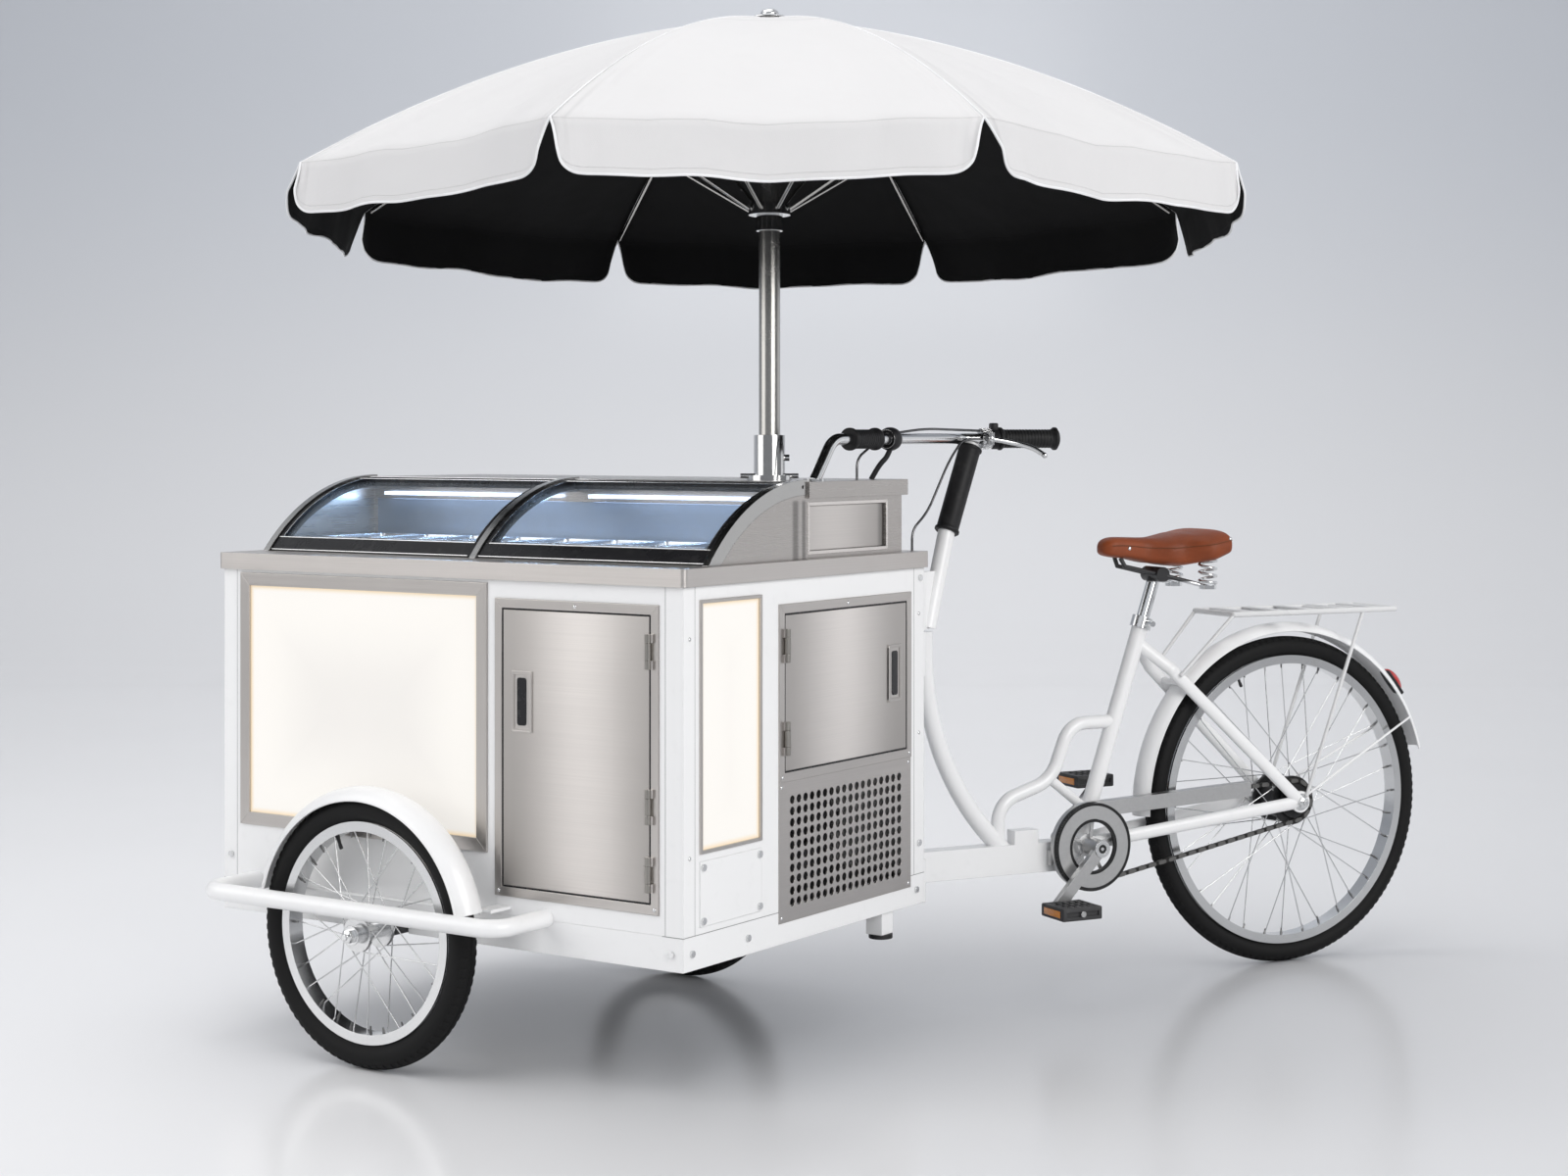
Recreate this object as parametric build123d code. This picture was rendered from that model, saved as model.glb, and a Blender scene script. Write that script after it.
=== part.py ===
from build123d import *
import os
from math import atan2, cos, degrees, hypot, pi, radians, sin, sqrt, tan

# Ice cream cart: a cabinet with a curved glass display on two front wheels, a parasol in a socket,
# and a bicycle frame hinged to the cabinet's back. Millimetres, +Z up. +X points to the service end,
# +Y from the customer's side to the rider's side, and the floor is at Z = 0.

# Place of the cabinet's centre, so that the whole cart stands centred on the origin
cart_x = -342.0
cart_y = -448.0

# Fits and general clearances
running_gap = 0.3
panel_gap = 2.0
bolt_head = 12.0
bolt_height = 4.0

# Bolt heads on the customer's side and the service end
skirt_bolt_inset = 24.0
skirt_bolt_far_inset = 30.0
skirt_bolt_mid = 190.0
side_post_bolt = (20.0, 46.0)
end_post_bolt = (20.0, 60.0)
top_bolt = (16.0, 20.0)
cover_bolt = (8.0, 10.0)

# Cabinet, skirt and counter
cabinet_length = 1088.0
cabinet_width = 790.0
cabinet_wall = 18.0
axle_rise = 15.0
skirt_height = 58.0
counter_top = 910.0
counter_thickness = 31.0
counter_overhang = 8.0
counter_corner = 9.0

# Light panels with their bezels, on the customer's side and on the service end
bezel_proud = 3.0
bezel_band = 24.0
side_panel_margin = 46.0
side_panel_gap = 18.0
side_panel_height = 478.0
side_panel_bottom = 395.0
end_panel_margin = 46.0
end_panel_length = 185.0
end_panel_height = 431.0
end_panel_bottom = 424.0
end_bezel_band = 6.0
light_panel_thickness = 8.0
light_panel_recess = 4.0

# Doors, their frames, hinges and recessed handles
door_band = 18.0
door_proud = 2.0
door_thickness = 20.0
side_door_length = 361.0
side_door_height = 525.0
side_door_bottom = 322.0
side_door_margin = 50.0
end_door_length = 453.0
end_door_height = 317.0
end_door_bottom = 517.0
end_door_margin = 51.0
hinge_height = 60.0
hinge_barrel = 10.0
hinge_pin = 5.0
hinge_share = 0.5
side_hinge_heights = (768.0, 505.0, 390.0)
end_hinge_heights = (760.0, 595.0)
handle_length = 41.0
handle_height = 102.0
handle_depth = 14.0
handle_wall = 4.0
handle_flange = 3.0
handle_flange_thickness = 2.0
handle_inset = 22.0
side_handle_height = 667.0
end_handle_height = 683.0

# Vent grille and service cover on the service end
grille_height = 250.0
grille_thickness = 3.0
grille_hole = 15.0
grille_columns = 18
grille_rows = 10
grille_pitch_y = 21.6
grille_pitch_z = 20.3
grille_inset = 2.0
cover_height = 111.0
cover_rise = 12.0
cover_thickness = 3.0

# Display: glass lids between three arches, in front of a raised housing
slab_top = 1050.0
slab_thickness = 30.0
slab_front = 2.0
slab_back = 347.0
slab_margin = 7.0
housing_inset = 9.0
housing_wall = 10.0
housing_pocket = 5.0
pocket_border = 11.0
pocket_post = 55.0
arch_radius = 400.0
arch_depth = 28.0
arch_width = 14.0
display_margin = 12.0
cheek_thickness = 6.0
lid_gap = 1.0
lid_inset = 4.0
lid_depth = 18.0
lid_edge = 10.0
lid_rail = 26.0
lid_top_rail = 24.0
lid_pin = 6.0
lid_pin_back = 14.0
lid_pin_reach = 6.0
glass_thickness = 5.0
led_height = 6.0
led_depth = 12.0
led_margin = 30.0

# Freezer well and its pans
tub_front = -240.0
tub_back = -10.0
tub_margin = 49.0
tub_wall = 22.0
tub_floor = 540.0
tub_rim = 15.0
tub_flange = 6.0
tub_flange_thickness = 4.0
pan_count = 8
pan_depth = 120.0
pan_wall = 2.0
pan_flange = 8.0
pan_flange_thickness = 3.0
pan_clearance = 2.0

# Cooling unit behind the grille
unit_tray_thickness = 6.0
unit_length = 340.0
unit_width = 400.0
unit_y = 115.0
compressor_diameter = 150.0
compressor_height = 150.0
condenser_depth = 50.0
condenser_width = 250.0
condenser_height = 190.0
condenser_inset = 139.0
fan_inset = 74.0
fan_diameter = 180.0
fan_hub = 44.0
fan_depth = 24.0
fan_shaft = 8.0
fan_blades = 5
fan_blade_thickness = 3.0
fan_blade_width = 21.6
fan_blade_pitch = 32.0

# Chassis and front wheels
axle_x = -92.0
front_radius = 245.0
front_tyre = 50.0
front_plane = 478.0
axle_beam = 34.0
axle_beam_end = 428.0
axle_pin = 14.0
rail_size = 40.0
rail_spread = 500.0
rail_rise = 6.0
floor_thickness = 4.0
rim_height = 18.0
rim_width = 34.0
rim_seat = 4.0
spoke_diameter = 2.4
spoke_cross = 55.0
spoke_seat = 0.2
front_spokes = 28
front_hub_flange = 64.0
front_hub_body = 30.0
front_hub_inner = 40.0
front_hub_outer = 46.0
hub_flange_thickness = 4.0
axle_nut = 22.0
axle_nut_thickness = 12.0

# Front fenders and the guard bars round the wheels
fender_clearance = 13.0
fender_thickness = 3.0
front_fender_width = 66.0
front_fender_start = 12.0
front_fender_end = 167.0
front_fender_crown = 21.0
fender_stay = 5.0
fender_bracket = 30.0
fender_bracket_thickness = 6.0
guard_tube = 32.0
guard_reach = 135.0
guard_height = 292.0
guard_left = -455.0
guard_right = 248.0
guard_bend = 42.0

# Parking foot and bump stop under the service end
foot_y = 268.0
foot_length = 40.0
foot_height = 42.0
foot_plate = 5.0
foot_pad = 44.0
foot_pad_thickness = 8.0
stop_y = -190.0
stop_diameter = 40.0

# Parasol: it stands in a socket on the raised housing and leans a little
pole_inset = 166.0
pole_y = 107.0
parasol_turn = 33.9
parasol_lean = 2.5
pole_diameter = 40.0
pole_depth = 60.0
socket_diameter = 59.0
socket_height = 84.0
socket_flange = 85.0
socket_flange_thickness = 8.0
socket_wing = 24.0
socket_wing_diameter = 9.0
canopy_height = 874.0
canopy_radius = 889.0
canopy_drop = 325.0
canopy_top_slope = 0.12
canopy_thickness = 3.0
canopy_rings = 4
canopy_hole = 24.0
panel_count = 8
valance_height = 92.0
valance_taper = 18.0
valance_corner = 45.0
rib_diameter = 8.0
rib_hub = 60.0
rib_seat = 1.2
stretcher_diameter = 7.0
stretcher_reach = 445.0
stretcher_seat = 2.4
runner_height = 500.0
runner_diameter = 79.0
runner_thickness = 21.0
runner_sleeve = 50.0
runner_sleeve_height = 30.0
crown_height = 34.0
finial_diameter = 26.0
finial_height = 18.0

# Handlebar with its stem, grips and controls, fixed to the cabinet's corner
bar_tube = 22.0
bar_rise = 77.0
bar_inset = 20.0
bar_foot_y = 37.0
bar_knee_y = 100.0
bar_turn_y = 567.0
bar_sweep = 50.3
bar_end = 208.0
bar_bend = 50.0
bar_flange = 38.0
bar_flange_thickness = 5.0
grip_diameter = 34.0
grip_length = 126.0
grip_collar = 44.0
grip_collar_length = 8.0
far_grip_start = 155.0
far_grip_length = 96.0
stem_tube = 34.0
stem_foot_y = 442.0
stem_foot_z = 756.0
stem_kink_out = 8.0
stem_kink_y = 502.0
stem_kink_z = 943.0
stem_reach = 25.0
sleeve_diameter = 42.0
sleeve_collar = 48.0
sleeve_length = 150.0
stem_plate = 6.0
stem_plate_width = 70.0
stem_plate_height = 112.0
clamp_length = 22.0
clamp_diameter = 40.0
shifter_diameter = 38.0
shifter_length = 14.0
bell_along = 290.0
bell_diameter = 36.0
bell_length = 26.0
lever_pivot_along = 55.0
lever_pivot_out = 34.0
lever_length = 105.0
lever_open = 14.0
lever_thickness = 8.0
lever_width = 12.0
lever_ball = 12.0
lever_pin = 5.0
lever_boss = 14.0
cable_diameter = 5.0
cable_beside = 16.0
cable_flare = 22.4
cable_seat = 1.2
cable_lead = 40.0
cable_down_y = 384.0
cable_down_back = (67.0, 137.0)
cable_down_drop = (42.0, 142.0)
cable_over_x = (2.0, -6.0, -28.0, -42.0)
cable_over_back = (27.0, 127.0, 240.0)
cable_over_rise = (18.0, 20.0, 8.0)
cable_over_y = 250.0
cable_bend_share = 0.45

# Hinge between the cabinet's back and the bicycle frame
pivot_inset = 113.0
pivot_out = 116.0
bike_heading = 60.0
king_pin = 20.0
hinge_boss = 54.0
hinge_arm = 10.0
hinge_arm_width = 46.0
hinge_plate = 10.0
hinge_plate_width = 150.0
hinge_arm_gap = 2.0
upper_boss_bottom = 680.0
upper_boss_height = 60.0

# Bicycle frame, in its own plane: along it from the king pin, then the height
beam_height = 60.0
beam_width = 40.0
beam_bottom = 240.0
crank_x = 410.0
crank_z = 290.0
crank_shell = 46.0
crank_shell_width = 68.0
down_tube = 36.0
down_tube_x = 43.0
down_tube_bend = 550.0
down_tube_turn = 46.7
down_tube_straight = 700.0
step_tube = 28.0
step_start = 216.0
step_low = (216.0, 384.0)
step_mid = (343.0, 424.0)
step_high = (388.0, 538.0)
step_bends = (55.0, 80.0, 55.0)
strut_tube = 20.0
strut_drop = 420.0
seat_tube = 34.0
seat_top_x = 569.0
seat_top_z = 752.0
stay_tube = 18.0
stay_start = 0.89
stay_spread = 62.0
chain_stay_start = 24.0
stay_elbow = 0.16
stay_elbow_spread = 40.0
dropout_thickness = 6.0
dropout_size = 46.0
rear_x = 930.0
rear_radius = 350.0
rear_tyre = 44.0
rear_spokes = 36
rear_axle = 12.0
rear_hub_flange = 104.0
rear_hub_body = 84.0
rear_hub_half = 32.0
sprocket_y = 42.0
sprocket_radius = 37.0
sprocket_thickness = 3.0
sprocket_carrier = 52.0
rear_fender_clearance = 28.0
rear_fender_width = 56.0
rear_fender_start = 14.5
rear_fender_end = 182.0
rear_fender_crown = 16.0
rear_fender_stay_turn = 12.0
bridge_tube = 14.0

# Saddle on its post
post_diameter = 27.2
post_above = 95.0
post_inside = 130.0
saddle_length = 272.0
saddle_width = 212.0
saddle_height = 56.0
saddle_base = 878.0
saddle_centre = 604.0
rail_wire = 9.0
rail_spread_saddle = 44.0
rail_nose_back = 38.0
seat_clamp = 32.0
seat_clamp_width = 62.0
spring_seat = 879.0
spring_wire = 4.5
spring_diameter = 36.0
spring_turns = 3.5
spring_height = 58.0
spring_x = 690.0
spring_spread = 62.0
collar_diameter = 44.0
collar_height = 24.0

# Crankset, chain, guard, rack and light
crank_length = 150.0
crank_angle = 227.0
crank_axle = 18.0
crank_arm_y = 76.0
crank_arm_width = 24.0
crank_arm_thickness = 13.0
chainring_radius = 72.0
chainring_y = 42.0
chainring_thickness = 4.0
chainring_band = 14.0
chainring_arms = 5
chain_height = 9.0
chain_width = 8.0
chain_gap = 1.0
guard_disc_radius = 90.0
guard_window = 57.0
guard_y = 56.0
guard_sheet = 2.0
guard_arm_length = 400.0
guard_arm_height = 30.0
guard_lip = 22.0
pedal_axle = 12.0
pedal_length = 92.0
pedal_width = 84.0
pedal_height = 26.0
pedal_gap = 3.0
rack_height = 756.0
rack_start = 752.0
rack_end = 1178.0
rack_width = 140.0
rack_tube = 12.0
rack_slats = 5
rack_slat = 8.0
rack_leg_inset = 85.0
rack_strut_share = 0.2
light_angle = 39.0
light_length = 46.0
light_width = 40.0
light_depth = 22.0

# Form of the saddle along it: place, half-width, top and bottom, each as a share of the saddle's own size
saddle_form = (
    (0.0, 0.18, 0.62, 0.12),
    (0.1, 0.26, 0.74, 0.02),
    (0.34, 0.3, 0.76, 0.0),
    (0.58, 0.62, 0.82, 0.02),
    (0.82, 1.0, 1.0, 0.08),
    (0.96, 0.92, 0.96, 0.2),
    (1.0, 0.78, 0.82, 0.36),
)
saddle_flank = (0.99, 0.4)
saddle_shoulder = (0.86, 0.72)
saddle_brow = (0.45, 0.94)
coil_samples = 200

# Worked-out places
half_length = cabinet_length / 2
half_width = cabinet_width / 2
cabinet_bottom = front_radius - axle_rise
shell_bottom = cabinet_bottom + skirt_height
cover_bottom = shell_bottom + cover_rise
counter_bottom = counter_top - counter_thickness
slab_bottom = slab_top - slab_thickness
arch_centre_z = slab_top - arch_radius + lid_inset
bar_height = slab_top + bar_rise
tub_length = cabinet_length - 2 * tub_margin
slab_length = cabinet_length - 2 * slab_margin
display_length = cabinet_length - 2 * display_margin
side_door_start = half_length - side_door_margin - side_door_length
side_panel_length = side_door_start - side_panel_gap + half_length - side_panel_margin
condenser_x = half_length - condenser_inset
fan_x = half_length - fan_inset
pole_x = half_length - pole_inset
bar_x = half_length - bar_inset
stem_foot = (bar_x, stem_foot_y, stem_foot_z)
stem_kink = (bar_x + stem_kink_out, stem_kink_y, stem_kink_z)
pivot_x = half_length - pivot_inset
pivot_y = half_width + pivot_out
front_fender_radius = front_radius + fender_clearance
rear_fender_radius = rear_radius + rear_fender_clearance
seat_lean = Vector(seat_top_x - crank_x, 0, seat_top_z - crank_z).normalized()
customer_face = -half_width
service_face = half_length
rider_face = half_width


# Basic shapes

def block(x, y, z):
    """Box between two X, two Y and two Z values."""
    size = Box(x[1] - x[0], y[1] - y[0], z[1] - z[0])
    return Pos((x[0] + x[1]) / 2, (y[0] + y[1]) / 2, (z[0] + z[1]) / 2) * size


def rod(start, end, diameter):
    """Round bar between two points."""
    along = Vector(*end) - Vector(*start)
    section = Plane(origin=Vector(*start), z_dir=along) * Circle(diameter / 2)
    return extrude(section, amount=along.length)


def pipe(start, end, diameter, bore):
    """Round tube between two points."""
    return rod(start, end, diameter) - rod(start, end, bore)


def bent_rod(points, bends, diameter):
    """Round bar along straight runs with a bend at each corner."""
    path = FilletPolyline(*points, radius=list(bends))
    section = Plane(origin=path @ 0, z_dir=path % 0) * Circle(diameter / 2)
    return sweep(section, path=path)


def ring(outer, inner, thickness):
    """Flat ring about the Y axis, centred on the XZ plane."""
    return Rot(90, 0, 0) * (Cylinder(outer, thickness) - Cylinder(inner, thickness))


def group(*shapes):
    """Separate solids kept together in one node."""
    return Compound([solid for shape in shapes for solid in shape.solids()])


# Cabinet

def panel_spans():
    """X span of the customer's panel and door, Y span of the end panel and door."""
    side_panel = (-half_length + side_panel_margin, -half_length + side_panel_margin + side_panel_length)
    side_door = (side_door_start, side_door_start + side_door_length)
    end_panel = (-half_width + end_panel_margin, -half_width + end_panel_margin + end_panel_length)
    end_door = (half_width - end_door_margin - end_door_length, half_width - end_door_margin)
    return side_panel, side_door, end_panel, end_door


SIDE_PANEL, SIDE_DOOR, END_PANEL, END_DOOR = panel_spans()
SIDE_PANEL_Z = (side_panel_bottom, side_panel_bottom + side_panel_height)
SIDE_DOOR_Z = (side_door_bottom, side_door_bottom + side_door_height)
END_PANEL_Z = (end_panel_bottom, end_panel_bottom + end_panel_height)
END_DOOR_Z = (end_door_bottom, end_door_bottom + end_door_height)
GRILLE_Z = (end_door_bottom - grille_height, end_door_bottom)
COVER_Z = (cover_bottom, cover_bottom + cover_height)


def through_side(x, z, proud=0.0, depth=cabinet_wall):
    """Block in the customer's wall, standing proud of it."""
    return block(x, (customer_face - proud, customer_face + depth), z)


def through_end(y, z, proud=0.0, depth=cabinet_wall):
    """Block in the service end's wall, standing proud of it."""
    return block((service_face - depth, service_face + proud), y, z)


def grown(span, margin):
    """A span made longer by the same margin at both ends."""
    return (span[0] - margin, span[1] + margin)


def cabinet_shell():
    outer = block((-half_length, half_length), (-half_width, half_width), (shell_bottom, counter_bottom))
    inner_x = half_length - cabinet_wall
    inner_y = half_width - cabinet_wall
    hollow = block((-inner_x, inner_x), (-inner_y, inner_y), (shell_bottom, counter_bottom))
    openings = through_side(SIDE_PANEL, SIDE_PANEL_Z) + through_side(SIDE_DOOR, SIDE_DOOR_Z)
    openings += through_end(END_PANEL, END_PANEL_Z) + through_end(END_DOOR, END_DOOR_Z)
    openings += through_end(END_DOOR, (max(GRILLE_Z[0], shell_bottom), GRILLE_Z[1]), depth=grille_inset)
    vent = grown(END_DOOR, -door_band)
    openings += through_end(vent, (shell_bottom + panel_gap, GRILLE_Z[1] - door_band))
    openings += through_end(END_PANEL, COVER_Z, depth=cover_thickness)
    return outer - hollow - openings


def bottom_skirt():
    z = (cabinet_bottom, shell_bottom)
    inner_x = half_length - cabinet_wall
    inner_y = half_width - cabinet_wall
    walls = block((-half_length, half_length), (-half_width, half_width), z)
    walls -= block((-inner_x, inner_x), (-inner_y, inner_y), z)
    notch = axle_beam / 2 + panel_gap
    walls -= block(
        (axle_x - notch, axle_x + notch),
        (-half_width, half_width),
        (cabinet_bottom, front_radius + notch),
    )
    return walls - through_end(END_DOOR, GRILLE_Z, depth=grille_inset)


def countertop():
    x = half_length + counter_overhang
    y = half_width + counter_overhang
    slab = block((-x, x), (-y, y), (counter_bottom, counter_top))
    slab = fillet(slab.edges().filter_by(Axis.Z), counter_corner)
    well_x = tub_length / 2 + running_gap
    well = block(
        (-well_x, well_x),
        (tub_front - running_gap, tub_back + running_gap),
        (counter_bottom, counter_top),
    )
    return slab - well


def trim_frames():
    side = through_side(SIDE_PANEL, SIDE_PANEL_Z, bezel_proud)
    side -= through_side(grown(SIDE_PANEL, -bezel_band), grown(SIDE_PANEL_Z, -bezel_band), bezel_proud)
    end = through_end(END_PANEL, END_PANEL_Z, bezel_proud)
    end -= through_end(grown(END_PANEL, -end_bezel_band), grown(END_PANEL_Z, -end_bezel_band), bezel_proud)
    side_door_band = through_side(SIDE_DOOR, SIDE_DOOR_Z, door_proud)
    side_door_band -= through_side(grown(SIDE_DOOR, -door_band), grown(SIDE_DOOR_Z, -door_band), door_proud)
    end_door_band = through_end(END_DOOR, END_DOOR_Z, door_proud)
    end_door_band -= through_end(grown(END_DOOR, -door_band), grown(END_DOOR_Z, -door_band), door_proud)
    for height in side_hinge_heights:
        side_door_band += fixed_knuckles(SIDE_AXIS, height)
        for z in fixed_spans(height):
            x = (SIDE_AXIS[0] + panel_gap, SIDE_AXIS[0] + hinge_barrel)
            side_door_band += block(x, (SIDE_AXIS[1], customer_face - door_proud), z)
    for height in end_hinge_heights:
        end_door_band += fixed_knuckles(END_AXIS, height)
        for z in fixed_spans(height):
            y = (END_AXIS[1] - hinge_barrel, END_AXIS[1] - panel_gap)
            end_door_band += block((service_face + door_proud, END_AXIS[0]), y, z)
    return group(side, end, side_door_band, end_door_band)


def light_panels():
    depth = light_panel_thickness - bezel_proud + light_panel_recess
    side = block(
        grown(SIDE_PANEL, -bezel_band),
        (customer_face - bezel_proud + light_panel_recess, customer_face + depth),
        grown(SIDE_PANEL_Z, -bezel_band),
    )
    end = block(
        (service_face - depth, service_face + bezel_proud - light_panel_recess),
        grown(END_PANEL, -end_bezel_band),
        grown(END_PANEL_Z, -end_bezel_band),
    )
    strips = []
    for x in lid_spans():
        inner = grown(x, -led_margin)
        y = (slab_front - led_depth, slab_front)
        strips.append(block(inner, y, (slab_bottom - led_height, slab_bottom)))
    return group(side, end, *strips)


# Doors with outside barrel hinges

HINGE_OUT = hinge_barrel / 2 + running_gap
SIDE_AXIS = (SIDE_DOOR[1] - door_band - panel_gap / 2, customer_face - door_proud - HINGE_OUT)
END_AXIS = (service_face + door_proud + HINGE_OUT, END_DOOR[0] + door_band + panel_gap / 2)


def hinge_spans(height):
    """Z spans of the lower fixed, the moving and the upper fixed knuckle."""
    low = height - hinge_height / 2
    moving = hinge_height * hinge_share
    fixed = (hinge_height - moving) / 2
    cuts = (low, low + fixed, low + fixed + moving, low + hinge_height)
    return (cuts[0], cuts[1]), (cuts[1] + running_gap, cuts[2] - running_gap), (cuts[2], cuts[3])


def fixed_spans(height):
    """Z spans of the two fixed knuckles."""
    lower, _, upper = hinge_spans(height)
    return lower, upper


def fixed_knuckles(axis, height):
    """Pin and its two fixed knuckles."""
    lower, upper = fixed_spans(height)
    pin = rod((*axis, lower[0]), (*axis, upper[1]), hinge_pin)
    knuckles = [rod((*axis, z[0]), (*axis, z[1]), hinge_barrel) for z in (lower, upper)]
    return pin + knuckles[0] + knuckles[1]


def moving_knuckle(axis, height):
    """Knuckle that turns on the pin, with its bore."""
    _, moving, _ = hinge_spans(height)
    return pipe((*axis, moving[0]), (*axis, moving[1]), hinge_barrel, hinge_pin + 2 * running_gap)


def handle_cup(along, height, place):
    """Recessed handle: a shallow cup with a flange, opening towards local -Y."""
    x = (along - handle_length / 2, along + handle_length / 2)
    z = (height - handle_height / 2, height + handle_height / 2)
    cup = block(x, (0, handle_depth), z)
    cup += block(grown(x, handle_flange), (-handle_flange_thickness, 0), grown(z, handle_flange))
    inside = block(
        grown(x, -handle_wall),
        (-handle_flange_thickness, handle_depth - handle_wall),
        grown(z, -handle_wall),
    )
    return place * (cup - inside)


def handle_pocket(along, height, place):
    x = (along - handle_length / 2, along + handle_length / 2)
    z = (height - handle_height / 2, height + handle_height / 2)
    return place * block(x, (0, handle_depth), z)


def door_leaf(length, z, hinges, handle_along, handle_height_z, place):
    """Door leaf along local X from the frame's inner edge, outer face at local Y = 0."""
    leaf = place * block((0, length), (0, door_thickness), z)
    leaf -= handle_pocket(handle_along, handle_height_z, place)
    axis = (place * Pos(length + panel_gap / 2, -HINGE_OUT, 0)).position
    for height in hinges:
        leaf += moving_knuckle((axis.X, axis.Y), height)
        _, moving, _ = hinge_spans(height)
        leaf += place * block((length - hinge_barrel, length), (-HINGE_OUT, 0), moving)
    for height in hinges:
        clear = hinge_pin + 2 * running_gap
        leaf -= rod((axis.X, axis.Y, height - hinge_height), (axis.X, axis.Y, height + hinge_height), clear)
    return group(leaf, handle_cup(handle_along, handle_height_z, place))


def side_door():
    length = side_door_length - 2 * door_band - 2 * panel_gap
    z = grown(SIDE_DOOR_Z, -door_band - panel_gap)
    place = Pos(SIDE_DOOR[0] + door_band + panel_gap, customer_face - door_proud, 0)
    along = handle_inset + handle_length / 2
    return door_leaf(length, z, side_hinge_heights, along, side_handle_height, place)


def end_door():
    length = end_door_length - 2 * door_band - 2 * panel_gap
    z = grown(END_DOOR_Z, -door_band - panel_gap)
    place = Pos(service_face + door_proud, END_DOOR[1] - door_band - panel_gap, 0) * Rot(0, 0, 90)
    along = handle_inset + handle_length / 2
    mirrored = Location(place.position, (0, 0, -90))
    flipped = mirror(
        door_leaf(length, z, end_hinge_heights, along, end_handle_height, Pos(0, 0, 0)), about=Plane.XZ
    )
    return mirrored * flipped


# Service end

def vent_grille():
    y = END_DOOR
    centre = ((y[0] + y[1]) / 2, (GRILLE_Z[0] + GRILLE_Z[1]) / 2)
    front = service_face + grille_thickness - grille_inset
    wall = Plane(origin=(front, *centre), x_dir=(0, 1, 0), z_dir=(1, 0, 0))
    sheet = Rectangle(y[1] - y[0], grille_height)
    holes = GridLocations(grille_pitch_y, grille_pitch_z, grille_columns, grille_rows)
    sheet -= [hole * Circle(grille_hole / 2) for hole in holes]
    return extrude(wall * sheet, amount=-grille_thickness)


def service_cover():
    return through_end(END_PANEL, COVER_Z, panel_gap, cover_thickness)


def screw_places():
    """Bolt heads on the two outer faces: (face, along, height)."""
    low = cabinet_bottom + skirt_height / 2
    side = [("side", half_length - skirt_bolt_inset, low)]
    side.append(("side", -half_length + skirt_bolt_far_inset, low))
    side.append(("side", -half_length + side_post_bolt[0], shell_bottom + side_post_bolt[1]))
    end = [("end", -half_width + skirt_bolt_inset, low)]
    end.append(("end", -half_width + skirt_bolt_mid, low))
    end.append(("end", half_width - skirt_bolt_far_inset, low))
    end.append(("end", half_width - end_post_bolt[0], shell_bottom + end_post_bolt[1]))
    end.append(("end", half_width - top_bolt[0], counter_bottom - top_bolt[1]))
    cover_y = grown(END_PANEL, -cover_bolt[0])
    cover_z = grown(COVER_Z, -cover_bolt[1])
    end += [("cover", y, z) for y in cover_y for z in cover_z]
    return side + end


def body_screws():
    heads = []
    for face, along, height in screw_places():
        if face == "side":
            start = (along, customer_face, height)
            heads.append(rod(start, (along, customer_face - bolt_height, height), bolt_head))
        else:
            base = service_face + (panel_gap if face == "cover" else 0)
            heads.append(rod((base, along, height), (base + bolt_height, along, height), bolt_head))
    return group(*heads)


# Display

def arch_band(inner, outer, x):
    """Band about the glass's centre line, from the counter up to the slab's front."""
    width = x[1] - x[0]
    centre = Pos((x[0] + x[1]) / 2, slab_front, arch_centre_z) * Rot(0, 90, 0)
    band = centre * (Cylinder(outer, width) - Cylinder(inner, width))
    keep = block(x, (slab_front - outer, slab_front), (counter_top, slab_top + arch_depth))
    return band & keep


def lid_spans():
    """X spans of the two lids, between the arches."""
    inner = arch_width / 2 + lid_gap
    outer = display_length / 2 - arch_width - lid_gap
    return (-outer, -inner), (inner, outer)


def lid_radii():
    """Inner and outer radius of the lid frames."""
    outer = arch_radius - lid_inset
    return outer - lid_depth, outer


def lid_axis():
    """Y and Z of the lids' hinge pins."""
    inner, outer = lid_radii()
    return slab_front - lid_pin_back, arch_centre_z + sqrt(((inner + outer) / 2) ** 2 - lid_pin_back**2)


def lid_arches():
    half = display_length / 2
    spans = [(-half, -half + arch_width), (-arch_width / 2, arch_width / 2), (half - arch_width, half)]
    y, z = lid_axis()
    bore = rod((-half, y, z), (half, y, z), lid_pin + 2 * running_gap)
    return group(*[arch_band(arch_radius - arch_depth, arch_radius, x) - bore for x in spans])


def lid_frame(x):
    inner, outer = lid_radii()
    whole = arch_band(inner, outer, x)
    window = block(
        grown(x, -lid_edge),
        (slab_front - arch_radius, slab_front - lid_inset - lid_top_rail),
        (counter_top + lid_gap + lid_rail, slab_top + arch_depth),
    )
    frame = whole - window
    frame -= block(x, (slab_front - lid_inset, slab_front), (counter_top, slab_top + arch_depth))
    frame -= block(x, (slab_front - arch_radius, slab_front), (counter_top, counter_top + lid_gap))
    y, z = lid_axis()
    reach = lid_gap + lid_pin_reach
    return frame + rod((x[0] - reach, y, z), (x[1] + reach, y, z), lid_pin)


def lid_glass(x):
    inner, outer = lid_radii()
    middle = (inner + outer) / 2
    pane = arch_band(middle - glass_thickness / 2, middle + glass_thickness / 2, grown(x, -lid_edge))
    keep = block(
        x,
        (slab_front - arch_radius, slab_front - lid_inset - lid_top_rail),
        (counter_top + lid_gap + lid_rail, slab_top),
    )
    return pane & keep


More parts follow.
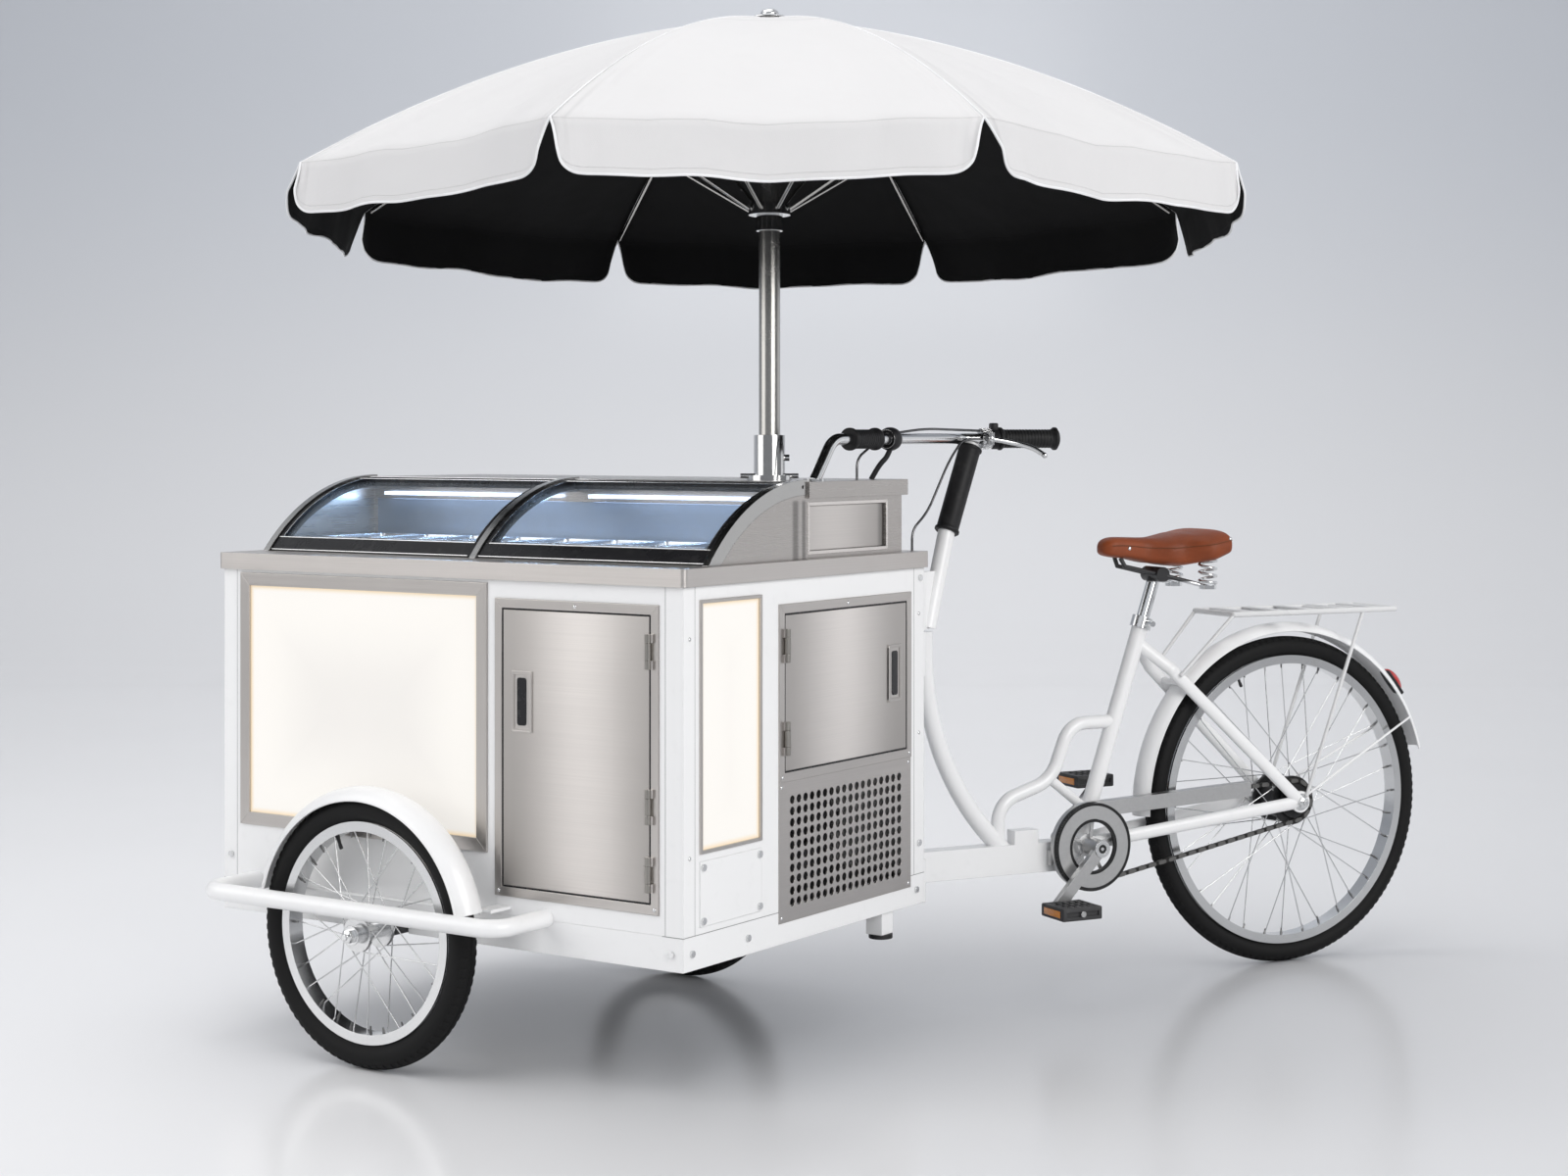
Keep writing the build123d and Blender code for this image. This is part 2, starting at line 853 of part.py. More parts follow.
def display_housing():
    half = slab_length / 2
    box_half = half - housing_inset
    box_back = slab_back - housing_inset
    outer = block((-box_half, box_half), (slab_front, box_back), (counter_top, slab_bottom))
    hollow = block(
        (-box_half + housing_wall, box_half - housing_wall),
        (slab_front + housing_wall, box_back - housing_wall),
        (counter_top, slab_bottom),
    )
    body = outer - hollow
    pocket_y = (slab_front + pocket_border, box_back - pocket_post)
    pocket_z = (counter_top + pocket_border, slab_bottom - pocket_border)
    for side in (-1, 1):
        x = sorted((side * box_half, side * (box_half - housing_pocket)))
        body -= block(x, pocket_y, pocket_z)
    body += block((-half, half), (slab_front, slab_back), (slab_bottom, slab_top))
    end = display_length / 2
    for side in (-1, 1):
        x = sorted((side * end, side * (end - cheek_thickness)))
        cheek = Pos(sum(x) / 2, slab_front, arch_centre_z) * Rot(0, 90, 0)
        disc = cheek * Cylinder(arch_radius - arch_depth, cheek_thickness)
        body += disc & block(x, (slab_front - arch_radius, slab_front), (counter_top, slab_top))
    return body - PARASOL * Cylinder(pole_diameter / 2 + 2 * running_gap, 4 * slab_thickness)


def freezer_tub():
    half = tub_length / 2
    rim = counter_top + tub_rim
    tub = block((-half, half), (tub_front, tub_back), (tub_floor, rim))
    flange_z = (counter_top, counter_top + tub_flange_thickness)
    tub += block(
        (-half - tub_flange, half + tub_flange), (tub_front - tub_flange, tub_back + tub_flange), flange_z
    )
    inside = block(
        (-half + tub_wall, half - tub_wall),
        (tub_front + tub_wall, tub_back - tub_wall),
        (tub_floor + tub_wall, rim),
    )
    return tub - inside


def ice_cream_pans():
    inner = tub_length - 2 * tub_wall
    pitch = inner / pan_count
    rim = counter_top + tub_rim
    y = (tub_front + tub_wall + pan_clearance, tub_back - tub_wall - pan_clearance)
    pans = []
    for index in range(pan_count):
        left = -inner / 2 + index * pitch
        x = (left + pan_clearance + pan_flange, left + pitch - pan_clearance - pan_flange)
        pan = block(x, y, (rim - pan_depth, rim + pan_flange_thickness))
        lip = rim + pan_flange_thickness
        flange = block(grown(x, pan_flange), grown(y, pan_flange + pan_clearance), (rim, lip))
        hollow = block(grown(x, -pan_wall), grown(y, -pan_wall), (rim - pan_depth + pan_wall, lip))
        pans.append(pan + flange - hollow)
    return group(*pans)


# Cooling unit

def cooling_unit():
    floor = shell_bottom
    deck = floor + unit_tray_thickness
    right = fan_x + fan_depth
    tray = block((right - unit_length, right), grown((unit_y, unit_y), unit_width / 2), (floor, deck))
    dome_x = right - unit_length + compressor_diameter / 2 + unit_tray_thickness
    dome = rod((dome_x, unit_y, deck), (dome_x, unit_y, deck + compressor_height), compressor_diameter)
    dome = fillet(dome.edges().sort_by(Axis.Z)[-1], compressor_diameter / 4)
    core = block(
        (condenser_x - condenser_depth / 2, condenser_x + condenser_depth / 2),
        (unit_y - condenser_width / 2, unit_y + condenser_width / 2),
        (deck, deck + condenser_height),
    )
    shaft = rod((condenser_x, unit_y, FAN_Z), (fan_x + fan_depth / 2, unit_y, FAN_Z), fan_shaft)
    return group(tray + dome + core + shaft)


FAN_Z = shell_bottom + unit_tray_thickness + condenser_height / 2


def condenser_fan():
    hub = Rot(0, 90, 0) * Cylinder(fan_hub / 2, fan_depth)
    for index in range(fan_blades):
        blade = Box(fan_diameter / 2, fan_blade_width, fan_blade_thickness)
        blade = Pos(fan_diameter / 4, 0, 0) * Rot(fan_blade_pitch, 0, 0) * blade
        hub += Rot(index * 360 / fan_blades, 0, 0) * Rot(0, -90, 0) * blade
    hub -= Rot(0, 90, 0) * Cylinder(fan_shaft / 2 + running_gap, 2 * fan_depth)
    hub &= Rot(0, 90, 0) * Cylinder(fan_diameter / 2, 2 * fan_depth)
    return Pos(fan_x, unit_y, FAN_Z) * hub


# Chassis and front running gear

RAIL_Z = (cabinet_bottom + rail_rise, shell_bottom)


def chassis():
    z = RAIL_Z
    inner_x = half_length - cabinet_wall
    inner_y = half_width - cabinet_wall
    frame = block((-inner_x, inner_x), (-inner_y, inner_y), (shell_bottom - floor_thickness, shell_bottom))
    for y in (-rail_spread / 2, rail_spread / 2):
        frame += block((-inner_x, inner_x), (y - rail_size / 2, y + rail_size / 2), z)
    for x in (-inner_x + rail_size / 2, inner_x - rail_size / 2):
        frame += block((x - rail_size / 2, x + rail_size / 2), (-inner_y, inner_y), z)
    frame += rod((axle_x, -axle_beam_end, front_radius), (axle_x, axle_beam_end, front_radius), axle_beam)
    pin_end = front_plane + front_hub_outer + axle_nut_thickness + running_gap
    frame += rod((axle_x, -pin_end, front_radius), (axle_x, pin_end, front_radius), axle_pin)
    for side in (-1, 1):
        nut = side * (front_plane + front_hub_outer + running_gap)
        frame += rod((axle_x, nut, front_radius), (axle_x, side * pin_end, front_radius), axle_nut)
    return frame


def tyre(radius, section):
    """Tyre about the Y axis at the origin."""
    return Rot(90, 0, 0) * Torus(radius - section / 2, section / 2)


def spoked_rim(radius, section, spokes, hub_flange, flange_y):
    """Rim about the Y axis with crossed spokes to the two hub flanges, as one piece."""
    bead = radius - section
    rim = ring(bead + rim_seat, bead + rim_seat - rim_height, rim_width)
    rim -= Rot(90, 0, 0) * Torus(radius - section / 2, section / 2 + running_gap)
    inner = bead + rim_seat - rim_height + rim_seat / 2
    hole = hub_flange / 2 + spoke_diameter / 2 + spoke_seat
    for index in range(spokes):
        side = 1 if index % 2 else -1
        lead = 1 if index // 2 % 2 else -1
        rim_angle = 2 * pi * index / spokes
        hub_angle = rim_angle + lead * radians(spoke_cross)
        start = (hole * cos(hub_angle), side * flange_y, hole * sin(hub_angle))
        end = (inner * cos(rim_angle), side * rim_width / 8, inner * sin(rim_angle))
        rim += rod(start, end, spoke_diameter)
    return rim


def front_hub():
    """Hub with flanges and its bore, about the Y axis; the outer end is at +Y."""
    body = rod((0, -front_hub_inner, 0), (0, front_hub_outer, 0), front_hub_body)
    for y in (-front_flange_y(), front_flange_y()):
        body += rod((0, y - hub_flange_thickness, 0), (0, y + hub_flange_thickness, 0),
                    front_hub_flange)
    bore = rod((0, -front_hub_inner, 0), (0, front_hub_outer, 0), axle_pin + 2 * running_gap)
    return body - bore


def front_flange_y():
    """Distance of the hub's flanges from the wheel's plane."""
    return front_hub_inner - 3 * hub_flange_thickness


def front_place(side):
    """Place of a front wheel; local +Y points outwards."""
    turn = 0 if side > 0 else 180
    return Pos(axle_x, side * front_plane, front_radius) * Rot(0, 0, turn)


def fender_sheet(radius, thickness, width, crown, start, end):
    """Crowned sheet about the Y axis between two angles up from +X, with the crown's inside at the radius."""
    half = width / 2
    outer = radius + thickness
    lines = ThreePointArc((outer - crown, -half), (outer, 0), (outer - crown, half))
    lines += Line((outer - crown, half), (radius - crown, half))
    lines += ThreePointArc((radius - crown, half), (radius, 0), (radius - crown, -half))
    lines += Line((radius - crown, -half), (outer - crown, -half))
    sheet = revolve(make_face(lines), axis=Axis.Y, revolution_arc=end - start)
    return Rot(0, -end, 0) * sheet


def front_fenders():
    sheet = fender_sheet(
        front_fender_radius, fender_thickness, front_fender_width, front_fender_crown,
        front_fender_start, front_fender_end,
    )
    inner = front_fender_width / 2
    wall = front_plane - half_width
    ends = []
    for angle in (front_fender_start, 180 - front_fender_start):
        x = (front_fender_radius - fender_bracket / 2) * cos(radians(angle))
        z = (front_fender_radius + fender_thickness) * sin(radians(angle))
        x += -fender_bracket / 4 if x > 0 else fender_bracket / 4
        ends.append((x, z))
    fenders = []
    for side in (-1, 1):
        place = front_place(side)
        piece = place * sheet
        for x, z in ends:
            span = sorted((x, (front_fender_radius + fender_thickness / 2) * (1 if x > 0 else -1)))
            arm = block(span, (-wall, -inner + fender_thickness), (z, z + fender_bracket_thickness))
            piece += place * arm
        stay_y = -inner - fender_stay / 2
        stay = rod((ends[0][0], stay_y, ends[0][1]), (ends[1][0], stay_y, ends[1][1]), fender_stay)
        fenders.append(piece + place * stay)
    return group(*fenders)


def wheel_guards():
    bars = []
    for side in (-1, 1):
        wall = side * half_width
        out = side * (half_width + guard_reach)
        points = [
            (guard_left, wall, guard_height),
            (guard_left, out, guard_height),
            (guard_right, out, guard_height),
            (guard_right, wall, guard_height),
        ]
        bars.append(bent_rod(points, (guard_bend, guard_bend), guard_tube))
    return group(*bars)


def parking_foot():
    x = (half_length - foot_length, half_length - foot_plate)
    y = (foot_y - foot_length / 2, foot_y + foot_length / 2)
    low = cabinet_bottom - foot_height
    bracket = block((x[1] - foot_plate, x[1]), y, (low, cabinet_bottom))
    bracket += block(x, (y[0], y[0] + foot_plate), (low, cabinet_bottom))
    bracket += block(x, y, (low, low + foot_plate))
    pad_x = x[0] + foot_length / 2
    pad = rod((pad_x, foot_y, low - foot_pad_thickness), (pad_x, foot_y, low), foot_pad)
    stop_x = half_length - stop_diameter
    stop_z = cabinet_bottom - foot_pad_thickness
    stop = rod((stop_x, stop_y, stop_z), (stop_x, stop_y, RAIL_Z[0]), stop_diameter)
    return group(bracket, pad, stop)


# Parasol, about its own pole with the slab's top at local Z = 0

PARASOL = Pos(pole_x, pole_y, slab_top) * Rot(0, 0, parasol_turn) * Rot(-parasol_lean, 0, 0)


def canopy_fall(reach):
    """Drop of the canopy below its top at a distance from the pole."""
    bend = (canopy_drop - canopy_top_slope * canopy_radius) / canopy_radius**2
    return canopy_top_slope * reach + bend * reach**2


def canopy_reach(step):
    """Distance from the pole of a ring of the canopy."""
    return canopy_radius * step / canopy_rings


def octagon(reach, height):
    """Regular octagon with a flat side towards local -Y."""
    angles = [2 * pi * (index + 0.5) / panel_count - pi / 2 for index in range(panel_count)]
    corners = [(reach * cos(angle), reach * sin(angle)) for angle in angles]
    return Pos(0, 0, height) * make_face(Polyline(*corners, close=True))


def canopy_body(shift):
    """Solid under the canopy's skin, lowered by a shift."""
    layers = []
    for step in range(1, canopy_rings + 1):
        inner = canopy_reach(step - 1) if step > 1 else canopy_hole
        outer = canopy_reach(step)
        top = canopy_height - canopy_fall(inner) - shift
        low = canopy_height - canopy_fall(outer) - shift
        layers.append(loft([octagon(outer, low), octagon(inner, top)], ruled=True))
    body = layers[0]
    for layer, step in zip(layers[1:], range(2, canopy_rings + 1)):
        low = canopy_height - canopy_fall(canopy_reach(step)) - shift
        high = canopy_height - canopy_fall(canopy_reach(step - 1)) - shift
        core = extrude(octagon(canopy_reach(step - 1), low), amount=high - low)
        body = body + layer + core
    return body


def valance_flap():
    """One hanging flap on the side towards local -Y."""
    flat = canopy_radius * cos(pi / panel_count)
    half = canopy_radius * sin(pi / panel_count)
    top = canopy_height - canopy_drop
    low = top - valance_height
    face = Polyline(
        (-half, top), (half, top), (half - valance_taper, low), (-half + valance_taper, low), close=True
    )
    face = make_face(face)
    corners = face.vertices().sort_by(Axis.Y)[:2]
    face = fillet(corners, valance_corner)
    plane = Plane(origin=(0, -flat, 0), x_dir=(1, 0, 0), z_dir=(0, -1, 0))
    return extrude(plane * face, amount=-canopy_thickness)


def umbrella_canopy():
    skin = canopy_body(0) - canopy_body(canopy_thickness)
    skin -= Pos(0, 0, canopy_height) * Cylinder(canopy_hole - panel_gap, canopy_drop)
    flap = valance_flap()
    for index in range(panel_count):
        skin += Rot(0, 0, index * 360 / panel_count) * flap
    return PARASOL * skin


def rib_point(reach):
    """Centre of a rib under the canopy's seam, in its own vertical plane."""
    drop = rib_diameter / 2 + canopy_thickness + 2 * running_gap
    slope = canopy_top_slope + 2 * (canopy_drop - canopy_top_slope * canopy_radius) / canopy_radius
    return (reach, 0, canopy_height - canopy_fall(reach) - drop * sqrt(1 + slope**2))


def spread(shape):
    """Copies of a rib's piece, one under each seam."""
    return [Rot(0, 0, (index + 0.5) * 360 / panel_count - 90) * shape for index in range(panel_count)]


def umbrella_ribs():
    reaches = [rib_hub / 2 + rib_seat] + [canopy_reach(step) for step in range(1, canopy_rings)]
    reaches.append(canopy_radius - 2 * rib_diameter)
    points = [rib_point(reach) for reach in reaches]
    rib = rod(points[0], points[1], rib_diameter)
    for start, end in zip(points[1:], points[2:]):
        rib += Pos(*start) * Sphere(rib_diameter / 2) + rod(start, end, rib_diameter)
    return PARASOL * group(*spread(rib))


def umbrella_stretchers():
    high = rib_point(stretcher_reach)
    high = (high[0], 0, high[2] - rib_diameter / 2 - stretcher_diameter / 2 - 3 * running_gap)
    low = (runner_diameter / 2 + stretcher_seat, 0, runner_height + runner_thickness / 2)
    return PARASOL * group(*spread(rod(low, high, stretcher_diameter)))


def umbrella_pole():
    pole = rod((0, 0, -pole_depth), (0, 0, canopy_height - running_gap), pole_diameter)
    top = canopy_height - running_gap
    finial = rod((0, 0, top), (0, 0, top + finial_height), finial_diameter)
    finial = fillet(finial.edges().sort_by(Axis.Z)[-1], finial_diameter / 4)
    return PARASOL * (pole + finial)


def umbrella_hubs():
    runner = rod((0, 0, runner_height), (0, 0, runner_height + runner_thickness), runner_diameter)
    runner += rod((0, 0, runner_height - runner_sleeve_height), (0, 0, runner_height), runner_sleeve)
    top = rib_point(rib_hub / 2)[2] + rib_diameter / 2
    crown = rod((0, 0, top - crown_height), (0, 0, top), rib_hub)
    bore = rod((0, 0, 0), (0, 0, canopy_height), pole_diameter)
    return PARASOL * group(runner - bore, crown - bore)


def umbrella_socket():
    tube = rod((0, 0, 0), (0, 0, socket_height), socket_diameter)
    flange = rod((0, 0, -socket_flange_thickness), (0, 0, socket_flange_thickness), socket_flange)
    body = PARASOL * (tube + flange)
    for side in (-1, 1):
        reach = side * (socket_flange / 2 + socket_wing / 2)
        start = (side * socket_diameter / 4, 0, socket_flange_thickness)
        body += PARASOL * rod(start, (reach, 0, socket_flange_thickness), socket_wing_diameter)
    screw_z = socket_height / 2
    body += PARASOL * rod((0, 0, screw_z), (socket_diameter / 2 + 2 * bolt_height, 0, screw_z), bolt_head)
    body -= PARASOL * Cylinder(pole_diameter / 2 + running_gap, 4 * socket_height)
    ground = block(grown((pole_x, pole_x), socket_flange), grown((pole_y, pole_y), socket_flange),
                   (slab_top - socket_flange, slab_top))
    return body - ground


# Handlebar

def bar_direction():
    """Direction of the swept end of the bar, in plan."""
    return Vector(cos(radians(bar_sweep)), sin(radians(bar_sweep)), 0)


def bar_point(along):
    """Point on the swept end of the bar, measured from its turn."""
    return Vector(bar_x, bar_turn_y, bar_height) + bar_direction() * along


def handlebar():
    points = [
        (bar_x, bar_foot_y, slab_top),
        (bar_x, bar_knee_y, bar_height),
        (bar_x, bar_turn_y, bar_height),
        bar_point(bar_end),
    ]
    bar = bent_rod(points, (bar_bend, bar_bend), bar_tube)
    foot = (bar_x, bar_foot_y, slab_top)
    bar += rod(foot, (bar_x, bar_foot_y, slab_top + bar_flange_thickness), bar_flange)
    return bar - block(grown((bar_x, bar_x), bar_flange), grown((bar_foot_y, bar_foot_y), bar_flange),
                       (slab_top - bar_flange, slab_top))


def stem_top():
    """Upper end of the stem, under the swept bar."""
    return bar_point(stem_reach) - Vector(0, 0, bar_tube / 2)


def handlebar_stem():
    kink = Vector(*stem_kink)
    foot = Vector(*stem_foot)
    stem = rod(foot, kink, stem_tube) + rod(kink, stem_top(), stem_tube)
    stem += Pos(kink) * Sphere(stem_tube / 2)
    wall = rider_face
    plate_z = (stem_foot[2], stem_foot[2] + stem_plate_height)
    base = block(
        (bar_x - stem_plate_width / 2, min(bar_x + stem_plate_width / 2, half_length)),
        (wall, wall + stem_plate),
        plate_z,
    )
    gusset = Polyline(
        (wall, plate_z[0]),
        (foot.Y, foot.Z),
        (stem_y_at(plate_z[1]), plate_z[1]),
        (wall, plate_z[1]),
        close=True,
    )
    plane = Plane(origin=(bar_x, 0, 0), x_dir=(0, 1, 0), z_dir=(1, 0, 0))
    web = extrude(plane * make_face(gusset), amount=stem_plate, both=True)
    stem += base + web
    level = block((bar_x - wall, bar_x + wall), (0, 2 * wall), (stem_foot[2] - wall, stem_foot[2]))
    return stem - level - handlebar()


def stem_y_at(height):
    """Y of the stem's lower run at a height."""
    share = (height - stem_foot[2]) / (stem_kink[2] - stem_foot[2])
    return stem_foot[1] + share * (stem_kink[1] - stem_foot[1])


PLAIN_BAR = rod(bar_point(0), bar_point(bar_end), bar_tube)


def rubber_grips():
    near_end = bar_point(bar_end)
    near_start = bar_point(bar_end - grip_length)
    along = bar_direction()
    collar = along * grip_collar_length
    near = rod(near_start, near_end, grip_diameter)
    near += rod(near_start, near_start + collar, grip_collar)
    near += rod(near_end - collar, near_end, grip_collar)
    near -= rod(near_start - collar, near_end, bar_tube)
    near += rod(near_end, near_end + collar / 2, grip_collar)
    far = pipe((bar_x, far_grip_start, bar_height), (bar_x, far_grip_start + far_grip_length, bar_height),
               grip_diameter, bar_tube)
    kink = Vector(*stem_kink)
    lean = (stem_top() - kink).normalized()
    sleeve = rod(kink, kink + lean * sleeve_length, sleeve_diameter)
    sleeve += rod(kink, kink + lean * grip_collar_length, sleeve_collar)
    sleeve -= rod(kink - lean * stem_tube, stem_top(), stem_tube)
    sleeve -= rod(Vector(*stem_foot), kink, stem_tube) + Pos(kink) * Sphere(stem_tube / 2)
    return group(near, far, sleeve)


def lever_pivot():
    """Pivot of the brake lever, out from the bar on the side away from the rider."""
    return bar_point(lever_pivot_along) + lever_out() * lever_pivot_out


def lever_out():
    """Direction from the bar to the lever's pivot, in plan."""
    along = bar_direction()
    return Vector(along.Y, -along.X, 0)


def bar_controls():
    half = clamp_length / 2
    clamp = rod(bar_point(lever_pivot_along - half), bar_point(lever_pivot_along + half), clamp_diameter)
    gap = lever_thickness / 2 + running_gap
    for z in (gap + lever_thickness / 2, -gap - lever_thickness / 2):
        origin = bar_point(lever_pivot_along) + Vector(0, 0, z)
        plane = Plane(origin=origin, x_dir=lever_out(), z_dir=(0, 0, 1))
        ear = Pos(lever_pivot_out / 2, 0) * Rectangle(lever_pivot_out, lever_boss)
        ear += Pos(lever_pivot_out, 0) * Circle(lever_boss / 2)
        clamp += extrude(plane * ear, amount=lever_thickness / 2, both=True)
    pivot = lever_pivot()
    reach = Vector(0, 0, gap + lever_thickness)
    clamp += rod(pivot - reach, pivot + reach, lever_pin)
    clamp -= PLAIN_BAR
    start = bar_end - grip_length - shifter_length - 2 * running_gap
    shifter = rod(bar_point(start), bar_point(start + shifter_length), shifter_diameter) - PLAIN_BAR
    bell_y = (bell_along, bell_along + bell_length)
    bell = pipe((bar_x, bell_y[0], bar_height), (bar_x, bell_y[1], bar_height), bell_diameter, bar_tube)
    return group(clamp, shifter, bell)


def brake_lever():
    pivot = lever_pivot()
    direction = bar_direction() * cos(radians(lever_open)) + lever_out() * sin(radians(lever_open))
    tip = pivot + direction * lever_length
    boss = Pos(pivot) * Cylinder(lever_boss / 2, lever_thickness)
    arm_plane = Plane(origin=pivot + direction * lever_length / 2, x_dir=direction, z_dir=(0, 0, 1))
    arm = extrude(arm_plane * Rectangle(lever_length, lever_width), amount=lever_thickness / 2, both=True)
    lever = boss + arm + Pos(tip) * Sphere(lever_ball / 2)
    bore = rod(pivot - Vector(0, 0, lever_thickness), pivot + Vector(0, 0, lever_thickness),
               lever_pin + 2 * running_gap)
    return lever - bore


def control_cables():
    """Two cable housings, from the bar to the counter's corner and to the raised top."""
    clamp_end = bar_point(lever_pivot_along - clamp_length / 2 - cable_seat)
    beside = lever_out() * cable_beside
    above = Vector(0, 0, cable_beside)
    down = [clamp_end + beside, bar_point(0) + lever_out() * cable_flare]
    for back, drop, x in zip(cable_down_back, cable_down_drop, (cable_beside, cable_beside / 2)):
        down.append((bar_x + x, bar_turn_y - back, bar_height - drop))
    down += [(bar_x, cable_down_y, counter_top + cable_lead), (bar_x, cable_down_y, counter_top)]
    over = [clamp_end + above]
    for x, back, rise in zip(cable_over_x, cable_over_back, cable_over_rise):
        over.append((bar_x + x, bar_turn_y - back, bar_height + rise))
    end_x = bar_x + cable_over_x[-1]
    over += [(end_x, cable_over_y, slab_top + cable_lead), (end_x, cable_over_y, slab_top)]
    return group(*[bent_rod(points, cable_bends(points), cable_diameter) for points in (down, over)])


def cable_bends(points):
    """Largest bend that each corner's two runs leave room for."""
    bends = []
    for before, here, after in zip(points, points[1:], points[2:]):
        first = Vector(*here) - Vector(*before)
        second = Vector(*after) - Vector(*here)
        turn = radians(first.get_angle(second))
        bends.append(cable_bend_share * min(first.length, second.length) / tan(turn / 2))
    return bends


# Hinge on the cabinet's back

def hinge_levels():
    """Z spans of the two bosses on the bicycle frame."""
    lower = (beam_bottom, beam_bottom + beam_height)
    upper = (upper_boss_bottom, upper_boss_bottom + upper_boss_height)
    return lower, upper


def hinge_brackets():
    brackets = []
    for low, high in hinge_levels():
        bottom = low - hinge_arm_gap - hinge_arm
        top = high + hinge_arm_gap + hinge_arm
        plate_end = min(pivot_x + hinge_plate_width, half_length - panel_gap)
        plate_x = (pivot_x - hinge_plate_width / 2, plate_end)
        bracket = block(plate_x, (half_width, half_width + hinge_plate), (bottom, top))
        for z in ((bottom, bottom + hinge_arm), (top - hinge_arm, top)):
            arm = block(grown((pivot_x, pivot_x), hinge_arm_width / 2), (half_width, pivot_y), z)
            arm += rod((pivot_x, pivot_y, z[0]), (pivot_x, pivot_y, z[1]), hinge_arm_width)
            bracket += arm
        bracket += rod((pivot_x, pivot_y, bottom), (pivot_x, pivot_y, top), king_pin)
        brackets.append(bracket)
    return group(*brackets)


# Bicycle, in its own frame with the king pin at the origin and the frame's plane along X

BIKE = Pos(pivot_x, pivot_y, 0) * Rot(0, 0, bike_heading)


def seat_point(along):
    """Point on the seat tube's centre line, measured from its top."""
    return Vector(seat_top_x, 0, seat_top_z) + seat_lean * along


def rear_frame():
    beam_z = (beam_bottom, beam_bottom + beam_height)
    frame = block((0, crank_x), (-beam_width / 2, beam_width / 2), beam_z)
    for low, high in hinge_levels():
        frame += rod((0, 0, low), (0, 0, high), hinge_boss)
    upper = hinge_levels()[1]
    frame += block((0, down_tube_x), (-down_tube / 2, down_tube / 2), upper)
    tangent = down_tube_bend * tan(radians(down_tube_turn / 2))
    corner = (down_tube_x, 0, down_tube_straight - tangent)
    run = tangent + beam_height / 2
    turn = radians(down_tube_turn)
    low_end = (corner[0] + run * sin(turn), 0, corner[2] - run * cos(turn))
    frame += bent_rod([(down_tube_x, 0, upper[1]), corner, low_end], (down_tube_bend,), down_tube)
    step_end = seat_point(-(seat_top_z - step_high[1]) / seat_lean.Z)
    step = [(step_start, 0, beam_z[1] - beam_height / 4)]
    step += [(x, 0, z) for x, z in (step_low, step_mid, step_high)]
    step.append((step_end.X, 0, step_end.Z))
    frame += bent_rod(step, step_bends, step_tube)
    crank = Vector(crank_x, 0, crank_z)
    frame += rod(crank, seat_point(0), seat_tube)
    shell = crank_shell_width / 2
    frame += rod((crank_x, -shell, crank_z), (crank_x, shell, crank_z), crank_shell)
    frame += rod((step_mid[0], 0, step_mid[1]), seat_point(-strut_drop), strut_tube)
    frame += rear_triangle()
    frame += lock_block(beam_z[1])
    post_end = seat_point(-post_inside - post_diameter)
    frame -= rod(post_end, seat_point(post_diameter), post_diameter + 2 * running_gap)
    frame -= rod((crank_x, -crank_shell_width, crank_z), (crank_x, crank_shell_width, crank_z),
                 crank_axle + 2 * running_gap)
    for low, high in hinge_levels():
        frame -= rod((0, 0, low), (0, 0, high), king_pin + 2 * running_gap)
    return frame


def lock_block(level):
    """Small bracket that stands on the beam behind the step tube."""
    x = (step_start + step_tube, step_start + 3 * step_tube)
    base = block(x, (-beam_width / 2, beam_width / 4), (level, level + step_tube))
    return base


def stay_top():
    """Where the seat stays leave the seat tube."""
    length = hypot(seat_top_x - crank_x, seat_top_z - crank_z)
    return seat_point(-(1 - stay_start) * length)


def rear_triangle():
    """Seat stays, chain stays, drop-outs, rear axle and the fender bridge."""
    top = stay_top()
    pieces = rod((rear_x, -stay_spread - dropout_size / 2, rear_radius),
                 (rear_x, stay_spread + dropout_size / 2, rear_radius), rear_axle)
    for side in (-1, 1):
        end = Vector(rear_x, side * stay_spread, rear_radius)
        elbow = stay_place(stay_elbow)
        elbow = Vector(elbow.X, side * stay_elbow_spread, elbow.Z)
        pieces += rod(top, elbow, stay_tube) + Pos(elbow) * Sphere(stay_tube / 2)
        pieces += rod(elbow, end, stay_tube)
        pieces += rod((crank_x, side * chain_stay_start, crank_z), end, stay_tube)
        y = grown((side * stay_spread, side * stay_spread), dropout_thickness / 2)
        pieces += rod((rear_x, y[0], rear_radius), (rear_x, y[1], rear_radius), dropout_size)
    bridge = bridge_place()
    reach = stay_offset(bridge.X)
    pieces += rod((bridge.X, -reach, bridge.Z), (bridge.X, reach, bridge.Z), bridge_tube)
    return pieces


def bridge_place():
    """Centre of the bridge between the seat stays, just outside the rear fender."""
    top = stay_top()
    axle = Vector(rear_x, 0, rear_radius)
    away = (top - axle).normalized()
    return axle + away * (rear_fender_radius + fender_thickness + bridge_tube / 2 + running_gap)


def stay_offset(x):
    """Distance of a seat stay from the frame's plane."""
    elbow = stay_place(stay_elbow)
    share = (x - elbow.X) / (rear_x - elbow.X)
    return stay_elbow_spread + share * (stay_spread - stay_elbow_spread)


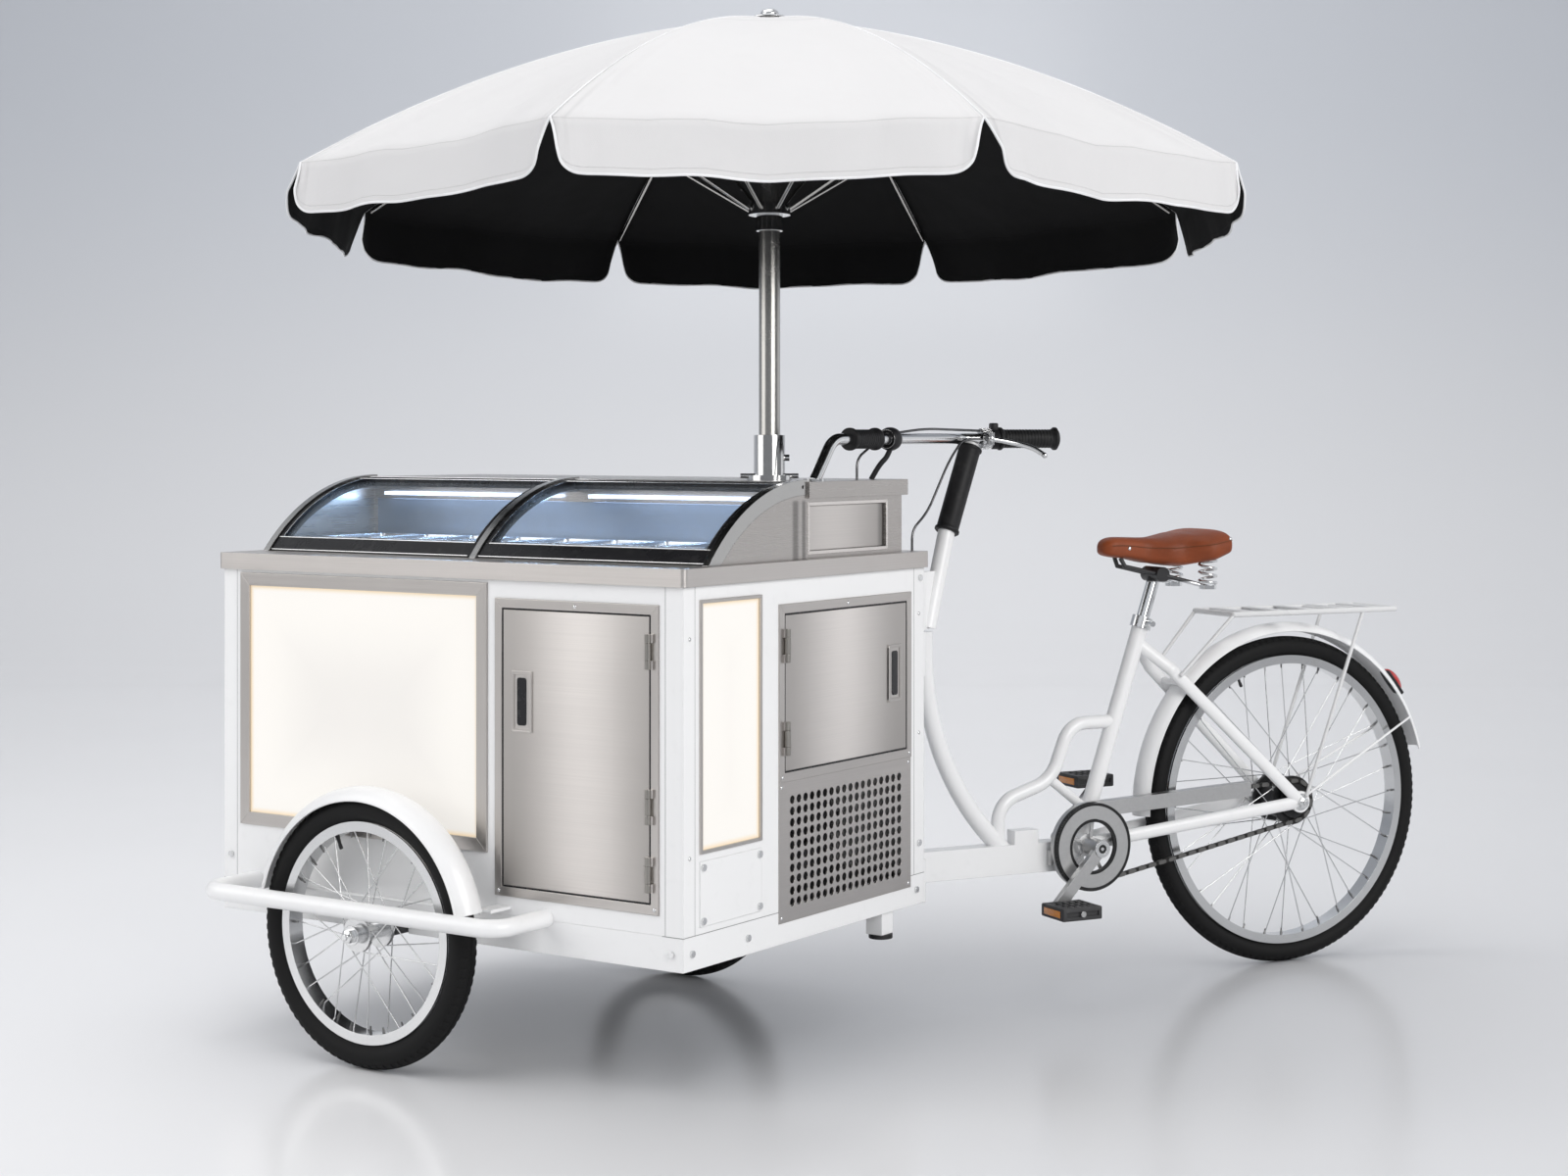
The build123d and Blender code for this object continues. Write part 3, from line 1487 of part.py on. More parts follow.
def rear_hub():
    """Hub shell with flanges, sprocket and bore, about the Y axis."""
    body = rod((0, -rear_hub_half, 0), (0, rear_hub_half, 0), rear_hub_body)
    for y in (-rear_hub_half, rear_hub_half):
        body += rod((0, y - hub_flange_thickness, 0), (0, y + hub_flange_thickness, 0),
                    rear_hub_flange)
    carrier = sprocket_y + sprocket_thickness
    body += rod((0, -carrier, 0), (0, rear_hub_half + 2 * hub_flange_thickness, 0), sprocket_carrier)
    body += rod((0, -sprocket_y - sprocket_thickness / 2, 0), (0, -sprocket_y + sprocket_thickness / 2, 0),
                2 * sprocket_radius)
    bore = rod((0, -2 * carrier, 0), (0, 2 * carrier, 0), rear_axle + 2 * running_gap)
    return body - bore


def rear_fender():
    sheet = fender_sheet(
        rear_fender_radius, fender_thickness, rear_fender_width, rear_fender_crown,
        rear_fender_start, rear_fender_end,
    )
    piece = Pos(rear_x, 0, rear_radius) * sheet
    mid = rear_fender_radius + fender_thickness / 2 - rear_fender_crown
    angle = radians(rear_fender_start + rear_fender_stay_turn)
    for side in (-1, 1):
        edge = side * rear_fender_width / 2
        foot = (rear_x + mid * cos(angle), edge, rear_radius + mid * sin(angle))
        inside = stay_spread - dropout_thickness / 2 - fender_stay / 2 - running_gap
        start = (rear_x, side * inside, rear_radius)
        away = Vector(*foot) - Vector(*start)
        near = Vector(*start) + away.normalized() * (rear_axle / 2 + fender_stay)
        piece += rod(near, foot, fender_stay)
    return piece


def luggage_rack():
    half = rack_width / 2
    z = rack_height
    rack = rod((rack_start, -half, z), (rack_end, -half, z), rack_tube)
    rack += rod((rack_start, half, z), (rack_end, half, z), rack_tube)
    for x in (rack_start, rack_end):
        rack += rod((x, -half, z), (x, half, z), rack_tube)
        for y in (-half, half):
            rack += Pos(x, y, z) * Sphere(rack_tube / 2)
    for index in range(1, rack_slats + 1):
        x = rack_start + (rack_end - rack_start) * index / (rack_slats + 1)
        rack += rod((x, -half, z), (x, half, z), rack_slat)
    leg_x = rack_end - rack_leg_inset
    outside = stay_spread + dropout_thickness / 2
    for side in (-1, 1):
        foot = (rear_x + dropout_size / 4, side * (outside + rack_slat / 2), rear_radius + dropout_size / 4)
        rack += rod((leg_x, side * half, z), foot, rack_slat)
        away = stay_place(rack_strut_share)
        side_y = side * (stay_offset(away.X) + stay_tube / 2 + rack_slat / 2)
        rack += rod((rack_start, side * half, z), (away.X, side_y, away.Z), rack_slat)
    return rack


def stay_place(share):
    """Point along a seat stay in the frame's plane."""
    top = stay_top()
    return top + (Vector(rear_x, 0, rear_radius) - top) * share


def tail_light():
    radius = rear_fender_radius + fender_thickness + running_gap
    place = Pos(rear_x, 0, rear_radius) * Rot(0, -light_angle, 0)
    depth = (radius - light_depth / 2, radius + light_depth)
    lamp = block(depth, (-light_width / 2, light_width / 2), (-light_length / 2, light_length / 2))
    lamp = fillet(lamp.edges().filter_by(Axis.X), light_width / 5)
    drum = fender_sheet(
        radius - light_depth, light_depth, rear_fender_width, rear_fender_crown,
        -rear_fender_stay_turn, rear_fender_stay_turn,
    )
    return place * (lamp - drum)


# Saddle

def saddle_section(x, half, top, bottom):
    """Cross-section of the saddle at a place along it: flat below, crowned above."""

    def at(form, side):
        return (side * form[0] * half, bottom + form[1] * (top - bottom))

    lines = Line((-half, bottom), (half, bottom))
    lines += ThreePointArc((half, bottom), at(saddle_flank, 1), at(saddle_shoulder, 1))
    lines += ThreePointArc(at(saddle_shoulder, 1), at(saddle_brow, 1), (0, top))
    lines += ThreePointArc((0, top), at(saddle_brow, -1), at(saddle_shoulder, -1))
    lines += ThreePointArc(at(saddle_shoulder, -1), at(saddle_flank, -1), (-half, bottom))
    plane = Plane(origin=(x, 0, 0), x_dir=(0, 1, 0), z_dir=(1, 0, 0))
    return plane * make_face(lines)


def saddle():
    front = saddle_centre - saddle_length / 2
    sections = []
    for share, wide, high, low in saddle_form:
        x = front + share * saddle_length
        top = saddle_base + high * saddle_height
        sections.append(saddle_section(x, wide * saddle_width / 2, top, saddle_base + low * saddle_height))
    return loft(sections)


def biarc(start, start_way, end, end_way):
    """Two arcs that leave one point and reach another along given directions."""
    chord = end - start
    both = start_way + end_way
    square = 2 * (start_way.dot(end_way) - 1)
    linear = -2 * chord.dot(both)
    length = (-linear - sqrt(linear**2 - 4 * square * chord.dot(chord))) / (2 * square)
    if length < 0:
        length = (-linear + sqrt(linear**2 - 4 * square * chord.dot(chord))) / (2 * square)
    first = start + start_way * length
    second = end - end_way * length
    middle = (first + second) / 2
    way = (second - first).normalized()
    return [TangentArc(start, middle, tangent=start_way), TangentArc(middle, end, tangent=way)]


def coil(radius, turns, height, wire):
    """Spring about the Z axis from Z = 0, and its least gap between neighbouring turns."""
    pitch = height / turns
    steps = int(round(4 * turns))

    def place(step):
        angle = step * pi / 2
        return Vector(radius * cos(angle), radius * sin(angle), pitch * step / 4)

    def way(step):
        angle = step * pi / 2
        return Vector(-radius * sin(angle), radius * cos(angle), pitch / (2 * pi)).normalized()

    arcs = []
    for step in range(steps):
        arcs += biarc(place(step), way(step), place(step + 1), way(step + 1))
    path = Wire(arcs)
    section = Plane(origin=place(0), z_dir=way(0)) * Circle(wire / 2)
    samples = [path @ (index / coil_samples) for index in range(coil_samples + 1)]
    half_turn = int(coil_samples / turns / 2)
    gaps = [
        (samples[first] - samples[second]).length - wire
        for first in range(coil_samples + 1)
        for second in range(first + half_turn, coil_samples + 1)
    ]
    print(f"saddle spring: wire length {path.length:.1f} mm, least gap between turns {min(gaps):.2f} mm")
    return sweep(section, path=path)


def saddle_springs():
    top = spring_seat - spring_wire / 2 - running_gap
    spring = coil(spring_diameter / 2, spring_turns, spring_height - spring_wire, spring_wire)
    low = top - spring_height + spring_wire
    return group(*[Pos(spring_x, side * spring_spread, low) * spring for side in (-1, 1)])


def seat_post():
    top = seat_point(post_above)
    post = rod(seat_point(-post_inside), top, post_diameter)
    rail_z = saddle_base - rail_wire
    reach = seat_clamp_width / 2
    post += rod((top.X, -reach, top.Z), (top.X, reach, top.Z), seat_clamp)
    low = spring_seat - spring_height - running_gap
    front = saddle_centre - saddle_length / 2 + rail_nose_back
    for side in (-1, 1):
        rail = [
            (front, side * rail_spread_saddle / 4, saddle_base - running_gap),
            (front + rail_wire, side * rail_spread_saddle / 3, rail_z - rail_wire),
            (top.X, side * rail_spread_saddle / 2, top.Z),
            (spring_x, side * spring_spread, low - rail_wire / 2),
        ]
        for start, end in zip(rail, rail[1:]):
            post += rod(start, end, rail_wire) + Pos(*end) * Sphere(rail_wire / 2)
        cup = (spring_x, side * spring_spread)
        post += rod((*cup, low - rail_wire), (*cup, low - running_gap), spring_diameter)
    trim = Box(2 * saddle_length, saddle_width, 2 * saddle_height)
    return post - Pos(saddle_centre, 0, saddle_base + saddle_height) * trim


def seat_collar():
    start = seat_point(-collar_height)
    collar = rod(start, seat_point(0), collar_diameter) - rod(start, seat_point(0), seat_tube)
    knob = seat_point(-collar_height / 2)
    wall = (collar_diameter - running_gap) / 2
    collar += rod(knob - Vector(0, wall, 0), knob - Vector(0, collar_diameter, 0), bolt_head)
    return collar


# Crank drive

def crank_point(angle, reach):
    """Point in the frame's plane at an angle and distance from the crank axle."""
    return Vector(crank_x + reach * cos(radians(angle)), 0, crank_z + reach * sin(radians(angle)))


def crankset():
    """Axle, two arms, pedal axles and the chainring; the chain side is local -Y."""
    arm_end = crank_arm_y + crank_arm_thickness
    crank = rod((crank_x, -arm_end, crank_z), (crank_x, arm_end, crank_z), crank_axle)
    for side, angle in ((-1, crank_angle), (1, crank_angle + 180)):
        tip = crank_point(angle, crank_length)
        y = sorted((side * crank_arm_y, side * arm_end))
        arm_plane = Plane(origin=(0, y[1], 0), x_dir=(1, 0, 0), z_dir=(0, -1, 0))
        centre = crank_point(angle, crank_length / 2)
        slot = Rot(0, 0, angle) * SlotCenterToCenter(crank_length, crank_arm_width)
        slot = Pos(centre.X, centre.Z) * slot
        crank += extrude(arm_plane * slot, amount=crank_arm_thickness)
        outer = side * (arm_end + pedal_gap + pedal_width + pedal_gap)
        crank += rod((tip.X, side * crank_arm_y, tip.Z), (tip.X, outer, tip.Z), pedal_axle)
    band = ring(chainring_radius, chainring_radius - chainring_band, chainring_thickness)
    wheel = Pos(crank_x, -chainring_y, crank_z) * band
    for index in range(chainring_arms):
        angle = crank_angle + index * 360 / chainring_arms
        end = crank_point(angle, chainring_radius - chainring_band / 2)
        spoke = rod((crank_x, -chainring_y, crank_z), (end.X, -chainring_y, end.Z), 2 * chainring_thickness)
        wheel += spoke
    thin = block((crank_x - crank_length, crank_x + crank_length),
                 (-chainring_y - chainring_thickness / 2, -chainring_y + chainring_thickness / 2),
                 (crank_z - crank_length, crank_z + crank_length))
    spider = rod((crank_x, -arm_end, crank_z), (crank_x, -chainring_y, crank_z), 2 * crank_axle)
    return crank + (wheel & thin) + spider


def pedal(side):
    angle = crank_angle if side < 0 else crank_angle + 180
    tip = crank_point(angle, crank_length)
    inner = crank_arm_y + crank_arm_thickness + pedal_gap
    y = sorted((side * inner, side * (inner + pedal_width)))
    body = block(grown((tip.X, tip.X), pedal_length / 2), y, grown((tip.Z, tip.Z), pedal_height / 2))
    body = fillet(body.edges().filter_by(Axis.Y), pedal_height / 5)
    bore = rod((tip.X, y[0], tip.Z), (tip.X, y[1], tip.Z), pedal_axle + 2 * running_gap)
    return body - bore


def belt_outline(front, rear):
    """Closed outline round the chainring and the sprocket at two radii."""
    away = Vector(rear_x - crank_x, rear_radius - crank_z)
    tilt = degrees(atan2(away.Y, away.X))
    turn = degrees(atan2(front - rear, sqrt(away.length**2 - (front - rear) ** 2)))

    def at(centre, radius, angle):
        return (centre[0] + radius * cos(radians(angle)), centre[1] + radius * sin(radians(angle)))

    ring_centre = (crank_x, crank_z)
    hub_centre = (rear_x, rear_radius)
    up = tilt + 90 - turn
    down = tilt - 90 + turn
    lines = Line(at(ring_centre, front, up), at(hub_centre, rear, up))
    lines += ThreePointArc(at(hub_centre, rear, up), at(hub_centre, rear, tilt), at(hub_centre, rear, down))
    lines += Line(at(hub_centre, rear, down), at(ring_centre, front, down))
    back = tilt + 180
    ring_ends = (at(ring_centre, front, down), at(ring_centre, front, up))
    lines += ThreePointArc(ring_ends[0], at(ring_centre, front, back), ring_ends[1])
    return make_face(lines)


def drive_chain():
    plane = Plane(origin=(0, -chainring_y + chain_width / 2, 0), x_dir=(1, 0, 0), z_dir=(0, -1, 0))
    inner = belt_outline(chainring_radius + chain_gap, sprocket_radius + chain_gap)
    outer = belt_outline(
        chainring_radius + chain_gap + chain_height, sprocket_radius + chain_gap + chain_height
    )
    return extrude(plane * outer, amount=chain_width) - extrude(plane * inner, amount=chain_width)


def chain_guard():
    """Disc with a window over the chainring, and an arm over the upper run of the chain."""
    place = Pos(crank_x, -guard_y, crank_z)
    disc = place * ring(guard_disc_radius, guard_window, guard_sheet)
    slope = degrees(atan2(rear_radius - crank_z, rear_x - crank_x))
    arm = block((0, guard_arm_length), (-guard_sheet / 2, guard_sheet / 2),
                (guard_disc_radius - guard_arm_height, guard_disc_radius))
    arm += block((0, guard_arm_length), (-guard_sheet / 2, guard_lip),
                 (guard_disc_radius - guard_sheet, guard_disc_radius))
    lean = slope - degrees(atan2(chainring_radius - sprocket_radius, rear_x - crank_x))
    arm = place * Rot(0, -lean, 0) * arm
    lip = Pos(crank_x, -guard_y + guard_lip / 2, crank_z) * ring(
        guard_disc_radius, guard_disc_radius - guard_sheet, guard_lip
    )
    front = block((crank_x - guard_disc_radius, crank_x), (-guard_y, -guard_y + guard_lip),
                  (crank_z - guard_disc_radius, crank_z + guard_disc_radius))
    bracket_y = (-guard_y + guard_lip - guard_sheet, -beam_width / 2)
    foot_z = beam_bottom + beam_height / 4
    foot_x = crank_x - guard_disc_radius
    bracket = block((foot_x, foot_x + 2 * guard_sheet), bracket_y, (foot_z, foot_z + beam_height / 2))
    return disc + arm + (lip & front) + bracket


# The whole cart

def place_all(shapes, place):
    """The nodes' solids, moved to where they stand."""
    return {name: group(*[place * solid for solid in shape.solids()]) for name, shape in shapes.items()}


def front_wheel(side):
    """Nodes of one front wheel."""
    name = "left" if side > 0 else "right"
    place = front_place(side)
    return {
        f"{name}_front_tyre": place * tyre(front_radius, front_tyre),
        f"{name}_front_rim": place * spoked_rim(
            front_radius, front_tyre, front_spokes, front_hub_flange, front_flange_y()
        ),
        f"{name}_front_hub": place * front_hub(),
    }


left_span, right_span = lid_spans()
cart_pieces = {
    "chassis": chassis(),
    "bottom_skirt": bottom_skirt(),
    "cabinet_shell": cabinet_shell(),
    "countertop": countertop(),
    "display_housing": display_housing(),
    "lid_arches": lid_arches(),
    "freezer_tub": freezer_tub(),
    "ice_cream_pans": ice_cream_pans(),
    "light_panels": light_panels(),
    "trim_frames": trim_frames(),
    "vent_grille": vent_grille(),
    "service_cover": service_cover(),
    "cooling_unit": cooling_unit(),
    "condenser_fan": condenser_fan(),
    "body_screws": body_screws(),
    "wheel_guards": wheel_guards(),
    "front_fenders": front_fenders(),
    "parking_foot": parking_foot(),
    "side_door": side_door(),
    "end_door": end_door(),
    "left_lid_frame": lid_frame(left_span),
    "left_lid_glass": lid_glass(left_span),
    "right_lid_frame": lid_frame(right_span),
    "right_lid_glass": lid_glass(right_span),
    "umbrella_socket": umbrella_socket(),
    "umbrella_pole": umbrella_pole(),
    "umbrella_hubs": umbrella_hubs(),
    "umbrella_ribs": umbrella_ribs(),
    "umbrella_stretchers": umbrella_stretchers(),
    "umbrella_canopy": umbrella_canopy(),
    "handlebar": handlebar(),
    "handlebar_stem": handlebar_stem(),
    "rubber_grips": rubber_grips(),
    "bar_controls": bar_controls(),
    "brake_lever": brake_lever(),
    "control_cables": control_cables(),
    "hinge_brackets": hinge_brackets(),
    **front_wheel(1),
    **front_wheel(-1),
}
bike_pieces = {
    "rear_frame": rear_frame(),
    "rear_fender": rear_fender(),
    "luggage_rack": luggage_rack(),
    "tail_light": tail_light(),
    "chain_guard": chain_guard(),
    "drive_chain": drive_chain(),
    "seat_collar": seat_collar(),
    "seat_post": seat_post(),
    "saddle": saddle(),
    "saddle_springs": saddle_springs(),
    "crankset": crankset(),
    "near_pedal": pedal(-1),
    "far_pedal": pedal(1),
    "rear_tyre": Pos(rear_x, 0, rear_radius) * tyre(rear_radius, rear_tyre),
    "rear_rim": Pos(rear_x, 0, rear_radius) * spoked_rim(
        rear_radius, rear_tyre, rear_spokes, rear_hub_flange, rear_hub_half
    ),
    "rear_hub": Pos(rear_x, 0, rear_radius) * rear_hub(),
}

CART = Pos(cart_x, cart_y, 0)
nodes = place_all(cart_pieces, CART)
nodes.update(place_all(bike_pieces, CART * BIKE))

os.makedirs("parts", exist_ok=True)
for name, shape in nodes.items():
    export_step(shape, f"parts/{name}.step")
box = group(*nodes.values()).bounding_box()
print(f"{len(nodes)} nodes, box from {box.min} to {box.max}")
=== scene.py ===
"""Looks of an ice cream cart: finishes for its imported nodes, and the pieces that its solids leave plain."""
import logging
import math
from contextlib import contextmanager
from dataclasses import dataclass
from enum import Enum
from typing import Callable, Iterable, Iterator, Optional, Sequence, Union

import bmesh
import bpy
from mathutils import Matrix, Vector


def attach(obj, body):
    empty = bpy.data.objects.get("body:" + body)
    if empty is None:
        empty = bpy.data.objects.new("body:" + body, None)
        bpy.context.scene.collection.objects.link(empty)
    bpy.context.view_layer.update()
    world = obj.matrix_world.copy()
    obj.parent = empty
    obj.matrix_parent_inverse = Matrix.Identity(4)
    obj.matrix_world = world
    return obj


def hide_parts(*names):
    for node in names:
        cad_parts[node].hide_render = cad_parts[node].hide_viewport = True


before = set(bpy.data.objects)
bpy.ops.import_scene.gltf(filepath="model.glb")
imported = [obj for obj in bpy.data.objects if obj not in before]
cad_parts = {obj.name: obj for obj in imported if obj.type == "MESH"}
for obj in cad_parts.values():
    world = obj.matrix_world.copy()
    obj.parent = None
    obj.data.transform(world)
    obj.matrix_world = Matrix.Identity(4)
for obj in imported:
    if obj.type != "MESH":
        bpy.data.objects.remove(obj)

log = logging.getLogger("cart")

Colour = tuple[float, float, float, float]
Point = tuple[float, float, float]
Span = tuple[float, float]
Spans = tuple[Span, ...]
Corners = tuple[Point, Point]
Spot = Sequence[float]
Profile = Sequence[Span]
Material = bpy.types.Material
Piece = bpy.types.Object
Term = Union["Wire", float]
Tint = Union["Wire", Colour]

HALF_LENGTH, HALF_WIDTH = 0.544, 0.395
SKIRT_SEAM, COUNTER_SEAM = 0.288, 0.879
FRONT_AXLE_X, HALF_TRACK, REAR_AXLE_X = -0.092, 0.478, 0.93
SIDES = (-1.0, 1.0)


def rgb(red: float, green: float, blue: float) -> Colour:
    """An opaque colour."""
    return (red, green, blue, 1.0)


def shade(colour: Colour, share: float) -> Colour:
    """A colour made darker or lighter by a share."""
    return rgb(*(share * part for part in colour[:3]))


def lerp(start: float, end: float, share: float) -> float:
    """The value at a share of the way between two values."""
    return start + (end - start) * share


def smooth(table: Profile, at: float) -> float:
    """Reads a table of points as one soft curve.

    Args:
        table: Points (place, value) in rising order of place.
        at: Place to read.

    Returns:
        The value there, eased between the two nearest points.
    """
    for (low, first), (high, second) in zip(table, table[1:]):
        if at <= high:
            share = max(0.0, (at - low) / (high - low))
            return lerp(first, second, share * share * (3.0 - 2.0 * share))
    return table[-1][1]


def move(x: float, y: float, z: float) -> Matrix:
    """A move along the three axes."""
    return Matrix.Translation((x, y, z))


def spin(degrees: float, axis: str) -> Matrix:
    """A turn about an axis."""
    return Matrix.Rotation(math.radians(degrees), 4, axis)


def aimed(spot: Spot, out: Vector) -> Matrix:
    """A place with its Z axis along a direction."""
    return Matrix.Translation(spot) @ out.to_track_quat("Z", "Y").to_matrix().to_4x4()


def polar(angle: float, reach: float = 1.0) -> Vector:
    """The flat point at an angle in radians and a distance."""
    return Vector((math.cos(angle), math.sin(angle))) * reach


def wall(out: Point, reach: float) -> Matrix:
    """The frame of a wall of the cabinet: X to the right, Y up and Z out of it.

    Args:
        out: Direction out of the wall.
        reach: Distance of the wall from the cabinet's middle.

    Returns:
        The frame.
    """
    away, up = Vector(out), Vector((0.0, 0.0, 1.0))
    turn = Matrix((up.cross(away), up, away)).transposed().to_4x4()
    return CART @ Matrix.Translation(away * reach) @ turn


CART = move(-0.342, -0.448, 0.0)
BIKE = CART @ move(0.431, 0.511, 0.0) @ spin(60.0, "Z")
PARASOL = CART @ move(0.378, 0.107, 1.05) @ spin(33.9, "Z") @ spin(-2.5, "X")
SIDE_FACE, BACK_FACE = wall((0.0, -1.0, 0.0), HALF_WIDTH), wall((0.0, 1.0, 0.0), HALF_WIDTH)
END_FACE, FAR_FACE = wall((1.0, 0.0, 0.0), HALF_LENGTH), wall((-1.0, 0.0, 0.0), HALF_LENGTH)
AXLE_ALONG_Y = spin(-90.0, "X")


class Wire:
    """A shader socket whose arithmetic adds Math nodes."""

    def __init__(self, recipe: "Recipe", socket: bpy.types.NodeSocket) -> None:
        """Wraps one output socket of a recipe."""
        self.recipe = recipe
        self.socket = socket

    def math(self, operation: str, other: Term = 0.0, flipped: bool = False) -> "Wire":
        """Joins this socket and a value, which comes first when flipped, with one Math node."""
        first, second = (other, self) if flipped else (self, other)
        return self.recipe.add("ShaderNodeMath", {0: first, 1: second}, operation=operation)

    def __add__(self, other: Term) -> "Wire":
        """Sum."""
        return self.math("ADD", other)

    __radd__ = __add__

    def __sub__(self, other: Term) -> "Wire":
        """Difference."""
        return self.math("SUBTRACT", other)

    def __rsub__(self, other: float) -> "Wire":
        """Difference from a number."""
        return self.math("SUBTRACT", other, True)

    def __mul__(self, other: Term) -> "Wire":
        """Product."""
        return self.math("MULTIPLY", other)

    __rmul__ = __mul__

    def __abs__(self) -> "Wire":
        """Size without sign."""
        return self.math("ABSOLUTE")

    def sine(self) -> "Wire":
        """Sine of the value."""
        return self.math("SINE")

    def least(self, other: Term) -> "Wire":
        """The smaller of two values."""
        return self.math("MINIMUM", other)

    def most(self, other: Term) -> "Wire":
        """The larger of two values."""
        return self.math("MAXIMUM", other)

    def within(self, span: Span) -> "Wire":
        """Distance inside the nearer end of a span."""
        return (self - span[0]).least(span[1] - self)

    def step(self, low: float, high: float) -> "Wire":
        """A soft step from 0 at a low value to 1 at a high one."""
        values = {"Value": self, "From Min": low, "From Max": high}
        return self.recipe.add("ShaderNodeMapRange", values, interpolation_type="SMOOTHSTEP")


class Recipe:
    """A material under way: its Principled shader and the nodes that feed it."""

    def __init__(self, name: str) -> None:
        """Starts an empty material with that name."""
        self.material = bpy.data.materials.new(name)
        self.material.use_nodes = True
        self.tree = self.material.node_tree
        self.tree.nodes.clear()
        self.shader = self.tree.nodes.new("ShaderNodeBsdfPrincipled")
        output = self.tree.nodes.new("ShaderNodeOutputMaterial")
        self.tree.links.new(self.shader.outputs[0], output.inputs[0])
        self.point = self.add("ShaderNodeTexCoord", {}, "Object")

    def add(self, kind: str, inputs: dict, output: Union[int, str] = 0, **settings: object) -> Wire:
        """Adds one node.

        Args:
            kind: The node's type.
            inputs: Values or wires of its sockets, by name or number.
            output: The socket to hand on.
            settings: The node's properties, set first.

        Returns:
            That output.
        """
        node = self.tree.nodes.new(kind)
        for name, value in settings.items():
            setattr(node, name, value)
        self.feed(node, inputs)
        return Wire(self, node.outputs[output])

    def feed(self, node: bpy.types.Node, inputs: dict) -> None:
        """Links or sets a node's sockets.

        Args:
            node: The node.
            inputs: Values or wires by socket name or number.
        """
        for key, value in inputs.items():
            if isinstance(value, Wire):
                self.tree.links.new(value.socket, node.inputs[key])
            else:
                node.inputs[key].default_value = value

    def axes(self, vector: Optional[Wire] = None) -> tuple[Wire, Wire, Wire]:
        """The three coordinates of a vector, or of the point in metres."""
        parts = self.add("ShaderNodeSeparateXYZ", {0: vector or self.point}).socket.node
        return tuple(Wire(self, parts.outputs[index]) for index in range(3))

    def mapped(self, vector: Wire, stretch: Point, turn: float = 0.0) -> Wire:
        """A vector scaled, and turned about Z by some radians."""
        return self.add(
            "ShaderNodeMapping", {"Vector": vector, "Scale": stretch, "Rotation": (0.0, 0.0, turn)}
        )

    def noise(self, scale: float, detail: float, vector: Optional[Wire] = None) -> Wire:
        """Noise about 0.5 of a fineness per metre and some finer layers, by the point or a vector."""
        values = {"Vector": vector or self.point, "Scale": scale, "Detail": detail}
        return self.add("ShaderNodeTexNoise", values)

    def streaks(self, scale: float, detail: float, stretch: Point) -> Wire:
        """Noise with its own scale on each axis."""
        return self.noise(scale, detail, self.mapped(self.point, stretch))

    def blend(self, share: Term, first: Tint, second: Tint) -> Wire:
        """Mixes two colours: the first at a share of 0, the second at 1."""
        return self.add("ShaderNodeMix", {0: share, 6: first, 7: second}, 2, data_type="RGBA")

    def relief(self, height: Wire, depth: float, edge: float = 0.0) -> Wire:
        """A bumped normal, with the sharp edges of the solid eased.

        Args:
            height: Height, from 0 to 1.
            depth: What a height of 1 is in metres.
            edge: Radius that edges seem to have.

        Returns:
            The normal.
        """
        values = {"Height": height, "Distance": depth, "Strength": 1.0}
        if edge:
            values["Normal"] = self.add("ShaderNodeBevel", {"Radius": edge}, samples=4)
        return self.add("ShaderNodeBump", values)

    def surface(self, inputs: dict) -> Material:
        """Feeds the Principled shader's sockets and gives the finished material."""
        self.feed(self.shader, inputs)
        return self.material


class Brush(Enum):
    """Direction of a metal's brush marks, as the scale of the marks on each axis."""

    LEVEL = (4.0, 4.0, 620.0)
    UPRIGHT = (620.0, 620.0, 4.0)
    ALONG_X = (3.0, 520.0, 520.0)
    ALONG_Y = (520.0, 3.0, 520.0)
    FINE = (160.0, 160.0, 160.0)


@dataclass(frozen=True)
class Finish:
    """What every finish has: a name and a main colour."""

    name: str
    colour: Colour

    def tone(self, share: float) -> Colour:
        """The main colour made darker or lighter by a share."""
        return shade(self.colour, share)

    def sockets(self, mix: Recipe) -> dict:
        """What the shader's sockets get."""
        raise NotImplementedError

    def make(self) -> Material:
        """Builds the material."""
        mix = Recipe(self.name)
        return mix.surface(self.sockets(mix))


@dataclass(frozen=True)
class GlossPaint(Finish):
    """Sprayed paint with a faint orange peel, a little dust and eased edges."""

    roughness: float = 0.26
    edge: float = 0.0022

    def sockets(self, mix: Recipe) -> dict:
        """What the shader's sockets get."""
        cloud = mix.noise(2.6, 4.0)
        peel = mix.noise(310.0, 1.0)
        dust = mix.noise(46.0, 6.0).step(0.56, 0.8)
        base = mix.blend(cloud, self.tone(0.965), self.colour)
        base = mix.blend(0.25 * dust, base, self.tone(0.86))
        return {
            "Base Color": base,
            "Roughness": self.roughness + 0.1 * cloud + 0.16 * dust,
            "Coat Weight": 0.25,
            "Coat Roughness": 0.1,
            "Normal": mix.relief(peel, 0.00008, self.edge),
        }


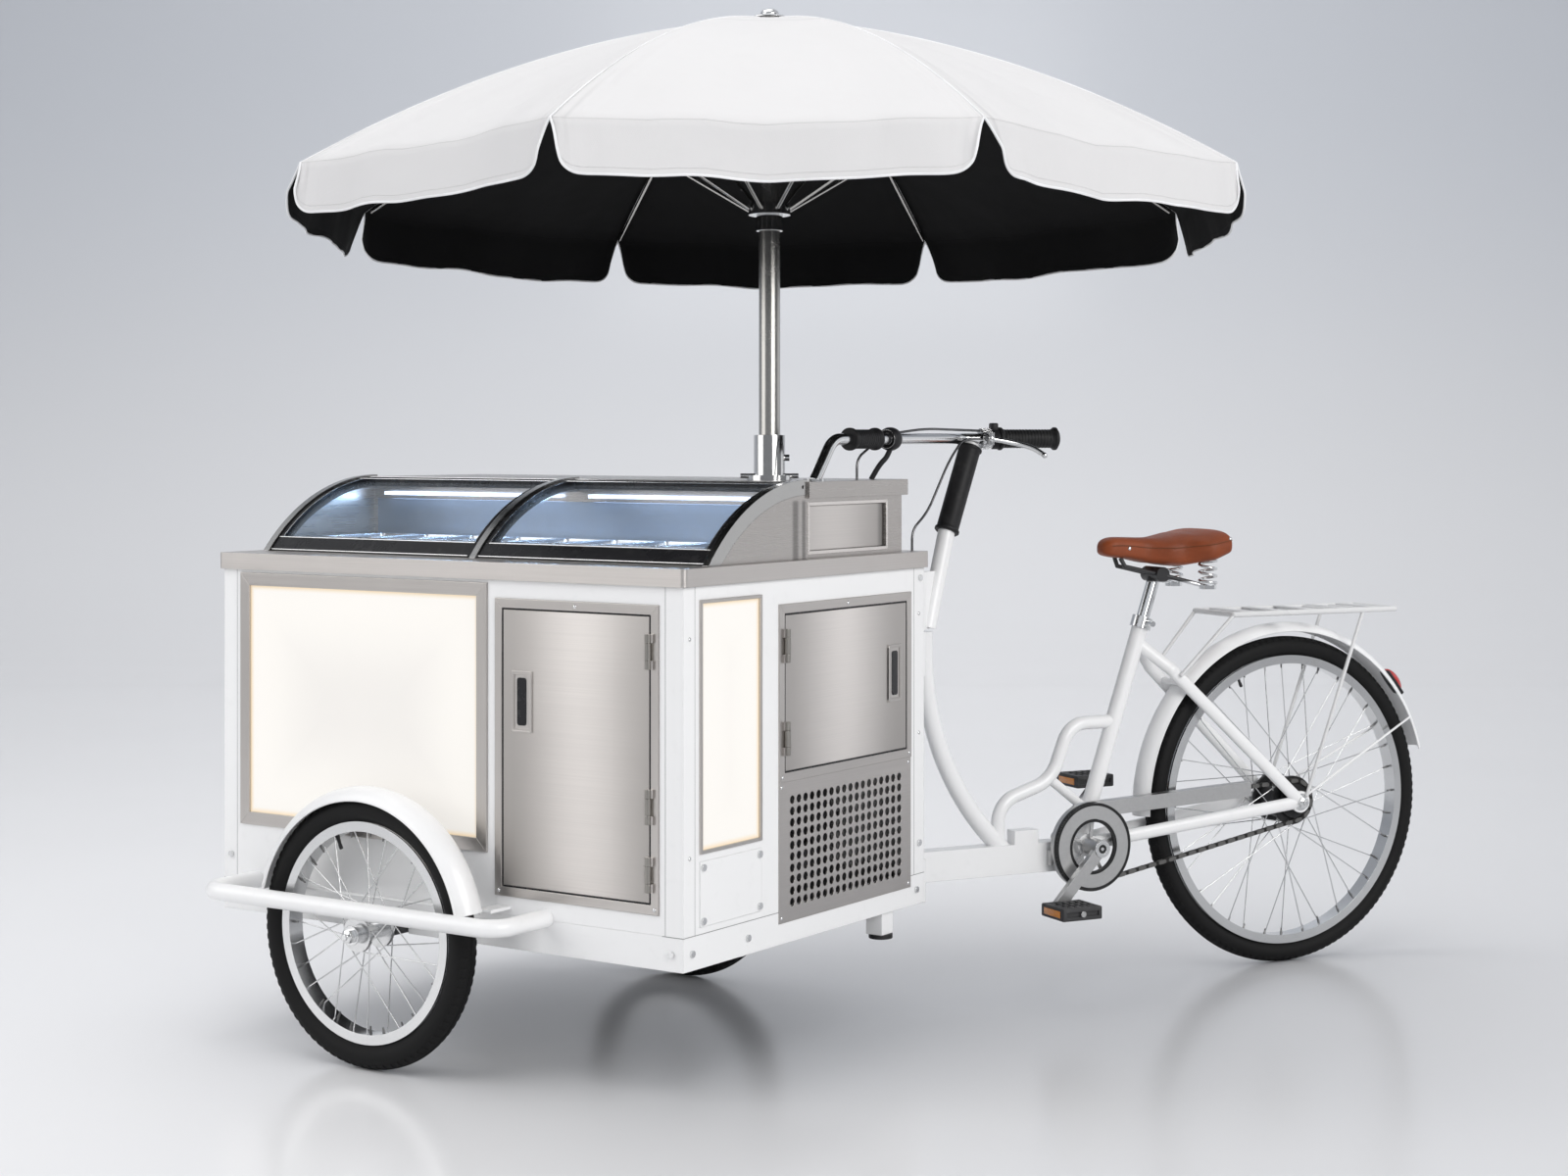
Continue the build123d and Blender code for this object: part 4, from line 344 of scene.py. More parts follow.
@dataclass(frozen=True)
class BrushedMetal(Finish):
    """Brushed stainless steel: streaks; on a door a painted reflection, a lighter upright band (axis, centre,
    half width) with painted shade lower down; on an end dark bands of painted reflection.
    """

    brush: Brush = Brush.LEVEL
    roughness: float = 0.25
    painted_sheen: Optional[tuple[int, float, float]] = None
    bands: Spans = ()
    marks: Span = (0.9, 1.06)
    edge: float = 0.0012

    def sockets(self, mix: Recipe) -> dict:
        """What the shader's sockets get."""
        streak = mix.streaks(1.0, 3.0, self.brush.value)
        broad = mix.noise(2.2, 3.0)
        smear = mix.noise(14.0, 5.0).step(0.55, 0.8)
        base = mix.blend(streak, *(self.tone(share) for share in self.marks))
        base = mix.blend(0.3 * broad, base, self.tone(0.88))
        # Painted reflection: the colour darkens away from a lighter upright band, and painted shade darkens
        # it towards the bottom.
        if self.painted_sheen:
            axis, centre, half = self.painted_sheen
            away = abs(mix.axes()[axis] - centre + 0.06 * (broad - 0.5)).step(0.0, half)
            painted_low_shade = 1.0 - mix.axes()[2].step(0.28, 0.86)
            base = mix.blend(0.82 * away + 0.18 * painted_low_shade, base, self.tone(0.46))
        # Painted reflection: dark upright bands painted near the end of the housing and on the pocket plate.
        for place, half in self.bands:
            x, y, z = mix.axes()
            near = 1.0 - abs(y - place + 0.004 * (broad - 0.5)).step(0.25 * half, half)
            shown = x.step(0.17, 0.18) * (1.0 - z.step(1.012, 1.02))
            base = mix.blend(0.62 * near * shown, base, self.tone(0.22))
        return {
            "Base Color": base,
            "Metallic": 1.0,
            "Roughness": self.roughness + 0.12 * streak + 0.06 * smear,
            "Normal": mix.relief(streak, 0.00003, self.edge),
        }


@dataclass(frozen=True)
class PolishedMetal(Finish):
    """Chrome or polished alloy with faint smears."""

    roughness: float = 0.07
    grain: float = 0.05
    edge: float = 0.0008

    def sockets(self, mix: Recipe) -> dict:
        """What the shader's sockets get."""
        smear = mix.noise(26.0, 5.0)
        fine = mix.noise(900.0, 2.0)
        return {
            "Base Color": mix.blend(smear, self.tone(0.9), self.colour),
            "Metallic": 1.0,
            "Roughness": self.roughness + self.grain * fine + 0.08 * smear.step(0.5, 0.85),
            "Normal": mix.relief(fine, 0.00002, self.edge),
        }


@dataclass(frozen=True)
class Moulded(Finish):
    """Moulded plastic or rubber with a fine grain and a little grey dust."""

    roughness: float = 0.5
    grain: float = 900.0
    depth: float = 0.0001
    dust: float = 0.12
    edge: float = 0.001

    def sockets(self, mix: Recipe) -> dict:
        """What the shader's sockets get."""
        grain = mix.noise(self.grain, 2.0)
        cloud = mix.noise(9.0, 5.0)
        dust = mix.noise(60.0, 6.0).step(0.5, 0.85)
        base = mix.blend(cloud, self.tone(0.75), self.tone(1.25))
        return {
            "Base Color": mix.blend(self.dust * dust, base, rgb(0.32, 0.31, 0.3)),
            "Roughness": self.roughness + 0.14 * cloud + 0.1 * dust,
            "Specular IOR Level": 0.24,
            "Normal": mix.relief(grain, self.depth, self.edge),
        }


@dataclass(frozen=True)
class CanopyCloth(Finish):
    """Woven parasol cloth with soft pulls, pleats darkened as painted shade, stitching beside the seams and
    round it, and a valance darkened as painted shade.
    """

    pleats: float = 1.0
    folds: float = 0.009
    threads: float = 3600.0
    rim: float = 0.79
    crown_rings: tuple[float, ...] = (0.125, 0.205)
    rim_rings: tuple[float, ...] = (0.789, 0.975)

    def sockets(self, mix: Recipe) -> dict:
        """What the shader's sockets get."""
        x, y, _ = mix.axes()
        weave = 0.5 + 0.25 * (x * self.threads).sine() + 0.25 * (y * self.threads).sine()
        slub = mix.streaks(900.0, 2.0, (1.0, 1.0, 0.3))
        pull = mix.noise(3.4, 3.0)
        crease = mix.streaks(9.0, 4.0, (1.0, 1.0, 0.35))
        panel = mix.add("ShaderNodeUVMap", {}, uv_map="panel")
        across, down, _ = mix.axes(panel)
        side = abs(across - 0.5) * 2.0
        seam = side.step(0.975, 0.992)
        for rings, width in ((self.crown_rings, 0.007), (self.rim_rings, 0.0022)):
            for place in rings:
                seam = seam.most(1.0 - abs(down - place).step(0.0006, width))
        pleat = mix.noise(1.0, 0.6, mix.mapped(panel, (7.5, 1.3, 1.0), 0.12)).step(0.25, 0.75)
        pleat = self.pleats * (pleat * down.step(0.25, 0.8) * (0.4 + 0.6 * side.step(0.2, 0.95)))
        base = mix.blend(pull, self.tone(0.955), self.colour)
        base = mix.blend(0.3 * slub.step(0.5, 0.8), base, self.tone(0.93))
        # Painted shade: the colour darkens in the pleats.
        base = mix.blend(0.07 * pleat, base, self.tone(0.6))
        base = mix.blend(0.4 * seam, base, self.tone(0.62))
        # Painted shade: the hanging valance below the rim is darker than the canopy.
        base = mix.blend(0.5 * down.step(self.rim - 0.004, self.rim + 0.006), base, self.tone(0.88))
        height = 1.5 * pull + 0.3 * crease + pleat + 0.012 * weave + 0.02 * slub - 0.05 * seam
        return {
            "Base Color": base,
            "Roughness": 0.78 + 0.14 * slub,
            "Specular IOR Level": 0.2,
            "Normal": mix.relief(height, self.folds),
        }


@dataclass(frozen=True)
class SaddleLeather(Finish):
    """Smooth tanned leather: pores, a mottled dye and broad lighter patches."""

    dark: Colour

    def sockets(self, mix: Recipe) -> dict:
        """What the shader's sockets get."""
        mottle = mix.noise(26.0, 6.0)
        broad = mix.noise(7.0, 3.0)
        cells = {"Vector": mix.point, "Scale": 620.0}
        pores = mix.add("ShaderNodeTexVoronoi", cells, feature="DISTANCE_TO_EDGE")
        creases = mix.noise(180.0, 4.0)
        base = mix.blend(mottle, self.dark, self.colour)
        return {
            "Base Color": mix.blend(broad.step(0.42, 0.7), base, self.tone(1.12)),
            "Roughness": 0.38 + 0.18 * mottle,
            "Specular IOR Level": 0.32,
            "Coat Weight": 0.06,
            "Coat Roughness": 0.22,
            "Normal": mix.relief(0.6 * pores.step(0.0, 0.2) + 0.4 * creases, 0.00018),
        }


@dataclass(frozen=True)
class LitPanels(Finish):
    """Opal panels lit from behind, warm at their edges, and the cold light strips over the pans."""

    side_x: Span
    side_z: Span
    end_y: Span
    end_z: Span
    strip_height: float
    side_plane: float
    strength: float = 0.66

    def sockets(self, mix: Recipe) -> dict:
        """What the shader's sockets get."""
        x, y, z = mix.axes()
        on_side = 1.0 - y.step(self.side_plane + 0.012, self.side_plane + 0.02)
        side = x.within(self.side_x).least(z.within(self.side_z))
        end = y.within(self.end_y).least(z.within(self.end_z))
        inset = on_side * side + (1.0 - on_side) * end
        cloud = mix.noise(5.0, 3.0)
        glow = mix.blend(inset.step(-0.002, 0.011), rgb(1.0, 0.74, 0.4), rgb(1.0, 0.965, 0.91))
        glow = mix.blend(0.75 * inset.step(0.03, 0.2) + 0.1 * cloud, glow, rgb(0.83, 0.8, 0.77))
        cold = z.step(self.strip_height, self.strip_height + 0.004)
        return {
            "Base Color": mix.blend(cloud, rgb(0.3, 0.295, 0.285), self.colour),
            "Roughness": 0.34 + 0.1 * cloud,
            "Emission Color": mix.blend(cold, glow, rgb(4.6, 5.9, 8.2)),
            "Emission Strength": self.strength,
        }


@dataclass(frozen=True)
class ClearGlass(Finish):
    """Bent clear glass with a faint blue tint and finger haze."""

    def sockets(self, mix: Recipe) -> dict:
        """What the shader's sockets get."""
        haze = mix.noise(8.0, 5.0).step(0.45, 0.8)
        return {
            "Base Color": mix.blend(haze, rgb(0.62, 0.74, 0.86), self.colour),
            "Roughness": 0.02 + 0.05 * haze,
            "Alpha": 0.09 + 0.04 * haze,
            "IOR": 1.5,
        }


@dataclass(frozen=True)
class Lens(Finish):
    """Moulded reflector lens with small prisms."""

    prisms: float = 1500.0

    def sockets(self, mix: Recipe) -> dict:
        """What the shader's sockets get."""
        x, _, z = mix.axes()
        cut = 0.5 + 0.5 * (x * self.prisms).sine() * (z * self.prisms).sine()
        depth = mix.noise(40.0, 3.0)
        return {
            "Base Color": mix.blend(0.5 * depth + 0.4 * cut, self.tone(0.55), self.colour),
            "Roughness": 0.12 + 0.12 * depth,
            "Coat Weight": 0.6,
            "Normal": mix.relief(cut, 0.0006, 0.0015),
        }


@dataclass(frozen=True)
class SplitMetal(Finish):
    """Bright metal below a height on the seat post and black enamel above it."""

    low: float
    high: float

    def sockets(self, mix: Recipe) -> dict:
        """What the shader's sockets get."""
        black = mix.axes()[2].step(self.low, self.high)
        smear = mix.noise(40.0, 4.0)
        bare = mix.blend(smear, rgb(0.62, 0.63, 0.64), self.colour)
        return {
            "Base Color": mix.blend(black, bare, rgb(0.022, 0.022, 0.024)),
            "Metallic": 1.0 - black,
            "Roughness": 0.09 + 0.24 * black + 0.08 * smear,
            "Normal": mix.relief(smear, 0.00004, 0.0012),
        }


class Stock:
    """The finishes of the cart, made once each."""

    def __init__(self) -> None:
        """Makes every material."""
        self.paints()
        self.metals()
        self.mouldings()
        self.soft_and_clear()

    def paints(self) -> None:
        """Sprayed finishes."""
        self.white = GlossPaint("white_paint", rgb(0.88, 0.882, 0.885)).make()
        self.dark = GlossPaint("dark_paint", rgb(0.035, 0.036, 0.038), 0.42).make()
        self.joint = GlossPaint("joint_line", rgb(0.33, 0.335, 0.34), 0.5).make()
        self.silver = GlossPaint("rack_silver", rgb(0.72, 0.722, 0.725), 0.24).make()

    def metals(self) -> None:
        """Brushed, polished and enamelled metals."""
        # Lit and shaded copies of one stainless steel, as painted light: a lighter, warmer copy on the doors
        # and the pocket plate, lighter copies on the countertop and, as a painted highlight, on the pocket's
        # rim, and a darker copy, as painted shade, on the housing.
        steel, bright = rgb(0.57, 0.542, 0.52), rgb(0.96, 0.912, 0.872)
        self.steel = BrushedMetal("stainless", steel).make()
        self.steel_top = BrushedMetal("stainless_top", shade(steel, 1.14), roughness=0.3).make()
        self.steel_rim = BrushedMetal("stainless_rim", shade(steel, 1.4), roughness=0.22).make()
        self.steel_housing = BrushedMetal(
            "stainless_housing", shade(steel, 0.87), roughness=0.22,
            bands=((-0.457, 0.009), (-0.484, 0.014)), marks=(0.975, 1.0),
        ).make()
        self.steel_pocket = BrushedMetal(
            "stainless_pocket", shade(bright, 0.78), Brush.ALONG_Y, 0.28,
            painted_sheen=(1, -0.352, 0.24), bands=((-0.176, 0.02),),
        ).make()
        self.steel_upright = BrushedMetal("stainless_upright", steel, Brush.UPRIGHT).make()
        self.steel_side = BrushedMetal(
            "stainless_side", shade(bright, 0.89), Brush.ALONG_X, 0.34, painted_sheen=(0, -0.012, 0.17)
        ).make()
        self.steel_end = BrushedMetal(
            "stainless_end", bright, Brush.ALONG_Y, 0.34, painted_sheen=(1, -0.345, 0.2)
        ).make()
        self.guard = BrushedMetal("guard_alloy", rgb(0.55, 0.55, 0.55), Brush.FINE, 0.3).make()
        # Steel painted blue: painted light of the cold strips over the pans.
        self.liner = BrushedMetal("cold_liner", rgb(0.34, 0.42, 0.55), Brush.UPRIGHT, 0.3).make()
        self.arch = BrushedMetal("arch_metal", rgb(0.5, 0.495, 0.485), Brush.FINE, 0.16).make()
        self.pan = PolishedMetal("pan_steel", rgb(0.7, 0.72, 0.75), 0.2, 0.08).make()
        self.hinge = PolishedMetal("hinge_metal", rgb(0.36, 0.345, 0.32), 0.26, 0.1).make()
        self.cable = PolishedMetal("cable_jacket", rgb(0.2, 0.2, 0.205), 0.2, 0.1).make()
        # Outer link plates, a lighter copy of the dark chain steel: a painted highlight that picks out the
        # links.
        self.link = PolishedMetal("link_plate", rgb(0.2, 0.197, 0.19), 0.28, 0.12).make()
        self.nipple = PolishedMetal("nipple_metal", rgb(0.2, 0.2, 0.2), 0.3, 0.1).make()
        self.chrome = PolishedMetal("bright_steel", rgb(0.76, 0.765, 0.77), 0.1).make()
        self.satin = PolishedMetal("pole_metal", rgb(0.54, 0.53, 0.51), 0.2, 0.08).make()
        self.alloy = PolishedMetal("rim_metal", rgb(0.72, 0.725, 0.73), 0.16, 0.1).make()
        self.chain = PolishedMetal("chain_metal", rgb(0.055, 0.054, 0.052), 0.3, 0.14).make()
        self.post = SplitMetal("post_metal", rgb(0.78, 0.79, 0.8), 0.825, 0.829).make()

    def mouldings(self) -> None:
        """Plastics and rubbers."""
        self.pedal = Moulded("pedal_plastic", rgb(0.05, 0.05, 0.052), 0.42, 700.0, 0.0001, 0.15).make()
        self.trim = Moulded("lid_trim", rgb(0.018, 0.018, 0.02), 0.2, 700.0, 0.00003, 0.05).make()
        self.black_metal = Moulded("black_metal", rgb(0.02, 0.02, 0.021), 0.32, 600.0, 0.00005, 0.08).make()
        self.tyre = Moulded("tyre", rgb(0.0045, 0.0045, 0.0047), 0.6, 420.0, 0.0002, 0.012).make()
        self.rubber = Moulded("rubber", rgb(0.016, 0.016, 0.017), 0.42, 520.0, 0.00012, 0.06).make()
        self.plastic = Moulded("black_plastic", rgb(0.02, 0.02, 0.022), 0.34, 800.0, 0.00006, 0.06).make()
        self.piping = Moulded("canopy_piping", rgb(0.8, 0.805, 0.815), 0.6, 900.0, 0.0001, 0.03).make()
        self.leather_edge = Moulded("leather_edge", rgb(0.15, 0.045, 0.015), 0.45, dust=0.0).make()

    def soft_and_clear(self) -> None:
        """Cloth, leather, glass, lenses and the lit panels."""
        self.glass = ClearGlass("glass", rgb(0.7, 0.8, 0.9)).make()
        self.red = Lens("red_lens", rgb(0.62, 0.012, 0.01)).make()
        self.amber = Lens("amber_lens", rgb(0.95, 0.32, 0.02)).make()
        self.leather = SaddleLeather("leather", rgb(0.29, 0.062, 0.014), rgb(0.155, 0.031, 0.007)).make()
        self.cloth = CanopyCloth("canopy_cloth", rgb(0.7, 0.695, 0.7)).make()
        self.lining = CanopyCloth("canopy_lining", rgb(0.006, 0.006, 0.0064), pleats=0.4).make()
        self.opal = LitPanels(
            "opal", rgb(0.33, 0.325, 0.315), side_x=(-0.816, -0.251), side_z=(0.419, 0.849),
            end_y=(-0.791, -0.618), end_z=(0.43, 0.849), strip_height=1.005, side_plane=-0.842,
        ).make()

    def by_node(self) -> dict[str, Material]:
        """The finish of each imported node, by its name."""
        groups = {
            "white": ("bottom_skirt", "cabinet_shell", "service_cover", "wheel_guards", "front_fenders",
                      "handlebar_stem", "hinge_brackets", "rear_frame", "rear_fender", "parking_foot"),
            "dark": ("chassis", "cooling_unit"),
            "steel_top": ("countertop",),
            "steel": ("trim_frames", "vent_grille", "freezer_tub", "ice_cream_pans"),
            "steel_housing": ("display_housing",),
            "steel_side": ("side_door",),
            "steel_end": ("end_door",),
            "arch": ("lid_arches",),
            "trim": ("left_lid_frame", "right_lid_frame"),
            "glass": ("left_lid_glass", "right_lid_glass"),
            "opal": ("light_panels",),
            "chrome": ("handlebar", "bar_controls", "body_screws", "seat_collar", "saddle_springs",
                       "brake_lever", "umbrella_hubs", "umbrella_socket"),
            "silver": ("luggage_rack",),
            "guard": ("chain_guard", "crankset"),
            "post": ("seat_post",),
            "alloy": ("left_front_rim", "right_front_rim", "rear_rim", "left_front_hub", "right_front_hub"),
            "black_metal": ("rear_hub",),
            "chain": ("drive_chain",),
            "cable": ("control_cables",),
            "tyre": ("left_front_tyre", "right_front_tyre", "rear_tyre"),
            "rubber": ("rubber_grips",),
            "plastic": ("condenser_fan", "near_pedal", "far_pedal"),
            "red": ("tail_light",),
            "leather": ("saddle",),
            "satin": ("umbrella_pole", "umbrella_ribs", "umbrella_stretchers"),
            "cloth": ("umbrella_canopy",),
        }
        return {node: getattr(self, finish) for finish, nodes in groups.items() for node in nodes}


class Kind(Enum):
    """Kind of mesh part that is picked, by its list in the mesh."""

    FACE = "faces"
    EDGE = "edges"


# Modelling as by hand, with Blender's operators


def clear() -> None:
    """Leaves nothing selected."""
    bpy.ops.object.select_all(action="DESELECT")


def only(piece: Piece) -> None:
    """Selects one piece alone and makes it active."""
    clear()
    piece.select_set(True)
    bpy.context.view_layer.objects.active = piece


@contextmanager
def editing(piece: Piece) -> Iterator[None]:
    """Keeps a piece in edit mode, with everything selected at the start."""
    only(piece)
    bpy.ops.object.mode_set(mode="EDIT")
    bpy.ops.mesh.select_mode(type="VERT")
    bpy.ops.mesh.select_all(action="SELECT")
    yield
    bpy.ops.object.mode_set(mode="OBJECT")


def placed() -> Piece:
    """The piece just added, with its place put in its mesh."""
    bpy.ops.object.transform_apply(location=True, rotation=True, scale=True)
    return bpy.context.object


def pick(piece: Piece, kind: Kind, wanted: Callable[[Vector, Vector], bool]) -> None:
    """Selects the faces or edges of the piece in edit mode that pass a test.

    Args:
        piece: The piece in edit mode.
        kind: Faces or edges.
        wanted: Test of a face's middle and normal, or of an edge's two ends.
    """
    bpy.ops.mesh.select_mode(type=kind.name)
    bpy.ops.mesh.select_all(action="DESELECT")
    mesh = bmesh.from_edit_mesh(piece.data)
    for part in getattr(mesh, kind.value):
        if kind is Kind.FACE:
            part.select_set(wanted(part.calc_center_median(), part.normal))
        else:
            part.select_set(wanted(*(vert.co for vert in part.verts)))
    bmesh.update_edit_mesh(piece.data)


def rounded(radius: float, segments: int) -> None:
    """Rounds the picked edges."""
    bpy.ops.mesh.bevel(offset=radius, segments=segments, affect="EDGES")


def raised(height: float) -> None:
    """Extrudes what is picked along Z."""
    bpy.ops.mesh.extrude_region_move(TRANSFORM_OT_translate={"value": (0.0, 0.0, height)})


def grown(height: float) -> None:
    """Extrudes the picked faces along their normals."""
    bpy.ops.mesh.extrude_region_shrink_fatten(TRANSFORM_OT_shrink_fatten={"value": height})


def outward() -> None:
    """Turns every normal of the piece in edit mode outwards."""
    bpy.ops.mesh.select_all(action="SELECT")
    bpy.ops.mesh.normals_make_consistent(inside=False)


def plane(size: float = 1.0, place: Spot = (0.0, 0.0, 0.0)) -> Piece:
    """A square sheet."""
    clear()
    bpy.ops.mesh.primitive_plane_add(size=size, location=place)
    return placed()


def ball(segments: int, rings: int, radius: float = 1.0) -> Piece:
    """A ball about the origin."""
    clear()
    bpy.ops.mesh.primitive_uv_sphere_add(segments=segments, ring_count=rings, radius=radius)
    return placed()


def bar(sides: int, radius: float, length: float) -> Piece:
    """A bar along Z, about the origin."""
    clear()
    bpy.ops.mesh.primitive_cylinder_add(vertices=sides, radius=radius, depth=length)
    return placed()


def block(low: Spot, high: Spot, ease: float = 0.0, rounds: int = 2) -> Piece:
    """A box between two corners with eased edges.

    Args:
        low: Its lowest corner.
        high: Its highest corner.
        ease: Radius of its edges.
        rounds: Segments of each rounded edge.

    Returns:
        The piece.
    """
    clear()
    middle = [(a + b) / 2 for a, b in zip(low, high)]
    bpy.ops.mesh.primitive_cube_add(size=1.0, location=middle)
    bpy.context.object.scale = [b - a for a, b in zip(low, high)]
    piece = placed()
    if ease:
        with editing(piece):
            rounded(ease, rounds)
    return piece


def traced(points: Sequence[Spot], closed: bool = False) -> Piece:
    """A line of edges drawn point by point.

    Args:
        points: The points in order.
        closed: Whether the last point joins the first.

    Returns:
        The piece, of edges alone.
    """
    piece = plane(0.001, points[0])
    with editing(piece):
        bpy.ops.mesh.merge(type="CENTER")
        for before, after in zip(points, points[1:]):
            step = [b - a for a, b in zip(before, after)]
            bpy.ops.mesh.extrude_vertices_move(TRANSFORM_OT_translate={"value": step})
        if closed:
            mesh = bmesh.from_edit_mesh(piece.data)
            for vert in mesh.verts:
                vert.select_set(len(vert.link_edges) == 1)
            bmesh.update_edit_mesh(piece.data)
            bpy.ops.mesh.edge_face_add()
    return piece


def turned(profile: Profile, steps: int, closed: bool = False) -> Piece:
    """A piece turned about the Z axis.

    Args:
        profile: Points (radius, height) of its half section.
        steps: Steps round the axis.
        closed: Whether the profile is a closed loop.

    Returns:
        The piece.
    """
    piece = traced([(radius, 0.0, height) for radius, height in profile], closed)
    with editing(piece):
        bpy.ops.mesh.spin(steps=steps, angle=math.tau, center=(0.0, 0.0, 0.0), axis=(0.0, 0.0, 1.0))
        bpy.ops.mesh.select_all(action="SELECT")
        bpy.ops.mesh.remove_doubles(threshold=0.00001)
        outward()
    return piece


def wire(points: Sequence[Spot], radius: float, sides: int = 3) -> Piece:
    """A round bar along a smooth line, as a mesh.

    Args:
        points: Points that the line is drawn by.
        radius: The bar's radius.
        sides: Fineness of the bar's section.

    Returns:
        The piece.
    """
    curve = bpy.data.curves.new("wire", "CURVE")
    curve.dimensions = "3D"
    curve.bevel_depth = radius
    curve.bevel_resolution = sides
    curve.resolution_u = 4
    curve.use_fill_caps = True
    spline = curve.splines.new("NURBS")
    spline.points.add(len(points) - 1)
    for place, point in zip(spline.points, points):
        place.co = (*point, 1.0)
    spline.order_u = 3
    spline.use_endpoint_u = True
    piece = bpy.data.objects.new(curve.name, curve)
    bpy.context.scene.collection.objects.link(piece)
    only(piece)
    bpy.ops.object.convert(target="MESH")
    return bpy.context.object


def copies(pattern: Piece, places: Iterable[Matrix]) -> list[Piece]:
    """Copies of a piece, each with its own mesh.

    Args:
        pattern: The piece to copy.
        places: The move of each copy.

    Returns:
        The copies.
    """
    twins = []
    for place in places:
        only(pattern)
        bpy.ops.object.duplicate()
        twins.append(bpy.context.object)
        twins[-1].data.transform(place)
    return twins


def joined(parts: Sequence[Piece], weld: float = 0.0) -> Piece:
    """Several pieces made one.

    Args:
        parts: The pieces, which it takes up.
        weld: Distance within which points are merged.

    Returns:
        The piece.
    """
    only(parts[0])
    for part in parts:
        part.select_set(True)
    if len(parts) > 1:
        bpy.ops.object.join()
    piece = bpy.context.object
    if weld:
        with editing(piece):
            bpy.ops.mesh.remove_doubles(threshold=weld)
            bpy.ops.mesh.normals_make_consistent(inside=False)
    return piece


def scattered(pattern: Piece, places: Iterable[Matrix]) -> Piece:
    """One piece of copies of a pattern, which goes away.

    Args:
        pattern: What is copied.
        places: The move of each copy.

    Returns:
        The piece.
    """
    piece = joined(copies(pattern, places))
    bpy.data.objects.remove(pattern)
    return piece


def modified(piece: Piece, kind: str, **settings: object) -> None:
    """Adds a modifier and applies it.

    Args:
        piece: The piece.
        kind: The modifier's type.
        settings: Its properties.
    """
    only(piece)
    modifier = piece.modifiers.new(kind.lower(), kind)
    for name, value in settings.items():
        setattr(modifier, name, value)
    bpy.ops.object.modifier_apply(modifier=modifier.name)


def dress(
    name: str,
    parts: Sequence[Piece],
    body: str,
    finish: Material,
    place: Matrix = Matrix.Identity(4),
    instead: Sequence[str] = (),
    angle: float = 38.0,
) -> Piece:
    """Joins parts to one finished piece, in its place, with its finish, on its body.

    Args:
        name: The piece's name.
        parts: What it is made of.
        body: The body that it rides on.
        finish: Its material.
        place: Its place in the cart.
        instead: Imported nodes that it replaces.
        angle: Edges sharper than this stay sharp.

    Returns:
        The piece.
    """
    piece = joined(parts)
    piece.name = piece.data.name = name
    piece.data.transform(place)
    if not piece.data.materials:
        piece.data.materials.append(finish)
    only(piece)
    bpy.ops.object.shade_smooth_by_angle(angle=math.radians(angle))
    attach(piece, body)
    if instead:
        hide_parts(*instead)
    log.info("%s: %d faces on %s", piece.name, len(piece.data.polygons), body)
    return piece


class Floor(Enum):
    """What a soft box does to the floor: lights it too, lights nothing else, or spares it."""

    TOO = "ALL"
    ALONE = "INCLUDE"
    SPARED = "EXCLUDE"


@dataclass(frozen=True)
class SoftBox:
    """A square lamp that looks at a point."""

    name: str
    place: Point
    aim: Point
    size: float
    power: float
    floor: Floor = Floor.TOO
    colour: Point = (1.0, 0.985, 0.965)

    def hang(self, sheet: Piece) -> None:
        """Hangs the lamp.

        Args:
            sheet: The floor and backdrop.
        """
        lamp = bpy.data.lights.new(self.name, "AREA")
        lamp.size, lamp.energy, lamp.color = self.size, self.power, self.colour
        box = bpy.data.objects.new(self.name, lamp)
        box.location = self.place
        box.rotation_euler = (Vector(self.aim) - Vector(self.place)).to_track_quat("-Z", "Y").to_euler()
        box.visible_camera = False
        bpy.context.scene.collection.objects.link(box)
        if self.floor is not Floor.TOO:
            lit = box.light_linking.receiver_collection = bpy.data.collections.new(f"{self.name}_floor")
            lit.objects.link(sheet)
            lit.collection_objects[0].light_linking.link_state = self.floor.value


@dataclass(frozen=True)
class LightStrip:
    """A cold lamp under the top of the display."""

    name: str
    span: Span
    y: float = -0.012
    z: float = 1.01
    tilt: float = -0.5
    width: float = 0.012
    power: float = 0.32
    colour: Point = (0.42, 0.66, 1.0)

    def hang(self) -> None:
        """Hangs the lamp."""
        low, high = self.span
        lamp = bpy.data.lights.new(self.name, "AREA")
        lamp.shape = "RECTANGLE"
        lamp.size, lamp.size_y = high - low, self.width
        lamp.energy, lamp.color = self.power, self.colour
        strip = bpy.data.objects.new(self.name, lamp)
        middle = CART @ move((low + high) / 2, self.y, self.z)
        strip.matrix_world = middle @ Matrix.Rotation(self.tilt, 4, "X")
        bpy.context.scene.collection.objects.link(strip)


